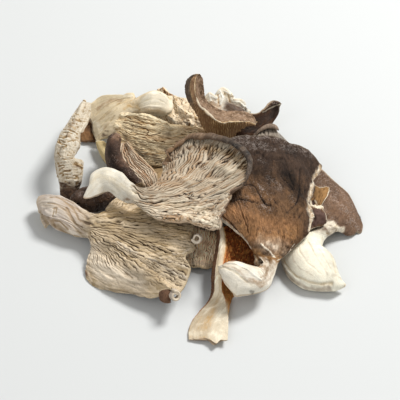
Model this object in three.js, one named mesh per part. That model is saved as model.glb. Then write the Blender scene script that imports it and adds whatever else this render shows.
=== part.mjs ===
// Dried oyster mushroom cluster: a loose heap of dried caps, fans, stems and torn
// pieces that keeps its shape as one bunch.
// Millimetres, +Z up. The origin is on the surface the heap rests on, under the
// middle of its bounding box. +Y points to the back of the heap, -Y to its front.
import * as THREE from 'three';

// ---- driving dimensions (mm) ----
const SCALE = 1;                 // overall size factor
const FLOOR_Z = 0;               // resting surface
const TORN_EDGE_T = 0.9;         // thickness of a cap where its surface ends
const EDGE_BULGE = 0.42;         // how far a thin edge rounds outward, in thicknesses
const CUT_BULGE = 0.1;           // the same for a thick cut end
const ROLL_RADIUS_CENTER = 1.7;  // rolled-in margin of the central cap
const ROLL_RADIUS_SMALL = 1.5;   // rolled-in margin of the small scrap
const ROLL_STEPS = 5;            // rows of faces in a rolled margin

// ---- surface sampling ----
const VIEW_SIDE = new THREE.Vector3(0, -0.682, 0.731); // the side most pieces present

const vec = (p) => new THREE.Vector3(p[0], p[1], p[2]);

// Uniform Catmull-Rom through control points, ends extrapolated.
function crWeights(n, t) {
  const p = t * (n - 1);
  const i = Math.min(Math.max(Math.floor(p), 0), n - 2);
  const w = p - i, w2 = w * w, w3 = w2 * w;
  const c = [-0.5 * w3 + w2 - 0.5 * w, 1.5 * w3 - 2.5 * w2 + 1,
    -1.5 * w3 + 2 * w2 + 0.5 * w, 0.5 * w3 - 0.5 * w2];
  const out = new Array(n).fill(0);
  for (let k = 0; k < 4; k++) {
    const j = i + k - 1;
    if (j < 0) { out[0] += 2 * c[k]; out[1] -= c[k]; }
    else if (j > n - 1) { out[n - 1] += 2 * c[k]; out[n - 2] -= c[k]; }
    else out[j] += c[k];
  }
  return out;
}

function surfacePoint(grid, u, v) {
  const wu = crWeights(grid.length, u), wv = crWeights(grid[0].length, v);
  const p = new THREE.Vector3();
  for (let i = 0; i < wu.length; i++) {
    if (!wu[i]) continue;
    for (let j = 0; j < wv.length; j++) {
      if (!wv[j]) continue;
      const w = wu[i] * wv[j], q = grid[i][j];
      p.x += w * q[0]; p.y += w * q[1]; p.z += w * q[2];
    }
  }
  return p;
}

function frameAt(grid, u, v) {
  const e = 1e-3, cl = (x) => Math.min(Math.max(x, 0), 1);
  const du = surfacePoint(grid, cl(u + e), v).sub(surfacePoint(grid, cl(u - e), v)).normalize();
  const dv = surfacePoint(grid, u, cl(v + e)).sub(surfacePoint(grid, u, cl(v - e))).normalize();
  const n = new THREE.Vector3().crossVectors(du, dv).normalize();
  return { du, dv, n };
}

const lerpList = (list, t) => {
  const p = Math.min(Math.max(t, 0), 1) * (list.length - 1);
  const i = Math.min(Math.floor(p), list.length - 2);
  return list[i] + (list[i + 1] - list[i]) * (p - i);
};

// Full in the middle of a row, thin where the row ends; stems come out round.
function thicknessAt(list, u, v) {
  const full = lerpList(list, u);
  const power = Math.min(Math.max(2.2 + (7 - full), 2.2), 7);
  const s = Math.pow(Math.max(0, 1 - Math.pow(Math.abs(2 * v - 1), power)), 1 / power);
  const edge = Math.min(full, TORN_EDGE_T);
  return edge + (full - edge) * s;
}

function toGeometry(points, faces) {
  const pos = points.map((p) => [p.x, p.y, Math.max(p.z, FLOOR_Z)]);
  let vol = 0;
  for (const [a, b, c] of faces) {
    const A = pos[a], B = pos[b], C = pos[c];
    vol += A[0] * (B[1] * C[2] - B[2] * C[1]) - A[1] * (B[0] * C[2] - B[2] * C[0]) + A[2] * (B[0] * C[1] - B[1] * C[0]);
  }
  const g = new THREE.BufferGeometry();
  g.setAttribute('position', new THREE.Float32BufferAttribute(pos.flat().map((x) => x * SCALE), 3));
  g.setIndex((vol < 0 ? faces.map(([a, b, c]) => [a, c, b]) : faces).flat());
  g.computeVertexNormals();
  return g;
}

// A leaf-like body: a middle surface through the control rows, given thickness,
// closed all round by a rounded edge; the last row may carry a rolled-in margin.
function sheet({ rows, thick, nu, nv, roll }) {
  const us = Array.from({ length: nu }, (_, k) => k / (nu - 1));
  const vs = Array.from({ length: nv }, (_, k) => {
    const t = k / (nv - 1);
    return 0.45 * t + 0.55 * (0.5 - 0.5 * Math.cos(Math.PI * t));
  });
  const mid = frameAt(rows, 0.5, 0.5);
  const sign = mid.n.dot(VIEW_SIDE) > 0 ? 1 : -1;
  const grid = us.map((u) => vs.map((v) => {
    const f = frameAt(rows, u, v);
    return { p: surfacePoint(rows, u, v), du: f.du, dv: f.dv, n: f.n.multiplyScalar(sign), t: thicknessAt(thick, u, v) };
  }));
  if (roll) {
    const last = grid[grid.length - 1];
    for (let k = 1; k <= ROLL_STEPS; k++) {
      grid.push(last.map((c, j) => {
        const a = THREE.MathUtils.degToRad(roll.angle * lerpList(roll.mask, vs[j]) * k / ROLL_STEPS);
        const T = c.du, N = c.n.clone().addScaledVector(T, -c.n.dot(T)).normalize();
        return {
          p: c.p.clone().addScaledVector(T, roll.radius * Math.sin(a)).addScaledVector(N, roll.radius * (1 - Math.cos(a))),
          du: T.clone().multiplyScalar(Math.cos(a)).addScaledVector(N, Math.sin(a)),
          dv: c.dv,
          n: N.clone().multiplyScalar(Math.cos(a)).addScaledVector(T, -Math.sin(a)),
          t: c.t * (1 - 0.25 * k / ROLL_STEPS),
        };
      }));
    }
  }
  const U = grid.length, V = nv, nt = U * V, pts = [], faces = [];
  const id = (i, j) => i * V + j;
  const quad = (a, b, c, d) => faces.push([a, b, c], [a, c, d]);
  for (const r of grid) for (const c of r) pts.push(c.p.clone().addScaledVector(c.n, c.t / 2));
  for (const r of grid) for (const c of r) pts.push(c.p.clone().addScaledVector(c.n, -c.t / 2));
  const loop = [];
  for (let i = 0; i < U - 1; i++) loop.push([i, 0]);
  for (let j = 0; j < V - 1; j++) loop.push([U - 1, j]);
  for (let i = U - 1; i > 0; i--) loop.push([i, V - 1]);
  for (let j = V - 1; j > 0; j--) loop.push([0, j]);
  for (const [i, j] of loop) {
    const c = grid[i][j], o = new THREE.Vector3();
    if (i === 0) o.sub(c.du);
    if (i === U - 1) o.add(c.du);
    if (j === 0) o.sub(c.dv);
    if (j === V - 1) o.add(c.dv);
    o.normalize();
    pts.push(c.p.clone().addScaledVector(o, c.t * (c.t < 2.5 ? EDGE_BULGE : CUT_BULGE)));
  }
  for (let i = 0; i < U - 1; i++) for (let j = 0; j < V - 1; j++) {
    const a = id(i, j), b = id(i + 1, j), c = id(i + 1, j + 1), d = id(i, j + 1);
    quad(a, b, c, d);
    quad(nt + a, nt + d, nt + c, nt + b);
  }
  loop.forEach(([i, j], k) => {
    const k2 = (k + 1) % loop.length;
    const a = id(i, j), b = id(...loop[k2]), m = 2 * nt + k, m2 = 2 * nt + k2;
    quad(b, a, m, m2);
    quad(m2, m, nt + a, nt + b);
  });
  return toGeometry(pts, faces);
}

// A body between a front and a back surface that share their two side edges.
function loft({ front, back, nu, nv }) {
  const nk = Math.max(4, nv - 1), rings = [];
  for (let i = 0; i < nu; i++) {
    const u = i / (nu - 1), ring = [];
    for (let j = 0; j < nv; j++) ring.push(surfacePoint(front, u, j / (nv - 1)));
    for (let j = nk - 2; j > 0; j--) ring.push(surfacePoint(back, u, j / (nk - 1)));
    rings.push(ring);
  }
  const pts = rings.flat(), faces = [], R = rings[0].length;
  for (let i = 0; i < nu - 1; i++) for (let k = 0; k < R; k++) {
    const a = i * R + k, b = (i + 1) * R + k, c = (i + 1) * R + (k + 1) % R, d = i * R + (k + 1) % R;
    faces.push([a, b, c], [a, c, d]);
  }
  for (const [i, flip] of [[0, false], [nu - 1, true]]) {
    const c = pts.length;
    pts.push(rings[i].reduce((s, p) => s.add(p), new THREE.Vector3()).multiplyScalar(1 / R));
    for (let k = 0; k < R; k++) {
      const a = i * R + k, b = i * R + (k + 1) % R;
      faces.push(flip ? [c, b, a] : [c, a, b]);
    }
  }
  return toGeometry(pts, faces);
}

// ---- the pieces, from the back of the heap to its front ----
// rows run from the stem (or the lowest end) out to the cap margin; each row
// crosses the piece from side to side; thick is the thickness row by row.
const PIECES = {
  // small scrap of cap under the back of the heap
  under_scrap_back: {
    color: '#6b5644', roughness: 0.88, nu: 11, nv: 8,
    thick: [2.2, 3, 2.8, 1.8],
    rows: [[[1.5, 85.7, 3.6], [2.3, 79.4, 4.8], [3.1, 74.4, 4.7], [3.8, 71.2, 3], [4.6, 69.2, -0.1]],
    [[8.3, 87.5, 4.4], [9.8, 79.7, 6.1], [10.7, 73.5, 6.3], [10.9, 69.5, 4.1], [10.7, 67.2, 0.2]],
    [[16.4, 88.4, 4.4], [17.6, 80.2, 6.2], [18.3, 73.8, 6.4], [18.4, 69.6, 4.2], [18, 67.1, 0.3]],
    [[23.8, 87.3, 3.7], [25, 81.4, 4.9], [25.7, 76.7, 4.8], [25.8, 73.7, 3], [25.5, 71.8, -0.1]]],
  },
  // torn pale scrap of a cap with a frilled edge, at the back of the heap
  pale_frilly_fragment: {
    color: '#cdbfa6', roughness: 0.9, nu: 10, nv: 8,
    thick: [1.8, 2.2, 2.6, 2.8, 2.6, 2.4, 2, 1.6],
    rows: [[[4, 83.2, 20.4], [4, 82.6, 17.6], [4, 80.1, 14.9], [4.3, 76.6, 12.4], [4.6, 73.1, 9.8]],
    [[7.6, 83.5, 21], [7.6, 81.5, 17.8], [7.6, 78.4, 14.8], [7.9, 74.5, 11.9], [8.2, 70.5, 8.9]],
    [[11.9, 85.8, 21.3], [12.5, 83.1, 18], [12.5, 79.3, 14.8], [12.8, 74.7, 11.7], [13.1, 69, 8.7]],
    [[15, 88.4, 21.7], [15.6, 84.5, 18.3], [16.2, 80.1, 14.9], [16.5, 74.7, 11.6], [17.3, 68.4, 8.5]],
    [[18.6, 85.4, 20.8], [19.2, 82.7, 17.5], [19.8, 79, 14.3], [20.4, 74.4, 11.2], [21, 68.7, 8.1]],
    [[22.3, 82.4, 18.2], [22.9, 81.4, 15.4], [23.5, 78.9, 12.7], [24.1, 75.4, 10.1], [24.7, 71, 7.6]],
    [[26, 83.9, 15.1], [26.6, 82.1, 13], [27.2, 80.3, 10.9], [27.9, 78, 8.9], [28.5, 75.2, 6.9]],
    [[29.7, 81, 11.5], [30, 79.6, 10.8], [30.2, 78.1, 10], [30.3, 76.7, 9.3], [30.9, 75.4, 8.5]]],
  },
  // small dark cap, skin side up, at the back right
  dark_cap_back_right: {
    color: '#4f3d32', roughness: 0.85, nu: 11, nv: 8,
    thick: [2, 2.6, 2.8, 2.6, 2.2, 1.6],
    rows: [[[24.6, 71, 12.7], [23.4, 69, 10.4], [21.6, 64.9, 8.5], [19.7, 60.9, 5.6]],
    [[30.7, 72.4, 15.2], [29.5, 69.9, 12.1], [27.7, 65.9, 8.3], [26.4, 60.1, 4.7]],
    [[36.2, 74.2, 16], [35, 71.3, 12.9], [33.8, 67.4, 8.6], [33.1, 61.2, 4.4]],
    [[41, 76.8, 17.7], [40.5, 74.5, 13.5], [39.6, 70.7, 9.6], [39.3, 66.1, 4.8]],
    [[45.3, 78.9, 18.6], [45.1, 77.6, 14.8], [44.3, 75.3, 10.2], [43.1, 71.5, 5.4]],
    [[49, 78.6, 18.1], [48.7, 77.6, 16.4], [47.9, 76.7, 13.1], [46.5, 75.7, 8.9]]],
  },
  // small scrap of cap whose margin rolls back on itself
  rolled_rim_fragment: {
    color: '#7f6c5c', roughness: 0.85, nu: 11, nv: 8,
    thick: [3, 2.4, 1.8],
    rows: [[[27.5, 47.8, 1.6], [31.6, 45.3, 2.5], [36.4, 45.2, 2.2], [41.9, 46, 1.8], [46.9, 51.1, 0]],
    [[28.2, 55.3, 4.4], [32.9, 53.7, 6], [38.3, 53.1, 6.6], [43.8, 54.5, 5.2], [49.4, 55.9, 2.9]],
    [[30.6, 59.6, 7.3], [34.2, 61.7, 8.7], [38.5, 63.9, 10], [43.4, 65.6, 9.9], [47.7, 65.5, 8.3]]],
    roll: { radius: ROLL_RADIUS_SMALL, angle: 210, mask: [0.8, 1, 1, 1, 1] },
  },
  // piece of cap lying gills up at the back
  gilled_piece_back: {
    color: '#cbb89a', roughness: 0.92, nu: 11, nv: 8,
    thick: [3.2, 3, 2.8, 2.5, 1.8],
    rows: [[[-24.2, 70, 0], [-18, 67.2, 1.1], [-11.3, 65.1, 2.3], [-4.6, 63.9, 3.5], [2.1, 64.6, 4.5]],
    [[-27.9, 75.7, 4.7], [-20.5, 71.6, 7], [-12.5, 68.4, 8.5], [-4.6, 66.1, 9.9], [3.3, 67.6, 10.1]],
    [[-30.4, 82.2, 8.6], [-22.3, 77.9, 12], [-13.7, 73.6, 13.6], [-4.6, 71.2, 14.3], [3.9, 72.7, 13.7]],
    [[-30.4, 88.4, 12], [-23, 85.1, 15.2], [-14.3, 79.8, 16.9], [-5.8, 76.7, 16.5], [2.1, 78.4, 14.9]],
    [[-29.3, 92.7, 13.8], [-22.4, 92.8, 16.8], [-15.6, 85.4, 18.2], [-8.2, 82, 17.7], [-1.5, 80.7, 16]]],
  },
  // small brown cap low on the left, between the strip and the pale flap
  shaded_cap_left: {
    color: '#5d4b3c', roughness: 0.88, nu: 11, nv: 8,
    thick: [1.8, 2.6, 2.6, 1.6],
    rows: [[[-69.7, 79.8, 4.5], [-68.8, 79.3, 5.5], [-67.9, 79.3, 5.5], [-67, 79.3, 4.6]],
    [[-71.4, 74.5, 3.3], [-69.1, 72, 6.2], [-66.6, 71.5, 6.3], [-65, 73.6, 3.4]],
    [[-73.7, 68.8, 2.1], [-70.4, 66.2, 5], [-66.7, 65.8, 5.1], [-63.6, 67.8, 2.2]],
    [[-73.8, 63.1, 0], [-70, 61.3, 2], [-65.7, 61.3, 2], [-61.9, 62.8, 0]]],
  },
  // pale stem lobe that widens into a thin flap
  pale_stem_flap: {
    color: '#c4b48d', roughness: 0.9, nu: 11, nv: 8,
    thick: [4, 11, 12, 9, 6, 4, 3, 2.5, 1.8],
    rows: [[[-17.3, 77.9, 22.1], [-16.4, 76.2, 21.6], [-16.1, 74.6, 21.1], [-16.2, 72.5, 20.6], [-16.9, 70.5, 20], [-18.4, 68.9, 19.4]],
    [[-22.2, 81.5, 23.3], [-21.3, 79.5, 22.3], [-20.9, 76.5, 21.3], [-21.2, 73.6, 20.4], [-21.8, 70.7, 19.4], [-23.3, 68.3, 18.3]],
    [[-28.9, 82.3, 23.7], [-28.5, 79.9, 22.7], [-28.5, 76.9, 21.8], [-28.8, 74, 20.8], [-29.4, 71.6, 19.8], [-30, 69.6, 18.7]],
    [[-34.9, 80.3, 22.7], [-34.9, 78.6, 21.8], [-35.2, 76.9, 20.9], [-35.5, 75.3, 20], [-35.8, 73.6, 19.1], [-36.1, 71.9, 18.2]],
    [[-40.4, 79.7, 21.6], [-41, 78.3, 20.5], [-41.6, 76.3, 19.4], [-42.2, 74.4, 18.3], [-42.8, 72.5, 17.2], [-43.3, 70.1, 16.2]],
    [[-47.2, 81.1, 21.1], [-47.7, 78.5, 19.4], [-48.3, 75.5, 17.7], [-48.9, 71.9, 16.1], [-49.1, 68.4, 14.5], [-48.7, 63.8, 13]],
    [[-54.6, 83.6, 19.6], [-55.2, 79.7, 17.5], [-55.4, 75.2, 15.4], [-55.3, 70.3, 13.4], [-54.3, 65.3, 11.5], [-52.4, 60.3, 9.6]],
    [[-61.1, 83.6, 17.5], [-61.4, 79.8, 15.2], [-61.3, 75.1, 13], [-60.5, 69.9, 10.9], [-58.6, 64.1, 8.9], [-56.1, 59.7, 6.8]],
    [[-65.6, 80, 15.8], [-66.2, 77.5, 13.2], [-65.9, 73.4, 10.8], [-64.9, 68.9, 8.4], [-62.9, 63.8, 6.2], [-61.3, 59.2, 3.9]]],
  },
  // narrow strip of stem low in the heap
  pale_stem_strip: {
    color: '#d2c3a0', roughness: 0.9, nu: 7, nv: 5,
    thick: [2, 3, 3.4, 3.4, 3, 2],
    rows: [[[-62.4, 58.3, 5.3], [-61, 56.8, 6.5], [-59.6, 56.9, 6.3], [-58.2, 57.6, 5.5]],
    [[-61.1, 54.3, 4.5], [-59.5, 52.7, 6.3], [-58, 53.2, 6.1], [-56.4, 54.9, 4.8]],
    [[-59.3, 50.1, 3.7], [-57.5, 48.3, 5.9], [-55.7, 49, 5.7], [-54.1, 51.5, 3.9]],
    [[-56.9, 45.2, 2.6], [-55, 43.5, 4.8], [-53.5, 44.5, 4.7], [-52.1, 46.9, 3]],
    [[-53.8, 39.8, 1.3], [-52.2, 38.5, 3.1], [-50.7, 39.5, 2.9], [-49.3, 41.5, 1.7]],
    [[-50.6, 34.4, -0.1], [-49.4, 34, 0.8], [-48.5, 34.6, 0.7], [-47.7, 35.9, 0.1]]],
  },
  // gilled cap in the lower layer, left of the middle
  under_cap_left: {
    color: '#a08c66', roughness: 0.92, nu: 11, nv: 8,
    thick: [4, 5, 3.4, 2.6, 1.8],
    rows: [[[-42.5, 23.5, 1], [-41.8, 19.3, 2], [-40.5, 16, 2], [-38.7, 14.6, 1]],
    [[-38, 34.4, 0.8], [-36, 25.8, 3.8], [-33.5, 20.1, 3.8], [-31.1, 17.2, 0.8]],
    [[-32.2, 42.1, 1.5], [-28.9, 31.7, 4.5], [-25.8, 24.3, 4.5], [-23.5, 20.7, 0.5]],
    [[-25.1, 48.2, 1.3], [-21.3, 37.7, 4.3], [-18.2, 29.5, 4.3], [-16.4, 24.2, 0.3]],
    [[-17.9, 51.1, 0.1], [-13.5, 42.4, 2], [-11.1, 34.9, 2], [-9.8, 28.5, 0.1]]],
  },
  // broad cap lying on its side, gills outward, behind the centre
  gilled_cap_rear: {
    color: '#99826a', roughness: 0.92, nu: 11, nv: 8,
    thick: [7, 7, 5, 3.6, 3.1, 2.9, 2.6, 2.3, 1.8],
    rows: [[[7.6, 61.7, 11.7], [7.6, 60.4, 11.3], [7.6, 59.3, 10.6], [7.6, 58.6, 9.6], [7.6, 58.3, 8.3], [7, 58.1, 6.8]],
    [[2.1, 60.6, 14.1], [2.1, 59.1, 13.4], [2.1, 58, 12.4], [2.1, 57.4, 10.8], [2.1, 56.9, 8.8], [2.1, 56.7, 6.4]],
    [[-5.7, 58.7, 17.6], [-5.4, 55.9, 16.6], [-5.1, 53, 15.2], [-5.1, 50.9, 13.1], [-5.1, 49, 10.4], [-5.1, 47.5, 7.1]],
    [[-14.1, 58.2, 20.2], [-13.8, 54.5, 18.8], [-13.5, 50.4, 17], [-12.9, 46.3, 14.4], [-12.3, 43, 10.8], [-11.7, 40.4, 6.7]],
    [[-22.5, 58.8, 21.7], [-22.1, 54.2, 20.4], [-21.8, 49.8, 18.4], [-21.2, 45.2, 15.5], [-20, 40.7, 11.5], [-18.8, 36.9, 6.8]],
    [[-30.9, 60.8, 23.1], [-30.8, 55.9, 21.7], [-30.8, 51.2, 19.6], [-30.1, 46.3, 16.5], [-28.6, 41.1, 12.4], [-26.5, 35.2, 7.7]],
    [[-39.4, 63.8, 23.5], [-39.3, 59.5, 21.9], [-39.2, 54.8, 19.8], [-38.6, 50.1, 16.9], [-36.7, 44.1, 13.2], [-33.7, 36.4, 9.1]],
    [[-47.2, 63.7, 22.4], [-47.5, 61.8, 20.8], [-47.1, 57.7, 19.1], [-46.2, 53.4, 16.6], [-44, 48, 13.5], [-40.9, 40.3, 10.2]],
    [[-50.8, 61.6, 20.3], [-51.1, 59.5, 18.9], [-50.7, 56.4, 17.4], [-49.5, 52.7, 15.6], [-47.6, 48.5, 13.4], [-45.2, 43.6, 11.1]]],
  },
  // upright cupped cap with one tall ear, at the top
  cupped_cap_top: {
    color: '#8a7053', roughness: 0.9, nu: 14, nv: 7,
    front: [[[34.6, 63.3, 16.9], [34.2, 62.9, 16.2], [33.7, 60.8, 17.3], [33.6, 60.1, 17.3], [33.5, 60.8, 16]],
    [[32, 67.6, 18.6], [30.7, 63.9, 19.3], [29.4, 58.5, 21.7], [29.2, 57.6, 20.7], [29.1, 58.1, 18.3]],
    [[27.5, 69.1, 20.1], [25.9, 62.7, 22], [24.2, 54.6, 25.6], [23.9, 54.5, 21.4], [23.7, 55.9, 15.7]],
    [[22, 67.8, 21.9], [20.1, 60.4, 24.4], [18.1, 51.3, 28.7], [18.8, 51.9, 20.7], [19.6, 54, 11.2]],
    [[15.9, 65, 24.9], [14.3, 57.1, 27.4], [12.7, 47.6, 31.7], [13, 48.9, 21], [13.2, 51.7, 8.9]],
    [[10.5, 62.3, 29.6], [8.8, 56.5, 31.5], [7.1, 49, 35.1], [7.3, 49.6, 23.6], [7.5, 51.6, 10.7]],
    [[6.3, 62.2, 33.8], [4.5, 57.1, 35.7], [2.7, 50.3, 39.2], [2.8, 51.5, 29], [3, 54.3, 17.3]],
    [[3.9, 61.5, 37.8], [1.8, 56.8, 39.7], [-0.3, 50.3, 43.2], [-1.3, 53.4, 37], [-2.4, 57.8, 29.4]],
    [[3.1, 59.5, 42.6], [0.5, 57.3, 44], [-2, 53.4, 47.1], [-4.3, 55.7, 42.5], [-6.5, 59.4, 36.5]],
    [[2.7, 61.3, 47.4], [-0.1, 59.6, 48.4], [-2.9, 56.2, 51], [-5.8, 59, 47.8], [-8.8, 63.2, 43.2]],
    [[1.9, 63.5, 51.7], [-0.4, 62.2, 52.4], [-2.7, 59.1, 54.7], [-5.4, 61.9, 52.1], [-8, 66.1, 48.1]],
    [[0.9, 64.2, 54.5], [-0.4, 63.5, 54.7], [-1.8, 61.1, 56.5], [-3.5, 62.4, 55.5], [-5.3, 65.1, 53.1]],
    [[0, 63.7, 56], [-0.4, 63.6, 56], [-0.9, 61.7, 57.7], [-1.6, 62, 57.5], [-2.3, 63.8, 55.9]]],
    back: [[[34.6, 63.3, 16.9], [34.3, 64.6, 14.5], [33.9, 63.8, 14.2], [33.5, 60.8, 16]],
    [[32, 67.6, 18.6], [31.2, 66.6, 16.4], [30.2, 63.3, 16.3], [29.1, 58.1, 18.3]],
    [[27.5, 69.1, 20.1], [26.3, 66.9, 16.5], [25, 62.4, 15.1], [23.7, 55.9, 15.7]],
    [[22, 67.8, 21.9], [21.3, 65.4, 16.3], [20.4, 60.7, 12.7], [19.6, 54, 11.2]],
    [[15.9, 65, 24.9], [15.1, 62.7, 17.5], [14.2, 58.2, 12.1], [13.2, 51.7, 8.9]],
    [[10.5, 62.3, 29.6], [9.5, 60.9, 21.3], [8.5, 57.2, 14.8], [7.5, 51.6, 10.7]],
    [[6.3, 62.2, 33.8], [5.2, 61.7, 26.3], [4.1, 59, 20.7], [3, 54.3, 17.3]],
    [[3.9, 61.5, 37.8], [1.8, 62.4, 32.9], [-0.3, 61.2, 30.1], [-2.4, 57.8, 29.4]],
    [[3.1, 59.5, 42.6], [-0.1, 61.6, 38.5], [-3.4, 61.6, 36.5], [-6.5, 59.4, 36.5]],
    [[2.7, 61.3, 47.4], [-1.1, 64.1, 43.9], [-5.1, 64.7, 42.5], [-8.8, 63.2, 43.2]],
    [[1.9, 63.5, 51.7], [-1.3, 66.6, 48.5], [-4.7, 67.5, 47.2], [-8, 66.1, 48.1]],
    [[0.9, 64.2, 54.5], [-1.2, 66.7, 52], [-3.3, 67, 51.5], [-5.3, 65.1, 53.1]],
    [[0, 63.7, 56], [-0.8, 65.9, 53.9], [-1.6, 65.9, 53.9], [-2.3, 63.8, 55.9]]],
  },
  // long curled strip standing at the far left
  curled_strip_left: {
    color: '#c0b199', roughness: 0.92, nu: 14, nv: 7,
    thick: [2, 3, 3.4, 3.4, 3.4, 3.4, 3.4, 3.4, 3, 2.4, 2.2, 1.8],
    rows: [[[-71.4, 79.8, 15.6], [-69.8, 78.1, 17.8], [-68.4, 77.5, 18.7], [-66.9, 77.5, 18.3], [-65.5, 78, 16.6]],
    [[-73.9, 71.7, 18.8], [-71.9, 69, 21], [-69.6, 67.6, 21.9], [-67.5, 67.5, 21.7], [-65.5, 68.6, 20.1]],
    [[-77.1, 60.2, 21.6], [-74.5, 57.5, 23.9], [-71.7, 56, 24.9], [-69, 55.7, 24.7], [-66.4, 56.8, 23.3]],
    [[-80.5, 51.3, 22.9], [-77.5, 48.1, 25.2], [-74.4, 46.2, 26.2], [-71.4, 45.5, 26.1], [-69.2, 47.7, 24.7]],
    [[-83.3, 43, 22.7], [-80.1, 39.4, 25], [-76.7, 37.5, 26.2], [-73.4, 37.1, 26.1], [-70.9, 39.3, 24.7]],
    [[-85.1, 35.8, 20.7], [-81.6, 32.2, 23.1], [-78.2, 30.3, 24.2], [-74.9, 30, 24.1], [-72.7, 31.8, 22.7]],
    [[-85.2, 29.9, 17.5], [-81.4, 26.7, 19.9], [-77.8, 24.7, 21.1], [-74.2, 25.1, 21.2], [-70.9, 27.4, 20]],
    [[-84.4, 25, 14], [-80.5, 21.8, 16.5], [-76.5, 20.2, 17.7], [-72.4, 20.5, 17.9], [-68.8, 22.8, 16.8]],
    [[-82.9, 21.2, 10.7], [-79.3, 18.1, 13.2], [-76, 16.6, 14.3], [-72.4, 16.5, 14.4], [-69.4, 19.3, 13.2]],
    [[-81.8, 19.4, 7], [-78.6, 16.4, 9.4], [-75.5, 14.9, 10.5], [-72.9, 15.4, 10.4], [-70.7, 17.9, 9.1]],
    [[-81.6, 17.4, 3.2], [-78.6, 13.7, 5.4], [-75.8, 11.5, 6.4], [-73.5, 12.4, 6.3], [-71.7, 16.9, 5]],
    [[-80.8, 16.3, 0], [-78.1, 11.9, 2.1], [-76.3, 10.7, 3], [-74.6, 12.4, 2.9], [-73.7, 16.6, 1.4]]],
  },
  // small dark twisted cap
  twisted_dark_cap: {
    color: '#3d2e26', roughness: 0.8, nu: 11, nv: 9,
    thick: [2, 2.6, 2.8, 2.8, 2.6, 2.4, 1.8],
    rows: [[[-76.3, 5.4, 7.4], [-75.6, 5, 9.5], [-74.9, 4.6, 11.6], [-74.5, 6.7, 10.7], [-74.2, 9.8, 8.7]],
    [[-72.8, 4.2, 6.5], [-72.3, 3.7, 10.9], [-71.6, 4.5, 14.4], [-70.3, 8.5, 13.5], [-69, 14.3, 9.5]],
    [[-68.1, 2.6, 5.3], [-67.3, 2.7, 10.3], [-66.6, 3.7, 14.3], [-65.7, 8.7, 13.7], [-64.5, 16.2, 8.8]],
    [[-62.3, 1.8, 3.9], [-61.5, 2.3, 9], [-61.1, 3.6, 13.2], [-60.4, 8.2, 12.5], [-59.8, 15.6, 7.7]],
    [[-56, 5, 3.1], [-55.5, 4.8, 8.1], [-55.1, 6.1, 12.2], [-54.7, 10.6, 11.7], [-54.6, 17.9, 6.9]],
    [[-50.9, 9.6, 3.8], [-50.4, 8.9, 7.1], [-50.1, 9.4, 9.9], [-49.6, 12.5, 9.7], [-49.3, 18.1, 5.9]],
    [[-47.4, 12.8, 4.7], [-47.1, 12.8, 6.3], [-46.7, 12.9, 8], [-46.5, 14.8, 7.7], [-46.3, 17.3, 6.3]]],
  },
  // small dark cap folded over into a trough
  folded_dark_cap: {
    color: '#5b4535', roughness: 0.82, nu: 9, nv: 14,
    thick: [3, 2.8, 2.6, 2.4, 2.2, 1.8],
    rows: [[[-33.1, 13.9, 12.9], [-34.7, 12.1, 16.4], [-37.1, 12.7, 15.9], [-38.4, 13.4, 11.7], [-36.2, 14, 6.8], [-31.5, 13.3, 5.8], [-27.9, 13.5, 7.3], [-24.3, 13.9, 11.1]],
    [[-39, 18.4, 15.8], [-40.6, 17.9, 20.6], [-44.1, 16.8, 20.1], [-46.2, 20.2, 13], [-42.9, 21.3, 6.8], [-35.6, 18.5, 10.6], [-30.3, 18.4, 12.4], [-25, 20.1, 14.9]],
    [[-43.8, 24.1, 17.5], [-45.1, 23.4, 23.3], [-49.8, 23.8, 22.1], [-52.9, 28.1, 14.2], [-49, 29.5, 6.8], [-40.4, 24.2, 12.3], [-33.9, 24.4, 13.8], [-28.6, 26.1, 16.3]],
    [[-47.2, 30.9, 19], [-48.1, 30, 25.8], [-52.6, 30.8, 24.6], [-55, 36.7, 15.6], [-52.3, 38.8, 7.4], [-44.7, 30.8, 14], [-38.7, 30.9, 15.6], [-34, 31.7, 18.1]],
    [[-47.6, 36.9, 20.9], [-48.9, 36.9, 26.7], [-52.4, 36.9, 26.3], [-54.2, 42.4, 18.3], [-52.4, 45.1, 10.4], [-46.7, 37.9, 15.2], [-41.8, 37.4, 17], [-38.5, 36.5, 19.6]],
    [[-46.6, 43.2, 22.5], [-48.5, 43.5, 26.3], [-51.2, 43.8, 25.7], [-52.9, 45.6, 21.8], [-51.7, 47.9, 16.2], [-48.1, 46.2, 15.3], [-44.4, 45.6, 16.7], [-42.5, 43.6, 20]]],
  },
  // cap in the lower layer, under the middle
  under_cap_center: {
    color: '#70563f', roughness: 0.85, nu: 11, nv: 8,
    thick: [4, 7, 6, 4, 3, 1.8],
    rows: [[[-13.9, 19.3, 1.2], [-13.4, 16.8, 2.1], [-12.9, 14.7, 2.6], [-12.4, 13.3, 2.4], [-12, 12.6, 1.4], [-11.5, 12.3, 0]],
    [[-7.4, 25.1, 2.8], [-6.7, 20.3, 4.6], [-6, 16.3, 5.6], [-5.2, 13.7, 5.1], [-4.5, 12.4, 3.1], [-3.8, 12, 0.3]],
    [[0.3, 34.4, 3.5], [2, 26.3, 6.5], [3.4, 19.5, 8.1], [4.1, 14.7, 7.5], [4.1, 11.9, 4.7], [3.8, 10.2, 0.5]],
    [[8.7, 42.1, 4.1], [11.5, 31.1, 8.3], [13.7, 21.8, 10.6], [14.8, 15.1, 9.9], [14.9, 10.9, 6.3], [14.4, 8.3, 0.9]],
    [[18.4, 46.6, 4.7], [22.1, 35.4, 8.7], [24.9, 25.8, 10.8], [26.4, 18.6, 9.9], [26.4, 13.7, 6.1], [25.7, 10.3, 0.4]],
    [[26.2, 49.7, 4.1], [30.3, 40.6, 6.9], [33.3, 32.6, 8.4], [34.7, 26.1, 7.6], [34.6, 21.2, 4.5], [33.5, 17.2, 0]]],
  },
  // cap in the lower layer, under the large brown cap
  under_cap_right: {
    color: '#665041', roughness: 0.85, nu: 11, nv: 8,
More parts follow.
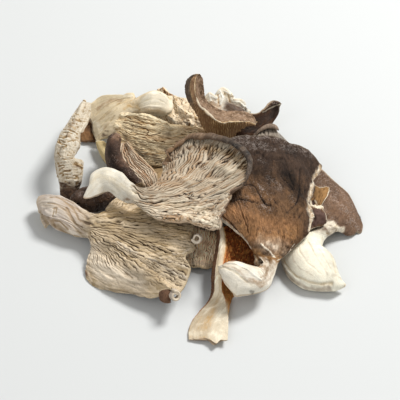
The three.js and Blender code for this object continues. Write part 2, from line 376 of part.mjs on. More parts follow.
    thick: [4, 6, 5, 3.4, 2.8, 1.8],
    rows: [[[48.4, -15.4, 1.7], [49.6, -15.6, 2.8], [50.9, -15.3, 3.4], [52.2, -14.4, 3.2], [53.6, -12.9, 2.4], [55, -10.9, 1.1]],
    [[43.9, -9.4, 3.7], [45.9, -9.7, 5.9], [47.9, -9.1, 7.2], [50.1, -7.3, 7.1], [52.4, -4.1, 5.4], [54.7, 0, 2.9]],
    [[37, -2.3, 6.3], [40.7, -4.1, 9.9], [44.3, -4.2, 12], [47.8, -1.5, 11.7], [51.4, 3.9, 8.9], [55, 11.1, 4.7]],
    [[32.5, 8, 8.9], [37.3, 5.6, 12.8], [42, 5.2, 15.1], [46.7, 8.2, 14.6], [51.3, 14.7, 11.3], [56, 23.3, 6.4]],
    [[32.7, 20.1, 10.7], [37.5, 17.3, 13.9], [42.2, 16.5, 15.7], [46.7, 19.2, 15.2], [51.2, 25.2, 12.3], [55.7, 33.3, 8]],
    [[36.6, 34.7, 10.9], [40, 31.8, 13.1], [43.4, 30.6, 14.3], [46.6, 32.2, 13.9], [49.8, 36.5, 11.8], [53, 42.6, 8.7]]],
  },
  // brown cap on the right with its thick pale stem
  brown_cap_right: {
    color: '#a68f7c', roughness: 0.85, nu: 15, nv: 9,
    thick: [2, 6, 9, 12, 13, 12, 9, 6.5, 4, 3, 2.6, 2.4, 1.8],
    rows: [[[80, -55.7, 3.8], [80.5, -55.6, 4.2], [81.1, -55.5, 4.5], [81.5, -55.4, 4.9], [81.4, -55, 5.2], [80.8, -54.5, 5.5]],
    [[74.7, -55.5, 2.7], [75.7, -56.2, 5.1], [76.5, -55.8, 6.4], [77.1, -54.2, 6.6], [77.7, -52.1, 5.9], [78.1, -48.7, 4.1]],
    [[66.3, -55.6, 1.5], [69.6, -54.7, 5.1], [71.8, -52.3, 6.6], [73.7, -49.1, 7.1], [75, -45.3, 6.2], [76.2, -40.6, 3.4]],
    [[56.8, -53.6, 1.4], [60.7, -51.1, 5.2], [64.7, -47.9, 7.5], [68.2, -43.9, 8], [71.4, -38.9, 6.6], [73.6, -34.6, 3.4]],
    [[50.1, -43.9, 1.1], [53.7, -41.6, 4.5], [58.2, -40.5, 7.7], [62.2, -38.2, 8.4], [66.5, -33.6, 6.6], [70.3, -28.9, 3.5]],
    [[49.3, -32.9, 2.3], [52.8, -33.1, 6.1], [56.7, -32.9, 8.4], [60.8, -31.3, 8.8], [64.9, -28.9, 7.3], [68.9, -24.6, 3.8]],
    [[54.4, -24.1, 4.1], [57.1, -25.1, 7], [60.1, -26.2, 9], [63.3, -25.9, 9.1], [66.6, -24.2, 7.7], [70, -21.2, 4.7]],
    [[59.7, -19.1, 5.4], [62.4, -21.1, 8], [65.1, -22.1, 9.6], [68, -21.3, 9.6], [71.1, -19.6, 8.1], [74.3, -16.2, 5.1]],
    [[62.1, -14.5, 6.7], [66, -16.9, 9], [69.3, -17.5, 10], [72.8, -17.2, 10.1], [77, -15.9, 8.3], [81.9, -12.9, 5]],
    [[61.8, -6.6, 7.6], [66.8, -9.5, 9.9], [71.9, -11.5, 11.2], [76.8, -11.7, 10.5], [82.4, -11.8, 8], [88.5, -13.5, 2.2]],
    [[61.7, 4, 7.2], [67.3, 1.5, 9.9], [73.5, -0.6, 11.3], [79.8, -2.6, 10.8], [86.3, -5.3, 7.8], [92.4, -11.5, 1.6]],
    [[62.9, 17.5, 5.7], [68.6, 15.8, 8.3], [74.3, 13.8, 9.2], [80.7, 10.9, 8.4], [87.6, 5.8, 5.2], [93.9, -6.2, 1]],
    [[65.3, 31.1, 3.4], [71.4, 34.5, 5], [76.9, 26.9, 6.5], [83, 19, 5.8], [88.7, 12.6, 3.1], [93.4, 2.7, 0]]],
  },
  // torn tan scrap tucked between the two brown caps
  tan_curled_fragment: {
    color: '#9a8262', roughness: 0.9, nu: 11, nv: 8,
    thick: [1.6, 1.8, 2, 2.2, 2.2, 1.6],
    rows: [[[60.9, 17, 11.4], [65.4, 15, 12.5], [70.6, 12.7, 12.9], [75.9, 12.2, 12.1]],
    [[60.4, 7, 13.4], [64.3, 5.6, 14.5], [69.6, 5.5, 14.6], [74.7, 6.8, 13.1]],
    [[60, -1.9, 14.4], [62.8, -3.3, 16], [66.7, -4.3, 16.6], [70.7, -2.5, 14.6]],
    [[59.7, -8.5, 14.7], [63, -10.4, 17.2], [66.9, -11, 18.3], [70.6, -8.7, 16.3]],
    [[59.5, -15, 14.2], [62.8, -16.5, 16.2], [67.3, -16.6, 17.2], [72.6, -14.8, 15.7]],
    [[59.2, -21.9, 13.3], [62, -22.4, 14.2], [65, -20.8, 14.5], [69.2, -17.3, 13.7]]],
  },
  // gilled piece under the centre of the heap
  gilled_piece_under: {
    color: '#776147', roughness: 0.92, nu: 11, nv: 8,
    thick: [3, 3, 2.8, 2.4, 1.8],
    rows: [[[-12.6, 6.2, 4.8], [-4.4, 7.1, 5.6], [4.4, 7.1, 5.6], [13.2, 6.2, 3.9]],
    [[-11.3, -6.2, 5.4], [-3.8, -7.1, 7.3], [4.4, -7.6, 7.8], [13.1, -7.6, 6]],
    [[-10.7, -18.4, 5], [-3.2, -20.2, 7], [4.3, -21.1, 8.1], [12.4, -20.2, 6.2]],
    [[-9.5, -27.8, 2.6], [-3.1, -30.9, 5.3], [3.7, -31.8, 6.3], [10.6, -29.6, 4.7]],
    [[-8.3, -34.6, -0.1], [-3.1, -40.2, 2.4], [3.1, -41.5, 3.5], [8.9, -38.1, 2.6]]],
  },
  // fan in the middle layer, under the top fan
  under_fan_center: {
    color: '#a38b6a', roughness: 0.92, nu: 11, nv: 8,
    thick: [5, 7, 5, 3.4, 2.8, 1.8],
    rows: [[[22.3, -8, 12.5], [23, -7.1, 13.2], [23.7, -5.9, 13.6], [24.4, -4.4, 13.7], [25.1, -2.5, 13.4], [25.8, -0.5, 12.8]],
    [[16.5, -6.8, 12.9], [17.7, -5, 13.6], [18.8, -2.9, 14.1], [20, -0.5, 14.2], [21.2, 2.3, 14], [22.4, 5.3, 13.5]],
    [[7.2, -6, 12], [9.9, -2.7, 12.7], [12.4, 0.8, 13.3], [14.5, 4.7, 13.9], [16.3, 9, 14.5], [17.9, 13.5, 15]],
    [[-2, -3.5, 11.1], [1.2, 1.3, 11.6], [4.1, 6.3, 12.3], [6.5, 11.4, 13.4], [8.3, 16.7, 14.7], [9.7, 22.1, 16.2]],
    [[-11.3, 0.5, 10.1], [-7.3, 6, 10.6], [-3.8, 11.7, 11.4], [-1.2, 17.4, 12.9], [0.4, 23.2, 15], [1.5, 29.1, 17.4]],
    [[-18.4, 6.6, 10.4], [-14.3, 11.7, 10.5], [-10.8, 16.7, 11.2], [-8.5, 21.6, 12.8], [-7.3, 26.5, 15.4], [-6.8, 31.2, 18.7]]],
  },
  // mushroom split lengthwise, standing on its cut edge
  split_mushroom_edge: {
    color: '#cdbc9e', roughness: 0.9, nu: 14, nv: 7,
    front: [[[-6.1, -90.7, 1.1], [4.1, -92.1, 3.4], [14.6, -93.6, 4.3], [14.9, -93.7, 4], [13.5, -93.6, 3.5], [7.4, -93.2, 2.5]],
    [[-6, -84.4, 0.8], [4.2, -86.2, 3.1], [14.9, -86.9, 3.9], [15.3, -86.9, 3.4], [14.1, -87.5, 2.9], [9.7, -87.8, 2]],
    [[-3.6, -77.6, 1.1], [5.8, -78.9, 3.3], [15, -79.1, 3.9], [15.7, -79.1, 3.2], [15.3, -79.2, 2.2], [12.5, -79.8, 1.2]],
    [[1.1, -72, 2.6], [8.1, -72.7, 4.4], [14.8, -72.2, 4.6], [15.9, -72.4, 3.7], [16.5, -72.5, 2.4], [15.4, -72.9, 0.7]],
    [[5.6, -67.2, 5.1], [10.1, -67.7, 6.6], [14.2, -66.9, 6.5], [15.7, -66.6, 4.9], [17.1, -66.9, 3.1], [17.1, -66.9, 0.4]],
    [[8.1, -62.7, 8], [10.2, -63.3, 9.2], [12.4, -62.3, 8.8], [15.1, -61.3, 6.3], [17.4, -61, 3.5], [18.9, -60.7, 0]],
    [[8.6, -56.6, 10.8], [10.5, -57.2, 11.9], [12.4, -56.6, 11.6], [16, -55.2, 8.7], [21.2, -54, 4.2], [25.2, -54.7, -0.1]],
    [[9, -50.9, 13.6], [10.9, -51.6, 14.8], [12.9, -50.9, 14.5], [18.9, -48.9, 10.8], [26.9, -47.1, 5.7], [33.8, -46.8, 0.2]],
    [[9.9, -44.8, 16], [11.9, -45.5, 17.2], [13.9, -44.8, 16.9], [20.6, -41.6, 12.3], [29.9, -38.1, 5.7], [38, -37.9, -0.6]],
    [[11, -38.7, 18.5], [13, -39.4, 19.6], [14.9, -38.8, 19.3], [21.3, -34.1, 13.6], [30.6, -30.1, 7], [40.5, -29.7, 0.4]],
    [[11.7, -32.5, 20], [13.3, -33.2, 21.1], [14.7, -32.4, 20.7], [20.8, -27.7, 15.9], [29, -22.7, 9], [37.2, -21.6, 2.6]],
    [[11.2, -27, 21], [12.5, -27.2, 22.1], [13.6, -26, 21.6], [18, -21.1, 17.4], [24.5, -15.4, 11.2], [30.4, -14.1, 6.3]]],
    back: [[[-6.1, -90.7, 1.1], [-4.1, -90.8, 0.8], [2.5, -91.8, 1.6], [7.4, -93.2, 2.5]],
    [[-6, -84.4, 0.8], [-5, -84.4, -0.1], [3.1, -86.3, 0.9], [9.7, -87.8, 2]],
    [[-3.6, -77.6, 1.1], [-3.3, -77.4, -0.4], [6.4, -79.1, 0.3], [12.5, -79.8, 1.2]],
    [[1.1, -72, 2.6], [0.3, -71.2, 0.4], [8.7, -72.4, 0.1], [15.4, -72.9, 0.7]],
    [[5.6, -67.2, 5.1], [4.5, -65.9, 2.3], [12.1, -65.4, 0.4], [17.1, -66.9, 0.4]],
    [[8.1, -62.7, 8], [6.6, -61.2, 4.5], [13.8, -59.8, 0.7], [18.9, -60.7, 0]],
    [[8.6, -56.6, 10.8], [6.9, -56.3, 7.4], [17.2, -54, 1.6], [25.2, -54.7, -0.1]],
    [[9, -50.9, 13.6], [7.3, -49.8, 8.8], [20.7, -46.8, 2.3], [33.8, -46.8, 0.2]],
    [[9.9, -44.8, 16], [8.4, -42.8, 10.3], [23.7, -39.9, 2.6], [38, -37.9, -0.6]],
    [[11, -38.7, 18.5], [9.7, -36.2, 11.8], [24.9, -32.4, 3.6], [40.5, -29.7, 0.4]],
    [[11.7, -32.5, 20], [10.3, -30, 12.8], [23.3, -26.3, 4.4], [37.2, -21.6, 2.6]],
    [[11.2, -27, 21], [10.3, -25.4, 15.4], [21, -20.1, 6.9], [30.4, -14.1, 6.3]]],
  },
  // largest cap, brown skin side up, with a thick hooked stem
  brown_cap_large: {
    color: '#83654a', roughness: 0.82, nu: 16, nv: 11,
    thick: [3, 9, 14.5, 15.5, 12.5, 8.5, 6.5, 4.8, 3.6, 3, 2.8, 2.4, 1.8],
    rows: [[[11.1, -52.6, 17.7], [11.1, -53.1, 17.4], [11, -53.7, 17.2], [11, -54.2, 17], [11, -54.8, 16.8], [10.9, -55.3, 16.6], [10.9, -55.9, 16.4]],
    [[14.3, -51.4, 18.9], [14.1, -53, 18.2], [13.9, -54.6, 17.6], [13.7, -56.2, 17], [13.5, -57.8, 16.3], [13.3, -59.4, 15.7], [13.1, -61, 15.1]],
    [[20.4, -51.2, 19.9], [20.3, -54.2, 18.9], [20.2, -57.2, 17.9], [20, -60.3, 17], [19.9, -63.3, 16], [19.8, -66.3, 15.1], [19.7, -69.3, 14.1]],
    [[27.6, -52.8, 19.2], [27.8, -55.5, 18.2], [28, -58.1, 17.1], [28.1, -60.8, 16.1], [28.3, -63.4, 15], [28.4, -66, 14], [28.6, -68.6, 12.9]],
    [[33.3, -52.6, 17.7], [33.6, -54.5, 16.7], [34, -56.4, 15.8], [34.3, -58.4, 14.8], [34.7, -60.3, 13.8], [35, -62.2, 12.9], [35.4, -64.2, 11.9]],
    [[36.9, -50.5, 17.8], [37.5, -51.6, 17.2], [38.1, -52.7, 16.5], [38.7, -53.8, 15.8], [39.3, -54.9, 15.2], [39.9, -56, 14.5], [40.5, -57, 13.9]],
    [[38.4, -46.6, 18.9], [39.5, -46.6, 18.3], [40.5, -46.6, 17.6], [41.6, -46.6, 17], [42.6, -46.6, 16.4], [43.7, -46.6, 15.7], [44.7, -46.6, 15.1]],
    [[33.1, -43, 19.9], [35.4, -42.8, 21], [38.2, -42.5, 21.5], [41, -42.2, 21.6], [43.8, -41.9, 20.7], [47, -41, 18.9], [50, -39.4, 16.2]],
    [[26.1, -38.5, 23.7], [30.1, -37.3, 25.3], [35.1, -35.9, 25.8], [40.2, -35.3, 25.6], [45.3, -35.1, 24.6], [50.5, -34.4, 21.7], [55.3, -32.9, 17]],
    [[18.3, -33.2, 27.5], [24.5, -28.4, 29.7], [31.9, -24.6, 30.5], [39.8, -22.8, 30.3], [47.8, -22.7, 28.5], [55.3, -24.2, 24.3], [61.1, -26.7, 18.2]],
    [[9.3, -22.3, 29.8], [16.2, -13.5, 32.8], [25.9, -6.8, 34], [36.3, -3.5, 33.3], [46.6, -3.5, 31.2], [55.3, -7.1, 26.7], [61.1, -12.6, 19.2]],
    [[3.7, -8.2, 30.4], [11.2, 2, 34.6], [23.3, 10.8, 36.2], [36.1, 15, 35.7], [48.3, 15.6, 32.9], [57.7, 12.6, 26.9], [62.4, 5.6, 19.2]],
    [[-0.3, 3.7, 30.3], [6.7, 14.9, 34.5], [20.7, 27.7, 35.5], [36.5, 33.2, 34.6], [51.3, 33.7, 31.1], [63.8, 30.6, 23.9], [70.6, 24.9, 17.1]]],
  },
  // wide fan lying gills up, with a thick short stem
  gilled_fan_left: {
    color: '#a58f70', roughness: 0.92, nu: 15, nv: 11,
    thick: [7, 12, 11, 8.5, 5.5, 4, 3.2, 2.8, 2.4, 1.8],
    rows: [[[-90.6, 9.3, 8.3], [-92.2, 6.8, 8], [-92.9, 3.8, 7.4], [-92.7, 0.3, 6.9], [-92.3, -2.8, 5.9], [-91.3, -6.7, 5.1], [-89.1, -10, 3.9]],
    [[-83, 6.5, 9.6], [-83, 1.6, 10.6], [-83.1, -2.3, 10.5], [-83.2, -5.6, 9.5], [-83.2, -7.8, 8], [-82.5, -10.9, 6.6], [-81.4, -13.1, 4.8]],
    [[-72.4, 0.2, 10.5], [-73, -4.2, 11.3], [-73.5, -7.6, 11.2], [-73.7, -10.6, 10.2], [-73.6, -13.1, 8.7], [-73.3, -15.7, 7.2], [-72.4, -18.3, 5.4]],
    [[-61.6, -7, 11.4], [-62.6, -10.8, 12.2], [-63.1, -13.5, 12.1], [-63.3, -15.7, 11.5], [-63.3, -17.5, 10], [-63.3, -19.2, 8.5], [-62.9, -21.8, 7.1]],
    [[-55.3, -6.7, 11.5], [-54.7, -11.7, 13.1], [-54.8, -16.8, 13.5], [-55.3, -20.9, 13], [-56.4, -24, 11.3], [-58.6, -26.1, 9.3], [-61.9, -26.4, 6.3]],
    [[-50.8, -1.1, 11.8], [-46.4, -8.7, 14.1], [-44.4, -18.2, 15.9], [-44.7, -26.1, 15.4], [-48, -32.6, 13.3], [-53.7, -34.8, 9.7], [-62.7, -31.4, 4.1]],
    [[-45.7, 3.7, 11.8], [-38.4, -4.1, 15], [-34, -19.1, 17.8], [-33.7, -32.5, 17.4], [-39.2, -41.9, 14.4], [-48.9, -44.5, 9.6], [-63.6, -37.5, 2.4]],
    [[-38.2, 6.6, 12.1], [-27.5, -3.4, 16], [-21.4, -20.3, 19.2], [-22.2, -38.9, 18.6], [-29.4, -52, 14.8], [-44.1, -54, 8.5], [-64.4, -42.1, 0.8]],
    [[-31.3, 9.6, 12.3], [-15.9, -3.6, 17.1], [-8.8, -22.6, 20], [-11.5, -44.9, 18.7], [-20.3, -61.7, 14.1], [-38.3, -60.1, 7.2], [-62.7, -47.5, 0.1]],
    [[-26.1, 12.9, 12.3], [-9, -1.5, 17.3], [-4.2, -25.6, 19.9], [-5.9, -49.8, 18.3], [-13, -68.4, 12.6], [-33.2, -64.8, 6.2], [-59.8, -50.9, 0.1]]],
  },
  // central fan on the top of the heap, gills up, margin rolled inward
  gilled_cap_center: {
    color: '#b7a489', roughness: 0.92, nu: 16, nv: 11,
    thick: [1.2, 2.2, 3.2, 4.2, 5, 4.4, 3.6, 3, 2.4, 1.8],
    rows: [[[-66.4, 2.7, 17.1], [-66.1, 2.3, 17], [-65.8, 1.9, 16.9], [-65.5, 1.5, 16.8], [-65.2, 1, 16.7], [-64.9, 0.6, 16.5], [-64.6, 0.2, 16.4]],
    [[-64.2, 9.7, 21.5], [-63.4, 8.5, 21.4], [-62.6, 7.4, 21.2], [-61.7, 6.2, 21], [-60.9, 5, 20.8], [-60.1, 3.9, 20.7], [-59.3, 2.7, 20.5]],
    [[-56.7, 15, 25.6], [-56, 12.4, 26.3], [-55.3, 10.2, 26], [-54.7, 8.6, 25.2], [-54.1, 6.9, 24.4], [-53.8, 5.3, 23.6], [-53.5, 4.2, 22.3]],
    [[-45.4, 9.7, 27.8], [-45.6, 6.7, 28], [-45.8, 3.9, 27.7], [-46, 1.4, 26.9], [-46.3, -0.5, 25.6], [-46.5, -2.9, 24.8], [-46.8, -4.4, 23.4]],
    [[-36.4, -1.3, 30.2], [-36.6, -3.8, 30.4], [-36.8, -6.3, 30], [-37.1, -8.3, 29.7], [-37.4, -9.8, 28.8], [-37.6, -10.9, 27.4], [-37.9, -12.4, 26.1]],
    [[-30.5, -6.9, 31.6], [-29.9, -9.5, 31.8], [-29.3, -12, 31.5], [-28.9, -14.4, 31.2], [-28.9, -16.4, 30.4], [-29.2, -18.7, 29.6], [-29.7, -20.6, 28.3]],
    [[-24.9, -0.4, 32.1], [-22.5, -4.8, 32.6], [-20.2, -10.3, 32.7], [-19, -15.8, 32.7], [-18.3, -20.7, 32.1], [-18.3, -24.7, 31.5], [-18.8, -28.1, 30.3]],
    [[-21.6, 6.8, 32.9], [-15.8, 5, 34], [-10, -1.3, 33.9], [-6.5, -10.7, 33.9], [-5.3, -19.5, 34.2], [-5.9, -26.3, 33.6], [-6.4, -32.6, 32.6]],
    [[-20.2, 10.9, 33.7], [-11.2, 15, 36.1], [0.3, 11.4, 37.3], [8.3, -0.2, 36.9], [8.2, -15.1, 36.9], [5.9, -26.3, 36.6], [3.6, -38.9, 35.4]],
    [[-21, 10.4, 34.6], [-7.8, 25.6, 38.5], [8.4, 23.4, 41.9], [23.2, 11.9, 45.8], [28.3, -6.2, 45.6], [16.9, -20.3, 40.9], [11.9, -42.6, 38.3]]],
    roll: { radius: ROLL_RADIUS_CENTER, angle: 225, mask: [0.8, 1, 1, 1, 1, 1, 1, 1, 0.9, 0.1, 0.05, 0.05, 0.05] },
  },
};

const heap = new THREE.Group();
heap.name = 'oyster_mushroom_cluster';
for (const [name, spec] of Object.entries(PIECES)) {
  const geometry = spec.front ? loft(spec) : sheet(spec);
  const material = new THREE.MeshStandardMaterial({ color: spec.color, roughness: spec.roughness, metalness: 0 });
  material.name = name;
  const mesh = new THREE.Mesh(geometry, material);
  mesh.name = name;
  heap.add(mesh);
}

export default heap;
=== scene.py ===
import math

import bpy
import numpy as np
from mathutils import Matrix, Vector


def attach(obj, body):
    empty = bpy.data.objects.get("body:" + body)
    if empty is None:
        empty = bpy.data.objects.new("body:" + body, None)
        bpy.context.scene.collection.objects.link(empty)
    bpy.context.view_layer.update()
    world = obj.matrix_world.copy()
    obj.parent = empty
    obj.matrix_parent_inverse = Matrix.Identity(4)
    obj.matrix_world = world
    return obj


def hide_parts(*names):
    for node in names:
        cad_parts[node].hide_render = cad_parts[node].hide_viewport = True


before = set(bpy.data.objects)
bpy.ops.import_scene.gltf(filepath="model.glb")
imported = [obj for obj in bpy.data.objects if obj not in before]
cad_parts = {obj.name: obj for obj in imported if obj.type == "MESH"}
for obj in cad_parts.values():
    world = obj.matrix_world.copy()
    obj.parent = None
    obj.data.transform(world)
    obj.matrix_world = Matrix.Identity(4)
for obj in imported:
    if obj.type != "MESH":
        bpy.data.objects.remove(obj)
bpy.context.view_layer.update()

# Dried oyster mushroom cluster. Control tables are in millimetres in the CAD frame:
# rows run from the stem out to the cap margin, each row crosses the piece.

CAM_ELEV = 47.0
CAM_F = 1783.0
CAM_DIST = 1055.0
CAM_TARGET = (0.3, 14.7, 0)

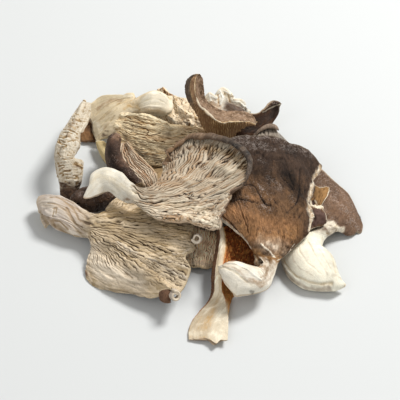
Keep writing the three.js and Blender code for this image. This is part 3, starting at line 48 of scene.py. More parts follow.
PIECES = {
    "under_scrap_back": {
        "front": "cap", "sign": -1,
        "thick": [2.2, 3, 2.8, 1.8],
        "rows": [[(1.5, 85.7, 3.6), (2.3, 79.4, 4.8), (3.1, 74.4, 4.7), (3.8, 71.2, 3), (4.6, 69.2, -0.1)],
        [(8.3, 87.5, 4.4), (9.8, 79.7, 6.1), (10.7, 73.5, 6.3), (10.9, 69.5, 4.1), (10.7, 67.2, 0.2)],
        [(16.4, 88.4, 4.4), (17.6, 80.2, 6.2), (18.3, 73.8, 6.4), (18.4, 69.6, 4.2), (18, 67.1, 0.3)],
        [(23.8, 87.3, 3.7), (25, 81.4, 4.9), (25.7, 76.7, 4.8), (25.8, 73.7, 3), (25.5, 71.8, -0.1)]],
    },
    "pale_frilly_fragment": {
        "front": "gill", "sign": -1,
        "thick": [1.8, 2.2, 2.6, 2.8, 2.6, 2.4, 2, 1.6],
        "rows": [[(4, 83.2, 20.4), (4, 82.6, 17.6), (4, 80.1, 14.9), (4.3, 76.6, 12.4), (4.6, 73.1, 9.8)],
        [(7.6, 83.5, 21), (7.6, 81.5, 17.8), (7.6, 78.4, 14.8), (7.9, 74.5, 11.9), (8.2, 70.5, 8.9)],
        [(11.9, 85.8, 21.3), (12.5, 83.1, 18), (12.5, 79.3, 14.8), (12.8, 74.7, 11.7), (13.1, 69, 8.7)],
        [(15, 88.4, 21.7), (15.6, 84.5, 18.3), (16.2, 80.1, 14.9), (16.5, 74.7, 11.6), (17.3, 68.4, 8.5)],
        [(18.6, 85.4, 20.8), (19.2, 82.7, 17.5), (19.8, 79, 14.3), (20.4, 74.4, 11.2), (21, 68.7, 8.1)],
        [(22.3, 82.4, 18.2), (22.9, 81.4, 15.4), (23.5, 78.9, 12.7), (24.1, 75.4, 10.1), (24.7, 71, 7.6)],
        [(26, 83.9, 15.1), (26.6, 82.1, 13), (27.2, 80.3, 10.9), (27.9, 78, 8.9), (28.5, 75.2, 6.9)],
        [(29.7, 81, 11.5), (30, 79.6, 10.8), (30.2, 78.1, 10), (30.3, 76.7, 9.3), (30.9, 75.4, 8.5)]],
        "edges": {"s0": [[0.0, 3.65, 81.93, 19.08], [0.0487, 4.57, 83.3, 20.71], [0.1116, 6.09, 84.04, 21.69], [0.1761, 8.22, 83.61, 20.83], [0.2203, 10.06, 83.1, 19.64], [0.2699, 10.67, 85.09, 20.86], [0.3526, 12.51, 87.3, 21.53], [0.4229, 14.35, 88.45, 21.7], [0.5048, 16.79, 87.26, 21.57], [0.5633, 18.61, 85.62, 21.03], [0.6085, 19.7, 84.33, 20.15], [0.644, 19.7, 82.94, 18.95], [0.6925, 21.65, 82.21, 18.22], [0.7846, 24.74, 83.3, 16.92], [0.8516, 26.61, 83.61, 14.93], [0.8982, 27.24, 82.63, 13.33], [0.934, 27.24, 81.4, 11.97], [0.9792, 29.08, 80.18, 10.77], [1.0, 30.92, 79.24, 9.81]]},
        "strokes": [
            ('warm', 2.37, 0.6, [(0.146, 0.367), (0.283, 0.529)]),
            ('dark', 2.13, 0.95, [(0.425, 0.554), (0.646, 0.462), (0.85, 0.579)]),
            ('crack', 0.95, 0.9, [(0.446, 0.188)]),
            ('h', 1.07, 0.8, [(0.321, 0.029), (0.35, 0.283), (0.287, 0.471)]),
            ('h', 1.07, 0.8, [(0.592, 0.229), (0.738, 0.154), (0.846, 0.312)]),
            ('h', 0.95, -0.8, [(0.254, 0.062), (0.25, 0.396)]),
            ('h', 0.95, -0.8, [(0.529, 0.167), (0.537, 0.371)]),
            ('h', 0.83, 0.6, [(0.1, 0.058), (0.129, 0.304)]),
            ('spot', 2.37, 0.8, [(0.388, 0.092), (0.525, 0.233), (0.779, 0.113)])],
    },
    "dark_cap_back_right": {
        "front": "cap", "sign": -1,
        "thick": [2, 2.6, 2.8, 2.6, 2.2, 1.6],
        "rows": [[(24.6, 71, 12.7), (23.4, 69, 10.4), (21.6, 64.9, 8.5), (19.7, 60.9, 5.6)],
        [(30.7, 72.4, 15.2), (29.5, 69.9, 12.1), (27.7, 65.9, 8.3), (26.4, 60.1, 4.7)],
        [(36.2, 74.2, 16), (35, 71.3, 12.9), (33.8, 67.4, 8.6), (33.1, 61.2, 4.4)],
        [(41, 76.8, 17.7), (40.5, 74.5, 13.5), (39.6, 70.7, 9.6), (39.3, 66.1, 4.8)],
        [(45.3, 78.9, 18.6), (45.1, 77.6, 14.8), (44.3, 75.3, 10.2), (43.1, 71.5, 5.4)],
        [(49, 78.6, 18.1), (48.7, 77.6, 16.4), (47.9, 76.7, 13.1), (46.5, 75.7, 8.9)]],
        "edges": {"s0": [[0.0, 24.62, 71.01, 12.72], [0.1174, 28.25, 71.87, 14.42], [0.1952, 30.68, 72.35, 15.23], [0.2926, 33.72, 72.44, 14.97], [0.3775, 36.16, 73.16, 15.12], [0.4569, 38.0, 74.52, 16.08], [0.5329, 39.52, 75.99, 17.19], [0.6117, 41.05, 77.35, 18.16], [0.6983, 42.89, 78.62, 18.88], [0.7771, 44.73, 79.28, 19.09], [0.8912, 47.17, 79.39, 18.98], [1.0, 49.0, 78.77, 18.31]],
            "rim": [[0.0, 49.0, 78.77, 18.31], [0.1359, 49.61, 78.3, 17.67], [0.4476, 48.62, 77.55, 15.68], [0.6889, 48.19, 76.81, 13.01], [1.0, 46.76, 76.16, 9.4]]},
        "strokes": [
            # painted highlight and sheen with dust along the top edge
            ('spot', 0.71, 0.8, [(0.475, 0.108), (0.646, 0.196), (0.796, 0.229), (0.967, 0.171)]),
            ('bloom', 1.42, 0.9, [(0.583, 0.013), (0.721, 0.054), (0.842, 0.104)]),
            ('dark', 5.33, 0.75, [(0.2, 0.333), (0.483, 0.492), (0.75, 0.546)]),
            ('dark', 4.14, 0.9, [(0.225, 0.704), (0.429, 0.771)]),
            ('H', 1.78, 1.0, [(0.5, 0.0), (0.696, 0.046), (0.867, 0.125)])],
    },
    "rolled_rim_fragment": {
        "front": "gill", "sign": -1,
        "thick": [3, 2.4, 1.8],
        "rows": [[(27.5, 47.8, 1.6), (31.6, 45.3, 2.5), (36.4, 45.2, 2.2), (41.9, 46, 1.8), (46.9, 51.1, 0)],
        [(28.2, 55.3, 4.4), (32.9, 53.7, 6), (38.3, 53.1, 6.6), (43.8, 54.5, 5.2), (49.4, 55.9, 2.9)],
        [(30.6, 59.6, 7.3), (34.2, 61.7, 8.7), (38.5, 63.9, 10), (43.4, 65.6, 9.9), (47.7, 65.5, 8.3)]],
        "edges": {"rim": [[0.0, 31.81, 58.53, 6.3], [0.2552, 34.85, 61.08, 8.04], [0.4596, 37.89, 63.12, 9.42], [0.6336, 40.95, 64.85, 10.01], [0.7997, 44.02, 65.59, 9.53], [1.0, 46.79, 65.14, 7.84]]},
        "strokes": [
            ('dark', 2.07, 0.8, [(0.967, 0.879), (0.929, 0.996)])],
        "roll": {"r": 1.5, "ang": 210, "mask": [0.8, 1, 1, 1, 1]},
    },
    "gilled_piece_back": {
        "front": "gill", "sign": -1,
        "thick": [3.2, 3, 2.8, 2.5, 1.8],
        "rows": [[(-24.2, 70, 0), (-18, 67.2, 1.1), (-11.3, 65.1, 2.3), (-4.6, 63.9, 3.5), (2.1, 64.6, 4.5)],
        [(-27.9, 75.7, 4.7), (-20.5, 71.6, 7), (-12.5, 68.4, 8.5), (-4.6, 66.1, 9.9), (3.3, 67.6, 10.1)],
        [(-30.4, 82.2, 8.6), (-22.3, 77.9, 12), (-13.7, 73.6, 13.6), (-4.6, 71.2, 14.3), (3.9, 72.7, 13.7)],
        [(-30.4, 88.4, 12), (-23, 85.1, 15.2), (-14.3, 79.8, 16.9), (-5.8, 76.7, 16.5), (2.1, 78.4, 14.9)],
        [(-29.3, 92.7, 13.8), (-22.4, 92.8, 16.8), (-15.6, 85.4, 18.2), (-8.2, 82, 17.7), (-1.5, 80.7, 16)]],
        "edges": {"rim": [[0.0, -29.26, 92.73, 13.85], [0.0993, -26.17, 92.52, 14.47], [0.1412, -25.24, 92.98, 15.31], [0.2033, -23.69, 93.31, 16.43], [0.2576, -22.13, 92.88, 17.09], [0.3296, -20.26, 90.79, 17.38], [0.3746, -19.32, 89.0, 17.39], [0.4337, -17.76, 86.81, 17.54], [0.4845, -16.82, 84.8, 17.18], [0.5347, -14.98, 84.42, 17.96], [0.6346, -11.91, 82.86, 17.77], [0.7124, -9.46, 82.13, 17.62], [0.8043, -7.02, 80.89, 16.7], [0.8987, -4.58, 80.13, 15.74], [1.0, -1.53, 79.85, 15.17]]},
        "strokes": [
            ('warm', 1.66, 0.95, [(0.971, 0.158), (0.95, 0.25), (0.938, 0.346), (0.917, 0.433)]),
            ('H', 1.48, 1.2, [(0.971, 0.158), (0.95, 0.25), (0.954, 0.371), (0.9, 0.446)]),
            ('crack', 0.59, 0.8, [(0.925, 0.167), (0.892, 0.258), (0.871, 0.346)]),
            ('dark', 1.48, 0.8, [(0.35, 0.604), (0.338, 0.696)]),
            ('dark', 0.95, 0.6, [(0.233, 0.554), (0.221, 0.633)]),
            ('dark', 1.78, 0.6, [(0.358, 0.821), (0.237, 0.942)]),
            ('dark', 1.18, 0.5, [(0.933, 0.821), (0.808, 0.871)]),
            ('H', 1.78, 1.2, [(0.746, 0.508), (0.629, 0.562)]),
            ('H', 1.78, 1.2, [(0.575, 0.621), (0.496, 0.717)]),
            ('H', 1.78, -1.1, [(0.504, 0.517), (0.412, 0.608)]),
            ('H', 1.78, 1.0, [(0.438, 0.404), (0.333, 0.496)]),
            ('H', 1.78, -1.0, [(0.608, 0.421), (0.542, 0.487)]),
            ('H', 1.78, 1.0, [(0.362, 0.713), (0.217, 0.829)]),
            ('spot', 1.78, 0.6, [(0.746, 0.508), (0.617, 0.592)]),
            ('spot', 1.78, 0.6, [(0.396, 0.396), (0.333, 0.496)]),
            ('ochre', 1.07, 0.7, [(0.425, 0.817), (0.429, 0.946)]),
            ('ochre', 0.83, 0.5, [(0.767, 0.475), (0.846, 0.542)])],
    },
    "shaded_cap_left": {
        "front": "cap", "sign": 1,
        "thick": [1.8, 2.6, 2.6, 1.6],
        "rows": [[(-69.7, 79.8, 4.5), (-68.8, 79.3, 5.5), (-67.9, 79.3, 5.5), (-67, 79.3, 4.6)],
        [(-71.4, 74.5, 3.3), (-69.1, 72, 6.2), (-66.6, 71.5, 6.3), (-65, 73.6, 3.4)],
        [(-73.7, 68.8, 2.1), (-70.4, 66.2, 5), (-66.7, 65.8, 5.1), (-63.6, 67.8, 2.2)],
        [(-73.8, 63.1, 0), (-70, 61.3, 2), (-65.7, 61.3, 2), (-61.9, 62.8, 0)]],
        "strokes": [
            ('shade', 4.73, -0.6, [(0.392, 0.475), (0.571, 0.796)]),
            ('shade', 2.37, -0.4, [(0.729, 0.829), (0.954, 0.912)]),
            ('dark', 0.95, 0.9, [(0.054, 0.904), (0.379, 0.967), (0.708, 0.983)])],
    },
    "pale_stem_flap": {
        "front": "gill", "sign": 1,
        "thick": [4, 11, 12, 9, 6, 4, 3, 2.5, 1.8],
        "rows": [[(-17.3, 77.9, 22.1), (-16.4, 76.2, 21.6), (-16.1, 74.6, 21.1), (-16.2, 72.5, 20.6), (-16.9, 70.5, 20), (-18.4, 68.9, 19.4)],
        [(-22.2, 81.5, 23.3), (-21.3, 79.5, 22.3), (-20.9, 76.5, 21.3), (-21.2, 73.6, 20.4), (-21.8, 70.7, 19.4), (-23.3, 68.3, 18.3)],
        [(-28.9, 82.3, 23.7), (-28.5, 79.9, 22.7), (-28.5, 76.9, 21.8), (-28.8, 74, 20.8), (-29.4, 71.6, 19.8), (-30, 69.6, 18.7)],
        [(-34.9, 80.3, 22.7), (-34.9, 78.6, 21.8), (-35.2, 76.9, 20.9), (-35.5, 75.3, 20), (-35.8, 73.6, 19.1), (-36.1, 71.9, 18.2)],
        [(-40.4, 79.7, 21.6), (-41, 78.3, 20.5), (-41.6, 76.3, 19.4), (-42.2, 74.4, 18.3), (-42.8, 72.5, 17.2), (-43.3, 70.1, 16.2)],
        [(-47.2, 81.1, 21.1), (-47.7, 78.5, 19.4), (-48.3, 75.5, 17.7), (-48.9, 71.9, 16.1), (-49.1, 68.4, 14.5), (-48.7, 63.8, 13)],
        [(-54.6, 83.6, 19.6), (-55.2, 79.7, 17.5), (-55.4, 75.2, 15.4), (-55.3, 70.3, 13.4), (-54.3, 65.3, 11.5), (-52.4, 60.3, 9.6)],
        [(-61.1, 83.6, 17.5), (-61.4, 79.8, 15.2), (-61.3, 75.1, 13), (-60.5, 69.9, 10.9), (-58.6, 64.1, 8.9), (-56.1, 59.7, 6.8)],
        [(-65.6, 80, 15.8), (-66.2, 77.5, 13.2), (-65.9, 73.4, 10.8), (-64.9, 68.9, 8.4), (-62.9, 63.8, 6.2), (-61.3, 59.2, 3.9)]],
        "edges": {"butt": [[0.0, -18.51, 78.31, 22.54], [0.2055, -16.98, 76.2, 21.62], [0.4697, -16.24, 73.9, 20.9], [0.6802, -16.64, 71.53, 20.24], [0.8514, -17.36, 69.68, 19.52], [1.0, -19.04, 68.08, 18.54]],
            "s0": [[0.0, -18.51, 78.31, 22.54], [0.0532, -19.74, 79.97, 23.04], [0.104, -21.88, 81.34, 23.41], [0.1479, -24.01, 82.24, 23.82], [0.1907, -26.44, 82.64, 24.02], [0.2572, -30.09, 82.19, 23.62], [0.3286, -33.72, 80.89, 23.01], [0.3961, -36.76, 79.65, 22.1], [0.4405, -38.58, 78.94, 21.26], [0.4685, -39.92, 79.36, 21.54], [0.483, -39.68, 80.69, 22.78], [0.5046, -40.41, 81.55, 23.46], [0.5657, -43.47, 81.93, 23.11], [0.6084, -45.93, 81.56, 21.95], [0.6497, -48.39, 82.18, 21.52], [0.7283, -53.36, 83.48, 20.12], [0.814, -58.32, 84.32, 18.9], [0.8896, -62.01, 83.56, 17.52], [0.956, -64.41, 81.53, 16.51], [1.0, -66.21, 80.02, 15.84]],
            "s1": [[0.0, -19.04, 68.08, 18.54], [0.0911, -22.07, 67.93, 18.09], [0.1672, -25.71, 68.2, 18.01], [0.2443, -29.95, 68.52, 17.69], [0.3022, -33.01, 69.09, 16.97], [0.3768, -36.07, 69.84, 15.98], [0.4622, -40.93, 69.8, 15.6], [0.5347, -44.55, 67.58, 14.38], [0.6029, -47.52, 64.02, 12.79], [0.6732, -49.92, 61.5, 11.03], [0.7614, -52.96, 59.96, 9.15], [0.8661, -56.06, 59.63, 6.92], [0.923, -58.53, 59.93, 6.19], [0.9563, -59.77, 59.61, 5.22], [1.0, -61.62, 59.25, 4.03]],
            "rim": [[0.0, -66.21, 80.02, 15.84], [0.1665, -66.35, 77.98, 13.58], [0.28, -66.81, 75.94, 12.16], [0.3796, -67.08, 73.72, 10.92], [0.4812, -66.55, 71.48, 9.71], [0.5454, -65.19, 70.29, 9.17], [0.6374, -64.84, 67.96, 8.05], [0.7213, -64.79, 65.57, 6.99], [0.8204, -63.52, 63.18, 5.95], [0.9214, -62.56, 60.88, 4.81], [1.0, -61.62, 59.25, 4.03]]},
        "strokes": [
            ('ochre', 3.55, 0.22, [(0.392, 0.483), (0.225, 0.379), (0.121, 0.333)]),
            ('shade', 5.33, 0.05, [(0.892, 0.138), (0.742, 0.167), (0.592, 0.267)]),
            ('ochre', 1.18, 0.6, [(0.558, 0.6), (0.45, 0.442), (0.308, 0.188)]),
            ('ochre', 1.18, 0.5, [(0.158, 0.013), (0.104, 0.133), (0.029, 0.496), (0.021, 0.821)]),
            ('ochre', 0.95, 0.4, [(0.383, 0.721), (0.237, 0.783), (0.129, 0.812)]),
            ('ochre', 2.96, 0.5, [(0.537, 0.375), (0.429, 0.662), (0.354, 0.854)]),
            ('ochre', 1.48, 0.5, [(0.425, 0.883), (0.246, 0.95), (0.075, 0.996)]),
            ('ochre', 1.78, 0.4, [(0.1, 0.221), (0.046, 0.454), (0.046, 0.767)]),
            ('shade', 7.1, -0.12, [(0.858, 0.221), (0.704, 0.692)]),
            ('shade', 7.1, -0.27, [(0.329, 0.521), (0.121, 0.467)]),
            ('h', 1.07, 0.4, [(0.45, 0.471), (0.329, 0.221), (0.212, 0.171), (0.142, 0.271), (0.079, 0.433)]),
            ('h', 0.77, -0.25, [(0.417, 0.287), (0.287, 0.158), (0.183, 0.154), (0.117, 0.287)]),
            ('h', 0.77, -0.25, [(0.408, 0.679), (0.296, 0.567), (0.192, 0.537), (0.067, 0.671)]),
            ('h', 0.95, 0.3, [(0.358, 0.787), (0.242, 0.746), (0.142, 0.792)]),
            ('ochre', 1.07, 0.8, [(0.529, 0.492), (0.404, 0.767), (0.254, 0.842), (0.096, 0.925)]),
            ('ochre', 0.83, 0.6, [(0.65, 0.321), (0.517, 0.354), (0.388, 0.142)]),
            ('ochre', 0.71, 0.6, [(0.196, 0.179), (0.142, 0.308), (0.075, 0.579)]),
            ('ochre', 0.71, 0.6, [(0.379, 0.496), (0.275, 0.325)]),
            ('spot', 1.54, 0.9, [(0.267, 0.183), (0.192, 0.296), (0.121, 0.467)]),
            ('spot', 1.78, 0.7, [(0.292, 0.646), (0.188, 0.662), (0.079, 0.767)]),
            ('spot', 1.18, 0.6, [(0.592, 0.108), (0.508, 0.129)]),
            ('warm', 2.07, 0.55, [(0.871, 0.329), (0.792, 0.233), (0.7, 0.183), (0.617, 0.212)]),
            ('warm', 1.48, 0.45, [(0.796, 0.325), (0.75, 0.321)]),
            ('warm', 1.18, 0.35, [(0.875, 0.613), (0.704, 0.483)]),
            ('warm', 1.18, 0.35, [(0.838, 0.804), (0.679, 0.696)]),
            ('h', 0.59, -0.4, [(0.9, 0.446), (0.775, 0.308), (0.658, 0.2), (0.525, 0.225)]),
            ('h', 0.59, -0.4, [(0.908, 0.613), (0.746, 0.475), (0.629, 0.333)]),
            ('h', 0.59, -0.35, [(0.892, 0.771), (0.729, 0.642), (0.642, 0.483)]),
            ('h', 0.59, -0.4, [(0.958, 0.912), (0.767, 0.796), (0.671, 0.654)]),
            ('h', 0.59, 0.4, [(0.912, 0.342), (0.808, 0.2), (0.683, 0.1)]),
            ('dark', 0.77, 0.8, [(1.0, 0.404), (1.0, 0.567), (0.992, 0.729), (1.0, 0.896)]),
            ('dark', 1.89, 0.85, [(0.879, 0.917), (0.846, 0.958)]),
            ('dark', 0.71, 0.7, [(0.817, 0.846), (0.779, 0.896)]),
            ('spot', 2.37, 0.5, [(0.942, 0.567), (0.867, 0.787)])],
    },
    "pale_stem_strip": {
        "front": "gill", "sign": 1,
        "thick": [2, 3, 3.4, 3.4, 3, 2],
        "rows": [[(-62.4, 58.3, 5.3), (-61, 56.8, 6.5), (-59.6, 56.9, 6.3), (-58.2, 57.6, 5.5)],
        [(-61.1, 54.3, 4.5), (-59.5, 52.7, 6.3), (-58, 53.2, 6.1), (-56.4, 54.9, 4.8)],
        [(-59.3, 50.1, 3.7), (-57.5, 48.3, 5.9), (-55.7, 49, 5.7), (-54.1, 51.5, 3.9)],
        [(-56.9, 45.2, 2.6), (-55, 43.5, 4.8), (-53.5, 44.5, 4.7), (-52.1, 46.9, 3)],
        [(-53.8, 39.8, 1.3), (-52.2, 38.5, 3.1), (-50.7, 39.5, 2.9), (-49.3, 41.5, 1.7)],
        [(-50.6, 34.4, -0.1), (-49.4, 34, 0.8), (-48.5, 34.6, 0.7), (-47.7, 35.9, 0.1)]],
    },
    "under_cap_left": {
        "front": "gill", "sign": -1,
        "thick": [4, 5, 3.4, 2.6, 1.8],
        "rows": [[(-42.5, 23.5, 1), (-41.8, 19.3, 2), (-40.5, 16, 2), (-38.7, 14.6, 1)],
        [(-38, 34.4, 0.8), (-36, 25.8, 3.8), (-33.5, 20.1, 3.8), (-31.1, 17.2, 0.8)],
        [(-32.2, 42.1, 1.5), (-28.9, 31.7, 4.5), (-25.8, 24.3, 4.5), (-23.5, 20.7, 0.5)],
        [(-25.1, 48.2, 1.3), (-21.3, 37.7, 4.3), (-18.2, 29.5, 4.3), (-16.4, 24.2, 0.3)],
        [(-17.9, 51.1, 0.1), (-13.5, 42.4, 2), (-11.1, 34.9, 2), (-9.8, 28.5, 0.1)]],
    },
    "gilled_cap_rear": {
        "front": "gill", "sign": 1,
        "thick": [7, 7, 5, 3.6, 3.1, 2.9, 2.6, 2.3, 1.8],
        "rows": [[(7.6, 61.7, 11.7), (7.6, 60.4, 11.3), (7.6, 59.3, 10.6), (7.6, 58.6, 9.6), (7.6, 58.3, 8.3), (7, 58.1, 6.8)],
        [(2.1, 60.6, 14.1), (2.1, 59.1, 13.4), (2.1, 58, 12.4), (2.1, 57.4, 10.8), (2.1, 56.9, 8.8), (2.1, 56.7, 6.4)],
        [(-5.7, 58.7, 17.6), (-5.4, 55.9, 16.6), (-5.1, 53, 15.2), (-5.1, 50.9, 13.1), (-5.1, 49, 10.4), (-5.1, 47.5, 7.1)],
        [(-14.1, 58.2, 20.2), (-13.8, 54.5, 18.8), (-13.5, 50.4, 17), (-12.9, 46.3, 14.4), (-12.3, 43, 10.8), (-11.7, 40.4, 6.7)],
        [(-22.5, 58.8, 21.7), (-22.1, 54.2, 20.4), (-21.8, 49.8, 18.4), (-21.2, 45.2, 15.5), (-20, 40.7, 11.5), (-18.8, 36.9, 6.8)],
        [(-30.9, 60.8, 23.1), (-30.8, 55.9, 21.7), (-30.8, 51.2, 19.6), (-30.1, 46.3, 16.5), (-28.6, 41.1, 12.4), (-26.5, 35.2, 7.7)],
        [(-39.4, 63.8, 23.5), (-39.3, 59.5, 21.9), (-39.2, 54.8, 19.8), (-38.6, 50.1, 16.9), (-36.7, 44.1, 13.2), (-33.7, 36.4, 9.1)],
        [(-47.2, 63.7, 22.4), (-47.5, 61.8, 20.8), (-47.1, 57.7, 19.1), (-46.2, 53.4, 16.6), (-44, 48, 13.5), (-40.9, 40.3, 10.2)],
        [(-50.8, 61.6, 20.3), (-51.1, 59.5, 18.9), (-50.7, 56.4, 17.4), (-49.5, 52.7, 15.6), (-47.6, 48.5, 13.4), (-45.2, 43.6, 11.1)]],
        "edges": {"s0": [[0.0, 7.56, 62.11, 12.13], [0.1273, 2.11, 60.54, 14.11], [0.1986, -2.11, 59.15, 15.9], [0.2536, -5.71, 58.22, 17.25], [0.3095, -9.31, 57.84, 18.46], [0.3638, -12.9, 57.71, 19.44], [0.428, -17.1, 57.72, 20.28], [0.4849, -20.69, 58.4, 21.28], [0.5313, -23.69, 59.02, 21.94], [0.5803, -26.69, 60.17, 22.91], [0.6217, -29.09, 61.43, 23.77], [0.6579, -31.5, 62.34, 24.05], [0.6939, -33.92, 63.2, 24.05], [0.7287, -36.34, 63.11, 23.13], [0.766, -38.76, 63.96, 23.4], [0.8039, -41.18, 64.23, 23.3], [0.8336, -42.98, 64.75, 23.63], [0.869, -44.79, 64.63, 23.33], [0.9091, -46.6, 64.79, 23.42], [1.0, -47.8, 64.38, 22.98]],
            "rim": [[0.0, -47.8, 64.38, 22.98], [0.0873, -48.7, 62.77, 21.62], [0.1874, -48.39, 61.34, 20.5], [0.2869, -49.87, 59.87, 19.84], [0.3691, -51.34, 58.59, 19.42], [0.4515, -51.44, 56.72, 18.31], [0.532, -50.1, 55.12, 17.37], [0.6088, -49.18, 53.49, 16.44], [0.7286, -48.25, 50.79, 14.91], [0.8753, -47.0, 46.97, 12.8], [1.0, -45.17, 43.65, 11.06]]},
        "strokes": [
            ('crack', 0.56, 0.8, [(0.892, 0.179), (0.792, 0.229)]),
            ('h', 0.65, 0.4, [(0.883, 0.096), (0.796, 0.171)]),
            ('crack', 0.56, 0.8, [(0.779, 0.158), (0.683, 0.196), (0.571, 0.196)]),
            ('h', 0.65, 0.4, [(0.779, 0.104), (0.683, 0.158), (0.571, 0.154)]),
            ('crack', 0.56, 0.8, [(0.833, 0.388), (0.742, 0.375), (0.642, 0.342)]),
            ('h', 0.65, 0.4, [(0.838, 0.35), (0.746, 0.333), (0.642, 0.304)]),
            ('crack', 0.56, 0.7, [(0.825, 0.483), (0.742, 0.475), (0.625, 0.425)]),
            ('h', 0.65, 0.4, [(0.821, 0.446), (0.742, 0.442), (0.625, 0.392)]),
            ('crack', 0.56, 0.6, [(0.762, 0.646), (0.621, 0.608), (0.521, 0.596)]),
            ('h', 0.65, 0.4, [(0.758, 0.613), (0.621, 0.579), (0.517, 0.558)]),
            ('crack', 0.56, 0.6, [(0.675, 0.829), (0.567, 0.833)]),
            ('h', 0.65, 0.4, [(0.671, 0.8), (0.562, 0.804)]),
            ('crack', 0.56, 0.5, [(0.562, 0.417), (0.433, 0.475)]),
            ('h', 0.65, 0.4, [(0.562, 0.379), (0.433, 0.438)]),
            ('spot', 1.78, 0.6, [(0.908, 0.058), (0.771, 0.0), (0.662, 0.037), (0.575, 0.046), (0.517, 0.1)]),
            ('spot', 2.37, 0.35, [(0.85, 0.412), (0.792, 0.546)]),
            ('bald', 4.73, 0.4, [(0.542, 0.371), (0.375, 0.575)]),
            ('shade', 5.92, -0.22, [(0.808, 0.858), (0.596, 0.8)]),
            ('spot', 2.13, 0.75, [(0.892, 0.058), (0.787, 0.054), (0.7, 0.104), (0.608, 0.108), (0.512, 0.067)]),
            ('spot', 2.13, 0.9, [(0.938, 0.458), (0.917, 0.483)]),
            ('H', 2.37, 1.2, [(0.938, 0.458), (0.9, 0.487)]),
            ('h', 0.71, 0.8, [(0.921, 0.037), (0.808, 0.029), (0.717, 0.05), (0.629, 0.096), (0.55, 0.037)]),
            ('h', 0.71, 0.7, [(0.858, 0.254), (0.771, 0.179), (0.679, 0.2), (0.583, 0.175)]),
            ('crack', 0.71, 0.9, [(0.825, 0.146), (0.742, 0.1), (0.662, 0.171), (0.567, 0.129)]),
            ('crack', 0.65, 0.9, [(0.733, 0.179), (0.646, 0.229), (0.583, 0.212)]),
            ('crack', 0.59, 0.8, [(0.804, 0.013), (0.746, 0.029), (0.692, 0.104)]),
            ('crack', 0.59, 0.8, [(0.829, 0.338), (0.75, 0.279), (0.683, 0.304)]),
            ('H', 2.96, 1.2, [(0.867, 0.108), (0.733, 0.054), (0.608, 0.108), (0.487, 0.075)]),
            ('H', 2.96, -1.0, [(0.838, 0.492), (0.729, 0.425), (0.625, 0.383)]),
            ('H', 3.55, 1.0, [(0.613, 0.329), (0.458, 0.237), (0.296, 0.183)]),
            ('H', 3.55, -1.0, [(0.721, 0.742), (0.596, 0.729), (0.504, 0.662)]),
            ('spot', 2.37, 0.5, [(0.617, 0.263), (0.475, 0.188), (0.346, 0.163)]),
            ('spot', 1.78, 0.35, [(0.713, 0.667), (0.571, 0.642)]),
            ('dark', 2.96, 0.55, [(0.775, 0.838), (0.671, 0.879), (0.579, 0.896)]),
            ('dark', 2.07, 0.5, [(0.867, 0.637), (0.838, 0.746)]),
            ('dark', 2.07, 0.45, [(0.554, 0.654), (0.487, 0.679)]),
            ('dark', 1.48, 0.5, [(0.525, 0.362), (0.438, 0.379)]),
            ('warm', 2.96, 0.45, [(0.646, 0.529), (0.492, 0.467), (0.388, 0.5)]),
            ('warm', 2.37, 0.5, [(0.346, 0.2), (0.113, 0.367)]),
            ('warm', 2.37, 0.4, [(0.842, 0.767), (0.754, 0.825)]),
            ('crack', 0.59, 0.8, [(0.646, 0.338), (0.617, 0.379), (0.633, 0.458)]),
            ('crack', 0.59, 0.8, [(0.762, 0.388), (0.679, 0.358)]),
            ('crack', 0.59, 0.7, [(0.717, 0.521), (0.608, 0.471), (0.525, 0.362)]),
            ('crack', 0.59, 0.7, [(0.596, 0.554), (0.496, 0.546)])],
    },
    "cupped_cap_top": {
        "sign": 1,
        "front_rows": [[(34.6, 63.3, 16.9), (34.2, 62.9, 16.2), (33.7, 60.8, 17.3), (33.6, 60.1, 17.3), (33.5, 60.8, 16)],
        [(32, 67.6, 18.6), (30.7, 63.9, 19.3), (29.4, 58.5, 21.7), (29.2, 57.6, 20.7), (29.1, 58.1, 18.3)],
        [(27.5, 69.1, 20.1), (25.9, 62.7, 22), (24.2, 54.6, 25.6), (23.9, 54.5, 21.4), (23.7, 55.9, 15.7)],
        [(22, 67.8, 21.9), (20.1, 60.4, 24.4), (18.1, 51.3, 28.7), (18.8, 51.9, 20.7), (19.6, 54, 11.2)],
        [(15.9, 65, 24.9), (14.3, 57.1, 27.4), (12.7, 47.6, 31.7), (13, 48.9, 21), (13.2, 51.7, 8.9)],
        [(10.5, 62.3, 29.6), (8.8, 56.5, 31.5), (7.1, 49, 35.1), (7.3, 49.6, 23.6), (7.5, 51.6, 10.7)],
        [(6.3, 62.2, 33.8), (4.5, 57.1, 35.7), (2.7, 50.3, 39.2), (2.8, 51.5, 29), (3, 54.3, 17.3)],
        [(3.9, 61.5, 37.8), (1.8, 56.8, 39.7), (-0.3, 50.3, 43.2), (-1.3, 53.4, 37), (-2.4, 57.8, 29.4)],
        [(3.1, 59.5, 42.6), (0.5, 57.3, 44), (-2, 53.4, 47.1), (-4.3, 55.7, 42.5), (-6.5, 59.4, 36.5)],
        [(2.7, 61.3, 47.4), (-0.1, 59.6, 48.4), (-2.9, 56.2, 51), (-5.8, 59, 47.8), (-8.8, 63.2, 43.2)],
        [(1.9, 63.5, 51.7), (-0.4, 62.2, 52.4), (-2.7, 59.1, 54.7), (-5.4, 61.9, 52.1), (-8, 66.1, 48.1)],
        [(0.9, 64.2, 54.5), (-0.4, 63.5, 54.7), (-1.8, 61.1, 56.5), (-3.5, 62.4, 55.5), (-5.3, 65.1, 53.1)],
        [(0, 63.7, 56), (-0.4, 63.6, 56), (-0.9, 61.7, 57.7), (-1.6, 62, 57.5), (-2.3, 63.8, 55.9)]],
        "back_rows": [[(34.6, 63.3, 16.9), (34.3, 64.6, 14.5), (33.9, 63.8, 14.2), (33.5, 60.8, 16)],
        [(32, 67.6, 18.6), (31.2, 66.6, 16.4), (30.2, 63.3, 16.3), (29.1, 58.1, 18.3)],
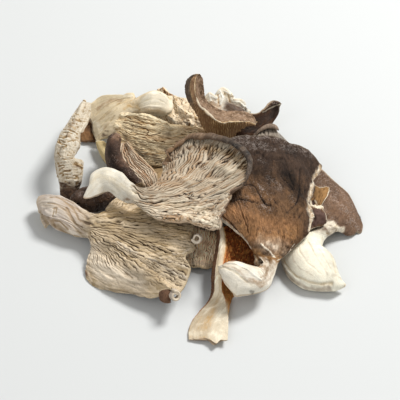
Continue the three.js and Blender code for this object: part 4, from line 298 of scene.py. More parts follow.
        [(27.5, 69.1, 20.1), (26.3, 66.9, 16.5), (25, 62.4, 15.1), (23.7, 55.9, 15.7)],
        [(22, 67.8, 21.9), (21.3, 65.4, 16.3), (20.4, 60.7, 12.7), (19.6, 54, 11.2)],
        [(15.9, 65, 24.9), (15.1, 62.7, 17.5), (14.2, 58.2, 12.1), (13.2, 51.7, 8.9)],
        [(10.5, 62.3, 29.6), (9.5, 60.9, 21.3), (8.5, 57.2, 14.8), (7.5, 51.6, 10.7)],
        [(6.3, 62.2, 33.8), (5.2, 61.7, 26.3), (4.1, 59, 20.7), (3, 54.3, 17.3)],
        [(3.9, 61.5, 37.8), (1.8, 62.4, 32.9), (-0.3, 61.2, 30.1), (-2.4, 57.8, 29.4)],
        [(3.1, 59.5, 42.6), (-0.1, 61.6, 38.5), (-3.4, 61.6, 36.5), (-6.5, 59.4, 36.5)],
        [(2.7, 61.3, 47.4), (-1.1, 64.1, 43.9), (-5.1, 64.7, 42.5), (-8.8, 63.2, 43.2)],
        [(1.9, 63.5, 51.7), (-1.3, 66.6, 48.5), (-4.7, 67.5, 47.2), (-8, 66.1, 48.1)],
        [(0.9, 64.2, 54.5), (-1.2, 66.7, 52), (-3.3, 67, 51.5), (-5.3, 65.1, 53.1)],
        [(0, 63.7, 56), (-0.8, 65.9, 53.9), (-1.6, 65.9, 53.9), (-2.3, 63.8, 55.9)]],
    },
    "curled_strip_left": {
        "front": "gill", "sign": 1,
        "thick": [2, 3, 3.4, 3.4, 3.4, 3.4, 3.4, 3.4, 3, 2.4, 2.2, 1.8],
        "rows": [[(-71.4, 79.8, 15.6), (-69.8, 78.1, 17.8), (-68.4, 77.5, 18.7), (-66.9, 77.5, 18.3), (-65.5, 78, 16.6)],
        [(-73.9, 71.7, 18.8), (-71.9, 69, 21), (-69.6, 67.6, 21.9), (-67.5, 67.5, 21.7), (-65.5, 68.6, 20.1)],
        [(-77.1, 60.2, 21.6), (-74.5, 57.5, 23.9), (-71.7, 56, 24.9), (-69, 55.7, 24.7), (-66.4, 56.8, 23.3)],
        [(-80.5, 51.3, 22.9), (-77.5, 48.1, 25.2), (-74.4, 46.2, 26.2), (-71.4, 45.5, 26.1), (-69.2, 47.7, 24.7)],
        [(-83.3, 43, 22.7), (-80.1, 39.4, 25), (-76.7, 37.5, 26.2), (-73.4, 37.1, 26.1), (-70.9, 39.3, 24.7)],
        [(-85.1, 35.8, 20.7), (-81.6, 32.2, 23.1), (-78.2, 30.3, 24.2), (-74.9, 30, 24.1), (-72.7, 31.8, 22.7)],
        [(-85.2, 29.9, 17.5), (-81.4, 26.7, 19.9), (-77.8, 24.7, 21.1), (-74.2, 25.1, 21.2), (-70.9, 27.4, 20)],
        [(-84.4, 25, 14), (-80.5, 21.8, 16.5), (-76.5, 20.2, 17.7), (-72.4, 20.5, 17.9), (-68.8, 22.8, 16.8)],
        [(-82.9, 21.2, 10.7), (-79.3, 18.1, 13.2), (-76, 16.6, 14.3), (-72.4, 16.5, 14.4), (-69.4, 19.3, 13.2)],
        [(-81.8, 19.4, 7), (-78.6, 16.4, 9.4), (-75.5, 14.9, 10.5), (-72.9, 15.4, 10.4), (-70.7, 17.9, 9.1)],
        [(-81.6, 17.4, 3.2), (-78.6, 13.7, 5.4), (-75.8, 11.5, 6.4), (-73.5, 12.4, 6.3), (-71.7, 16.9, 5)],
        [(-80.8, 16.3, 0), (-78.1, 11.9, 2.1), (-76.3, 10.7, 3), (-74.6, 12.4, 2.9), (-73.7, 16.6, 1.4)]],
        "edges": {"butt": [[0.0, -71.4, 80.0, 15.86], [0.1604, -70.36, 78.97, 17.45], [0.3092, -70.03, 79.02, 19.33], [0.5217, -69.44, 77.42, 18.69], [0.7292, -67.81, 77.48, 18.46], [1.0, -66.09, 78.57, 17.24]],
            "s0": [[0.0, -71.4, 80.0, 15.86], [0.0489, -72.65, 75.73, 17.44], [0.1011, -74.14, 70.53, 19.11], [0.1451, -75.61, 64.78, 20.49], [0.1992, -77.62, 58.27, 21.83], [0.2517, -79.42, 52.99, 22.42], [0.3005, -81.55, 48.62, 22.98], [0.3528, -83.09, 43.83, 22.72], [0.402, -84.1, 39.67, 21.86], [0.4507, -84.86, 35.93, 20.59], [0.4984, -85.18, 32.56, 18.96], [0.5493, -84.71, 29.44, 17.08], [0.6013, -84.37, 26.5, 15.03], [0.6693, -83.46, 23.21, 12.5], [0.7366, -82.28, 20.66, 10.04], [0.8042, -81.9, 19.27, 7.22], [0.8674, -81.86, 17.81, 4.46], [0.9412, -81.36, 16.5, 1.55], [1.0, -80.26, 15.48, -0.84]],
            "s1": [[0.0, -66.09, 78.57, 17.24], [0.0722, -65.96, 70.89, 19.6], [0.1299, -65.87, 63.63, 21.62], [0.1706, -66.48, 58.05, 22.89], [0.2059, -67.17, 53.94, 23.57], [0.2527, -69.02, 49.41, 24.29], [0.2904, -70.92, 45.93, 24.81], [0.3477, -71.09, 40.34, 24.53], [0.3891, -70.95, 36.32, 23.56], [0.4212, -72.21, 33.63, 22.92], [0.4623, -74.18, 30.54, 21.87], [0.4816, -74.86, 29.2, 21.13], [0.5147, -73.26, 27.96, 20.29], [0.552, -70.3, 27.4, 20.03], [0.5731, -68.52, 26.85, 19.75], [0.6126, -68.55, 24.37, 18.08], [0.6475, -68.6, 22.52, 16.61], [0.7074, -69.37, 20.01, 14.13], [0.7665, -70.02, 18.54, 11.42], [0.8229, -71.0, 17.79, 8.78], [0.8801, -71.98, 17.0, 6.19], [0.9475, -72.99, 16.48, 3.29], [1.0, -74.27, 15.72, 0.64]],
            "rim": [[0.0, -80.26, 15.48, -0.84], [0.1779, -78.81, 12.65, 1.34], [0.4331, -76.86, 11.17, 3.35], [0.7404, -75.16, 12.32, 2.98], [1.0, -74.27, 15.72, 0.64]]},
        "strokes": [
            ('dark', 1.3, 1.1, [(0.754, 0.092), (0.754, 0.492), (0.754, 0.867)]),
            ('crack', 0.5, 0.62, [(0.2, 0.304), (0.204, 0.596), (0.2, 0.796)]),
            ('h', 0.59, 0.45, [(0.217, 0.383), (0.212, 0.646), (0.212, 0.862)]),
            ('crack', 0.5, 0.62, [(0.212, 0.392), (0.212, 0.713)]),
            ('h', 0.59, 0.45, [(0.225, 0.454), (0.225, 0.775)]),
            ('crack', 0.5, 0.62, [(0.292, 0.017), (0.292, 0.333), (0.296, 0.6)]),
            ('h', 0.59, 0.45, [(0.304, 0.087), (0.304, 0.388), (0.308, 0.654)]),
            ('crack', 0.5, 0.62, [(0.317, 0.188), (0.317, 0.542)]),
            ('h', 0.59, 0.45, [(0.329, 0.237), (0.325, 0.583)]),
            ('crack', 0.5, 0.62, [(0.358, 0.025), (0.358, 0.287), (0.346, 0.467)]),
            ('h', 0.59, 0.45, [(0.367, 0.067), (0.371, 0.329), (0.358, 0.508)]),
            ('crack', 0.5, 0.62, [(0.392, 0.054), (0.408, 0.304), (0.412, 0.487)]),
            ('h', 0.59, 0.45, [(0.404, 0.092), (0.417, 0.338), (0.425, 0.525)]),
            ('crack', 0.5, 0.62, [(0.375, 0.212), (0.392, 0.417)]),
            ('h', 0.59, 0.45, [(0.383, 0.25), (0.404, 0.454)]),
            ('crack', 0.5, 0.62, [(0.383, 0.504), (0.358, 0.738)]),
            ('h', 0.59, 0.45, [(0.396, 0.546), (0.367, 0.767)]),
            ('crack', 0.5, 0.62, [(0.471, 0.196), (0.496, 0.338)]),
            ('h', 0.59, 0.45, [(0.483, 0.221), (0.508, 0.354)]),
            ('crack', 0.5, 0.62, [(0.442, 0.421), (0.442, 0.796)]),
            ('h', 0.59, 0.45, [(0.454, 0.45), (0.45, 0.883)]),
            ('crack', 0.5, 0.62, [(0.554, 0.171), (0.55, 0.383)]),
            ('h', 0.59, 0.45, [(0.567, 0.188), (0.562, 0.392)]),
            ('crack', 0.5, 0.62, [(0.583, 0.192), (0.567, 0.4)]),
            ('h', 0.59, 0.45, [(0.596, 0.2), (0.579, 0.408)]),
            ('crack', 0.5, 0.62, [(0.617, 0.204), (0.588, 0.417)]),
            ('h', 0.59, 0.45, [(0.633, 0.204), (0.6, 0.425)]),
            ('crack', 0.5, 0.62, [(0.654, 0.2), (0.621, 0.417)]),
            ('h', 0.59, 0.45, [(0.671, 0.204), (0.637, 0.421)]),
            ('crack', 0.5, 0.62, [(0.667, 0.017), (0.679, 0.104)]),
            ('h', 0.59, 0.45, [(0.683, 0.013), (0.696, 0.1)]),
            ('crack', 0.5, 0.62, [(0.692, 0.404), (0.7, 0.704)]),
            ('h', 0.59, 0.45, [(0.713, 0.408), (0.721, 0.729)]),
            ('crack', 0.5, 0.62, [(0.675, 0.646), (0.667, 0.875)]),
            ('h', 0.59, 0.45, [(0.692, 0.662), (0.683, 0.904)]),
            ('crack', 0.5, 0.62, [(0.175, 0.0), (0.175, 0.279)]),
            ('h', 0.59, 0.45, [(0.183, 0.0), (0.183, 0.333)]),
            ('crack', 0.5, 0.62, [(0.483, 0.575), (0.471, 1.0)]),
            ('h', 0.59, 0.45, [(0.496, 0.592), (0.504, 1.0)]),
            ('crack', 0.5, 0.62, [(0.521, 0.471), (0.508, 0.75)]),
            ('h', 0.59, 0.45, [(0.533, 0.483), (0.525, 0.729)]),
            ('dark', 2.13, 1.1, [(0.796, 0.125), (0.8, 0.462), (0.796, 0.896)]),
            ('dark', 0.89, 0.6, [(0.592, 0.775), (0.633, 0.892)]),
            ('ochre', 1.18, 0.35, [(0.571, 0.783), (0.617, 0.929), (0.671, 0.908)]),
            ('shade', 4.73, 0.13, [(0.175, 0.0), (0.113, 0.329)]),
            ('ochre', 0.77, 0.8, [(0.2, 0.254), (0.183, 0.704)]),
            ('ochre', 0.71, 0.7, [(0.263, 0.258), (0.271, 0.546)]),
            ('ochre', 0.71, 0.6, [(0.342, 0.05), (0.35, 0.312)]),
            ('ochre', 0.71, 0.7, [(0.388, 0.1), (0.404, 0.325)]),
            ('ochre', 0.95, 0.6, [(0.571, 0.692), (0.596, 0.887)]),
            ('ochre', 0.71, 0.6, [(0.458, 0.196), (0.504, 0.35)]),
            ('warm', 1.78, 0.5, [(0.329, 0.358), (0.35, 0.583)]),
            ('warm', 1.78, 0.35, [(0.579, 0.263), (0.613, 0.554)]),
            ('warm', 1.78, 0.35, [(0.212, 0.412), (0.287, 0.346)]),
            ('crack', 0.59, 0.8, [(0.588, 0.767), (0.613, 0.892)]),
            ('crack', 0.53, 0.8, [(0.292, 0.158), (0.296, 0.367)]),
            ('crack', 0.53, 0.8, [(0.371, 0.117), (0.4, 0.221)]),
            ('crack', 0.47, 0.7, [(0.429, 0.358), (0.425, 0.492)]),
            ('crack', 0.53, 0.7, [(0.562, 0.179), (0.575, 0.438)]),
            ('crack', 0.53, 0.7, [(0.646, 0.254), (0.662, 0.487)]),
            ('crack', 0.47, 0.6, [(0.117, 0.158), (0.125, 0.575)]),
            ('crack', 0.47, 0.6, [(0.362, 0.613), (0.367, 0.862)]),
            ('crack', 0.47, 0.6, [(0.233, 0.138), (0.237, 0.446)]),
            ('H', 2.37, 0.8, [(0.054, 0.525), (0.196, 0.354), (0.338, 0.425), (0.454, 0.383), (0.596, 0.379)])],
    },
    "twisted_dark_cap": {
        "front": "cap", "sign": 1,
        "thick": [2, 2.6, 2.8, 2.8, 2.6, 2.4, 1.8],
        "rows": [[(-76.3, 5.4, 7.4), (-75.6, 5, 9.5), (-74.9, 4.6, 11.6), (-74.5, 6.7, 10.7), (-74.2, 9.8, 8.7)],
        [(-72.8, 4.2, 6.5), (-72.3, 3.7, 10.9), (-71.6, 4.5, 14.4), (-70.3, 8.5, 13.5), (-69, 14.3, 9.5)],
        [(-68.1, 2.6, 5.3), (-67.3, 2.7, 10.3), (-66.6, 3.7, 14.3), (-65.7, 8.7, 13.7), (-64.5, 16.2, 8.8)],
        [(-62.3, 1.8, 3.9), (-61.5, 2.3, 9), (-61.1, 3.6, 13.2), (-60.4, 8.2, 12.5), (-59.8, 15.6, 7.7)],
        [(-56, 5, 3.1), (-55.5, 4.8, 8.1), (-55.1, 6.1, 12.2), (-54.7, 10.6, 11.7), (-54.6, 17.9, 6.9)],
        [(-50.9, 9.6, 3.8), (-50.4, 8.9, 7.1), (-50.1, 9.4, 9.9), (-49.6, 12.5, 9.7), (-49.3, 18.1, 5.9)],
        [(-47.4, 12.8, 4.7), (-47.1, 12.8, 6.3), (-46.7, 12.9, 8), (-46.5, 14.8, 7.7), (-46.3, 17.3, 6.3)]],
        "strokes": [
            # painted bluish highlights with dust on the dark folds
            ('bloom', 1.78, 0.7, [(0.237, 0.508), (0.379, 0.808)]),
            ('dark', 2.37, 0.5, [(0.342, 0.129), (0.517, 0.017)]),
            ('warm', 2.37, 0.25, [(0.592, 0.404), (0.754, 0.487)]),
            ('crack', 0.71, 0.8, [(0.225, 0.179), (0.312, 0.533), (0.4, 0.9)]),
            ('bloom', 1.48, 0.5, [(0.054, 0.325), (0.158, 0.692)])],
    },
    "folded_dark_cap": {
        "front": "cap", "sign": 1,
        "thick": [3, 2.8, 2.6, 2.4, 2.2, 1.8],
        "rows": [[(-33.1, 13.9, 12.9), (-34.7, 12.1, 16.4), (-37.1, 12.7, 15.9), (-38.4, 13.4, 11.7), (-36.2, 14, 6.8), (-31.5, 13.3, 5.8), (-27.9, 13.5, 7.3), (-24.3, 13.9, 11.1)],
        [(-39, 18.4, 15.8), (-40.6, 17.9, 20.6), (-44.1, 16.8, 20.1), (-46.2, 20.2, 13), (-42.9, 21.3, 6.8), (-35.6, 18.5, 10.6), (-30.3, 18.4, 12.4), (-25, 20.1, 14.9)],
        [(-43.8, 24.1, 17.5), (-45.1, 23.4, 23.3), (-49.8, 23.8, 22.1), (-52.9, 28.1, 14.2), (-49, 29.5, 6.8), (-40.4, 24.2, 12.3), (-33.9, 24.4, 13.8), (-28.6, 26.1, 16.3)],
        [(-47.2, 30.9, 19), (-48.1, 30, 25.8), (-52.6, 30.8, 24.6), (-55, 36.7, 15.6), (-52.3, 38.8, 7.4), (-44.7, 30.8, 14), (-38.7, 30.9, 15.6), (-34, 31.7, 18.1)],
        [(-47.6, 36.9, 20.9), (-48.9, 36.9, 26.7), (-52.4, 36.9, 26.3), (-54.2, 42.4, 18.3), (-52.4, 45.1, 10.4), (-46.7, 37.9, 15.2), (-41.8, 37.4, 17), (-38.5, 36.5, 19.6)],
        [(-46.6, 43.2, 22.5), (-48.5, 43.5, 26.3), (-51.2, 43.8, 25.7), (-52.9, 45.6, 21.8), (-51.7, 47.9, 16.2), (-48.1, 46.2, 15.3), (-44.4, 45.6, 16.7), (-42.5, 43.6, 20)]],
        "strokes": [
            ('shade', 4.14, -0.25, [(0.729, 0.0), (0.225, 0.113), (0.029, 0.058)]),
            ('shade', 5.92, 0.1, [(0.067, 0.087), (0.0, 0.0)]),
            ('shade', 4.73, -0.5, [(0.617, 0.242), (0.375, 0.317), (0.237, 0.287)]),
            ('warm', 2.84, 0.8, [(0.867, 0.212), (0.979, 0.121), (1.0, 0.0), (0.938, 0.0), (0.779, 0.0)]),
            ('warm', 2.01, 0.75, [(0.779, 0.0), (0.446, 0.113), (0.296, 0.117)]),
            ('bloom', 1.48, 0.7, [(0.883, 0.217), (1.0, 0.1), (0.992, 0.0)]),
            ('dark', 2.96, 0.5, [(0.621, 0.258), (0.45, 0.283), (0.275, 0.287)]),
            ('bloom', 1.18, 0.4, [(0.708, 0.129), (0.75, 0.0)]),
            ('bloom', 0.95, 0.9, [(0.862, 0.0), (0.467, 0.113), (0.296, 0.117)])],
    },
    "under_cap_center": {
        "front": "cap", "sign": -1,
        "thick": [4, 7, 6, 4, 3, 1.8],
        "rows": [[(-13.9, 19.3, 1.2), (-13.4, 16.8, 2.1), (-12.9, 14.7, 2.6), (-12.4, 13.3, 2.4), (-12, 12.6, 1.4), (-11.5, 12.3, 0)],
        [(-7.4, 25.1, 2.8), (-6.7, 20.3, 4.6), (-6, 16.3, 5.6), (-5.2, 13.7, 5.1), (-4.5, 12.4, 3.1), (-3.8, 12, 0.3)],
        [(0.3, 34.4, 3.5), (2, 26.3, 6.5), (3.4, 19.5, 8.1), (4.1, 14.7, 7.5), (4.1, 11.9, 4.7), (3.8, 10.2, 0.5)],
        [(8.7, 42.1, 4.1), (11.5, 31.1, 8.3), (13.7, 21.8, 10.6), (14.8, 15.1, 9.9), (14.9, 10.9, 6.3), (14.4, 8.3, 0.9)],
        [(18.4, 46.6, 4.7), (22.1, 35.4, 8.7), (24.9, 25.8, 10.8), (26.4, 18.6, 9.9), (26.4, 13.7, 6.1), (25.7, 10.3, 0.4)],
        [(26.2, 49.7, 4.1), (30.3, 40.6, 6.9), (33.3, 32.6, 8.4), (34.7, 26.1, 7.6), (34.6, 21.2, 4.5), (33.5, 17.2, 0)]],
    },
    "under_cap_right": {
        "front": "cap", "sign": -1,
        "thick": [4, 6, 5, 3.4, 2.8, 1.8],
        "rows": [[(48.4, -15.4, 1.7), (49.6, -15.6, 2.8), (50.9, -15.3, 3.4), (52.2, -14.4, 3.2), (53.6, -12.9, 2.4), (55, -10.9, 1.1)],
        [(43.9, -9.4, 3.7), (45.9, -9.7, 5.9), (47.9, -9.1, 7.2), (50.1, -7.3, 7.1), (52.4, -4.1, 5.4), (54.7, 0, 2.9)],
        [(37, -2.3, 6.3), (40.7, -4.1, 9.9), (44.3, -4.2, 12), (47.8, -1.5, 11.7), (51.4, 3.9, 8.9), (55, 11.1, 4.7)],
        [(32.5, 8, 8.9), (37.3, 5.6, 12.8), (42, 5.2, 15.1), (46.7, 8.2, 14.6), (51.3, 14.7, 11.3), (56, 23.3, 6.4)],
        [(32.7, 20.1, 10.7), (37.5, 17.3, 13.9), (42.2, 16.5, 15.7), (46.7, 19.2, 15.2), (51.2, 25.2, 12.3), (55.7, 33.3, 8)],
        [(36.6, 34.7, 10.9), (40, 31.8, 13.1), (43.4, 30.6, 14.3), (46.6, 32.2, 13.9), (49.8, 36.5, 11.8), (53, 42.6, 8.7)]],
    },
    "brown_cap_right": {
        "front": "cap", "sign": -1,
        "thick": [2, 6, 9, 12, 13, 12, 9, 6.5, 4, 3, 2.6, 2.4, 1.8],
        "rows": [[(80, -55.7, 3.8), (80.5, -55.6, 4.2), (81.1, -55.5, 4.5), (81.5, -55.4, 4.9), (81.4, -55, 5.2), (80.8, -54.5, 5.5)],
        [(74.7, -55.5, 2.7), (75.7, -56.2, 5.1), (76.5, -55.8, 6.4), (77.1, -54.2, 6.6), (77.7, -52.1, 5.9), (78.1, -48.7, 4.1)],
        [(66.3, -55.6, 1.5), (69.6, -54.7, 5.1), (71.8, -52.3, 6.6), (73.7, -49.1, 7.1), (75, -45.3, 6.2), (76.2, -40.6, 3.4)],
        [(56.8, -53.6, 1.4), (60.7, -51.1, 5.2), (64.7, -47.9, 7.5), (68.2, -43.9, 8), (71.4, -38.9, 6.6), (73.6, -34.6, 3.4)],
        [(50.1, -43.9, 1.1), (53.7, -41.6, 4.5), (58.2, -40.5, 7.7), (62.2, -38.2, 8.4), (66.5, -33.6, 6.6), (70.3, -28.9, 3.5)],
        [(49.3, -32.9, 2.3), (52.8, -33.1, 6.1), (56.7, -32.9, 8.4), (60.8, -31.3, 8.8), (64.9, -28.9, 7.3), (68.9, -24.6, 3.8)],
        [(54.4, -24.1, 4.1), (57.1, -25.1, 7), (60.1, -26.2, 9), (63.3, -25.9, 9.1), (66.6, -24.2, 7.7), (70, -21.2, 4.7)],
        [(59.7, -19.1, 5.4), (62.4, -21.1, 8), (65.1, -22.1, 9.6), (68, -21.3, 9.6), (71.1, -19.6, 8.1), (74.3, -16.2, 5.1)],
        [(62.1, -14.5, 6.7), (66, -16.9, 9), (69.3, -17.5, 10), (72.8, -17.2, 10.1), (77, -15.9, 8.3), (81.9, -12.9, 5)],
        [(61.8, -6.6, 7.6), (66.8, -9.5, 9.9), (71.9, -11.5, 11.2), (76.8, -11.7, 10.5), (82.4, -11.8, 8), (88.5, -13.5, 2.2)],
        [(61.7, 4, 7.2), (67.3, 1.5, 9.9), (73.5, -0.6, 11.3), (79.8, -2.6, 10.8), (86.3, -5.3, 7.8), (92.4, -11.5, 1.6)],
        [(62.9, 17.5, 5.7), (68.6, 15.8, 8.3), (74.3, 13.8, 9.2), (80.7, 10.9, 8.4), (87.6, 5.8, 5.2), (93.9, -6.2, 1)],
        [(65.3, 31.1, 3.4), (71.4, 34.5, 5), (76.9, 26.9, 6.5), (83, 19, 5.8), (88.7, 12.6, 3.1), (93.4, 2.7, 0)]],
        "edges": {"s0": [[0.0, 81.11, -55.77, 3.89], [0.0412, 78.06, -55.72, 3.22], [0.0948, 74.15, -55.75, 2.4], [0.1287, 70.79, -56.12, 1.69], [0.1699, 66.31, -56.08, 1.12], [0.207, 61.81, -55.7, 1.02], [0.2399, 57.91, -54.41, 1.23], [0.2739, 54.62, -51.46, 1.25], [0.3079, 51.38, -47.45, 0.9], [0.341, 49.25, -43.08, 1.04], [0.3811, 47.98, -37.56, 1.62], [0.4161, 47.82, -32.87, 2.32], [0.4478, 49.64, -29.02, 3.14], [0.4823, 52.6, -25.68, 3.7], [0.5232, 56.14, -22.94, 4.07], [0.5752, 59.67, -20.16, 4.84], [0.6273, 62.05, -17.45, 5.71], [0.6755, 63.3, -14.29, 6.51], [0.7257, 63.46, -9.52, 7.28], [0.7943, 62.04, -1.64, 7.27], [0.8645, 61.9, 8.6, 6.54], [0.929, 62.98, 19.44, 5.33], [1.0, 65.33, 31.15, 3.36]],
            "s1": [[0.0, 81.36, -55.15, 4.99], [0.0257, 79.8, -53.46, 4.47], [0.07, 78.31, -50.32, 3.83], [0.118, 77.15, -45.84, 3.39], [0.1656, 75.99, -41.11, 3.1], [0.2199, 75.05, -36.8, 3.35], [0.269, 73.51, -33.2, 3.57], [0.3211, 71.39, -29.51, 3.7], [0.3688, 69.22, -27.24, 3.29], [0.4098, 68.73, -25.14, 3.52], [0.4663, 69.66, -22.97, 4.11], [0.5363, 71.82, -19.31, 4.76], [0.5824, 74.25, -16.19, 5.17], [0.6186, 77.23, -14.18, 5.53], [0.647, 80.17, -12.92, 5.69], [0.6793, 83.13, -12.84, 4.73], [0.706, 84.91, -13.65, 3.21], [0.7246, 86.1, -14.39, 2.04], [0.7438, 87.58, -14.66, 1.29], [0.7812, 89.96, -13.64, 1.29], [0.8207, 91.49, -11.99, 1.62], [0.8428, 92.71, -12.18, 0.53], [0.8735, 94.27, -10.87, 0.12], [0.9127, 94.76, -7.73, 0.11], [0.9471, 94.41, -4.28, -0.21], [1.0, 94.23, 0.49, -1.97]],
            "rim": [[0.0, 65.33, 31.15, 3.36], [0.0978, 68.38, 33.58, 4.27], [0.21, 71.96, 34.95, 5.61], [0.2701, 73.64, 32.91, 5.83], [0.3695, 76.36, 28.24, 6.39], [0.4808, 79.69, 23.46, 6.24], [0.5813, 83.06, 19.46, 5.73], [0.6879, 86.49, 16.04, 4.62], [0.7792, 88.77, 12.8, 2.9], [0.8584, 90.7, 9.21, 1.57], [0.9382, 92.31, 4.94, 0.12], [1.0, 94.23, 0.49, -1.97]]},
        "strokes": [
            ('shade', 5.33, -0.2, [(0.329, 0.954), (0.212, 0.754), (0.121, 0.512)]),
            ('shade', 4.73, -0.1, [(0.396, 0.658), (0.283, 0.625)]),
            ('shade', 5.92, -0.06, [(0.342, 0.367), (0.225, 0.196)]),
            ('bloom', 3.55, 0.8, [(0.975, 0.192), (0.917, 0.371), (0.879, 0.55)]),
            ('bloom', 4.14, 0.8, [(0.883, 0.467), (0.842, 0.729), (0.829, 0.896)]),
            ('bloom', 2.96, 0.8, [(0.821, 0.321), (0.721, 0.704)]),
            ('bloom', 2.96, 0.9, [(0.808, 0.879), (0.85, 0.975)]),
            ('shade', 8.28, 0.12, [(0.912, 0.312), (0.858, 0.6), (0.808, 0.842)]),
            ('ochre', 1.18, 0.4, [(0.046, 0.742), (0.125, 0.546)]),
            ('shade', 4.14, -0.1, [(0.388, 0.075), (0.321, 0.067), (0.258, 0.046)]),
            ('h', 0.83, 0.6, [(0.388, 0.075), (0.329, 0.087), (0.271, 0.092), (0.208, 0.104)]),
            ('h', 0.71, -0.6, [(0.396, 0.0), (0.338, 0.021), (0.267, 0.025), (0.196, 0.013)]),
            ('spot', 2.49, 1.0, [(0.688, 0.512), (0.646, 0.783), (0.633, 0.983)]),
            ('spot', 2.37, 0.9, [(0.683, 0.279), (0.704, 0.479), (0.725, 0.6)]),
            ('ochre', 0.71, 0.9, [(0.671, 0.154), (0.671, 0.346), (0.621, 0.683), (0.625, 0.842), (0.692, 0.804)]),
            ('dark', 2.96, 0.45, [(1.0, 0.233), (1.0, 0.371), (1.0, 0.517)]),
            ('dark', 2.96, 0.5, [(0.729, 0.95), (0.754, 1.0), (0.854, 1.0)]),
            ('h', 0.77, -0.7, [(0.429, 0.087), (0.367, 0.133), (0.321, 0.15), (0.279, 0.138), (0.229, 0.175), (0.175, 0.208), (0.104, 0.35)]),
            ('warm', 1.89, 0.5, [(0.392, 0.037), (0.338, 0.05), (0.287, 0.033), (0.229, 0.058), (0.179, 0.092), (0.117, 0.167)]),
            ('h', 0.65, -0.5, [(0.367, 0.963), (0.292, 0.908), (0.237, 0.829), (0.188, 0.75), (0.129, 0.646)]),
            ('warm', 0.89, 0.35, [(0.35, 0.987), (0.279, 0.942), (0.212, 0.883), (0.15, 0.838)]),
            ('spot', 5.33, 0.5, [(0.375, 0.417), (0.308, 0.542), (0.225, 0.475)]),
            ('ochre', 0.53, 0.45, [(0.417, 0.329), (0.342, 0.321), (0.283, 0.279), (0.229, 0.287)]),
            ('ochre', 0.53, 0.45, [(0.421, 0.6), (0.325, 0.633), (0.233, 0.517), (0.167, 0.446)]),
            ('ochre', 0.47, 0.35, [(0.475, 0.392), (0.396, 0.512)]),
            ('h', 0.53, -0.3, [(0.454, 0.35), (0.358, 0.446), (0.283, 0.408), (0.208, 0.367)]),
            ('h', 0.53, -0.3, [(0.438, 0.733), (0.321, 0.75), (0.237, 0.646), (0.163, 0.571)]),
            ('h', 0.53, -0.3, [(0.483, 0.467), (0.383, 0.621), (0.296, 0.588)]),
            ('h', 0.53, -0.35, [(0.625, 0.075), (0.479, 0.579)]),
            ('h', 0.53, -0.35, [(0.646, 0.204), (0.475, 0.746)]),
            ('h', 0.53, -0.35, [(0.625, 0.483), (0.483, 0.858)]),
            ('tone', 2.96, -0.22, [(0.642, 0.0), (0.646, 0.375)]),
            ('warm', 1.78, 0.3, [(0.637, 0.046), (0.625, 0.521)]),
            ('spot', 1.89, 0.95, [(0.708, 0.5), (0.7, 0.729), (0.704, 0.9)]),
            ('spot', 0.95, 0.8, [(0.558, 0.854), (0.613, 0.825), (0.637, 0.904)]),
            ('bloom', 5.33, 0.6, [(0.975, 0.267), (0.946, 0.537), (0.9, 0.767)]),
            ('bloom', 3.55, 0.6, [(0.792, 0.842), (0.85, 0.958)]),
            ('bloom', 2.37, 0.5, [(0.854, 0.55), (0.817, 0.717)]),
            ('dark', 2.07, 0.7, [(0.738, 0.925), (0.758, 0.983)]),
            ('dark', 1.18, 0.7, [(0.838, 0.975), (0.858, 0.992)]),
            ('dark', 4.14, 0.3, [(0.829, 0.467), (0.771, 0.787)]),
            ('h', 0.71, -0.4, [(0.871, 0.462), (0.879, 0.629), (0.904, 0.804)]),
            ('h', 0.71, -0.4, [(0.817, 0.471), (0.804, 0.671), (0.829, 0.896)]),
            ('h', 0.71, -0.4, [(0.95, 0.367), (0.929, 0.529), (0.921, 0.692)]),
            ('h', 0.65, -0.4, [(0.733, 0.7), (0.767, 0.862), (0.871, 0.917)]),
            ('warm', 3.55, 0.35, [(0.808, 0.517), (0.804, 0.783)])],
    },
    "tan_curled_fragment": {
        "front": "gill", "sign": 1,
        "thick": [1.6, 1.8, 2, 2.2, 2.2, 1.6],
        "rows": [[(60.9, 17, 11.4), (65.4, 15, 12.5), (70.6, 12.7, 12.9), (75.9, 12.2, 12.1)],
        [(60.4, 7, 13.4), (64.3, 5.6, 14.5), (69.6, 5.5, 14.6), (74.7, 6.8, 13.1)],
        [(60, -1.9, 14.4), (62.8, -3.3, 16), (66.7, -4.3, 16.6), (70.7, -2.5, 14.6)],
        [(59.7, -8.5, 14.7), (63, -10.4, 17.2), (66.9, -11, 18.3), (70.6, -8.7, 16.3)],
        [(59.5, -15, 14.2), (62.8, -16.5, 16.2), (67.3, -16.6, 17.2), (72.6, -14.8, 15.7)],
        [(59.2, -21.9, 13.3), (62, -22.4, 14.2), (65, -20.8, 14.5), (69.2, -17.3, 13.7)]],
        "edges": {"s1": [[0.0, 75.87, 12.36, 12.22], [0.1244, 75.39, 9.19, 12.76], [0.2325, 74.3, 5.45, 13.33], [0.2964, 72.96, 2.28, 13.74], [0.3724, 71.31, -1.45, 14.34], [0.4623, 69.96, -4.63, 15.22], [0.5626, 70.64, -7.51, 16.21], [0.6299, 70.82, -9.62, 16.37], [0.7041, 72.15, -11.97, 16.38], [0.8044, 72.79, -14.87, 15.72], [0.8778, 72.3, -16.36, 14.8], [1.0, 69.73, -17.25, 13.82]],
            "butt": [[0.0, 60.85, 16.96, 11.36], [0.2994, 64.85, 14.77, 11.98], [0.4093, 66.57, 14.5, 12.68], [0.6016, 69.42, 12.66, 12.5], [0.7786, 72.33, 12.32, 12.6], [0.8859, 74.1, 12.67, 12.74], [1.0, 75.87, 12.36, 12.22]]},
        "strokes": [
            ('shade', 2.96, -0.4, [(0.146, 0.396), (0.308, 0.517), (0.412, 0.671)]),
            ('shade', 2.96, 0.3, [(0.067, 0.821), (0.304, 1.0)]),
            ('bloom', 2.96, 0.5, [(0.675, 0.679), (0.817, 0.779), (0.904, 0.688)]),
            ('spot', 0.83, 1.0, [(0.333, 0.404), (0.446, 0.504), (0.558, 0.679), (0.542, 0.963), (0.658, 1.0)]),
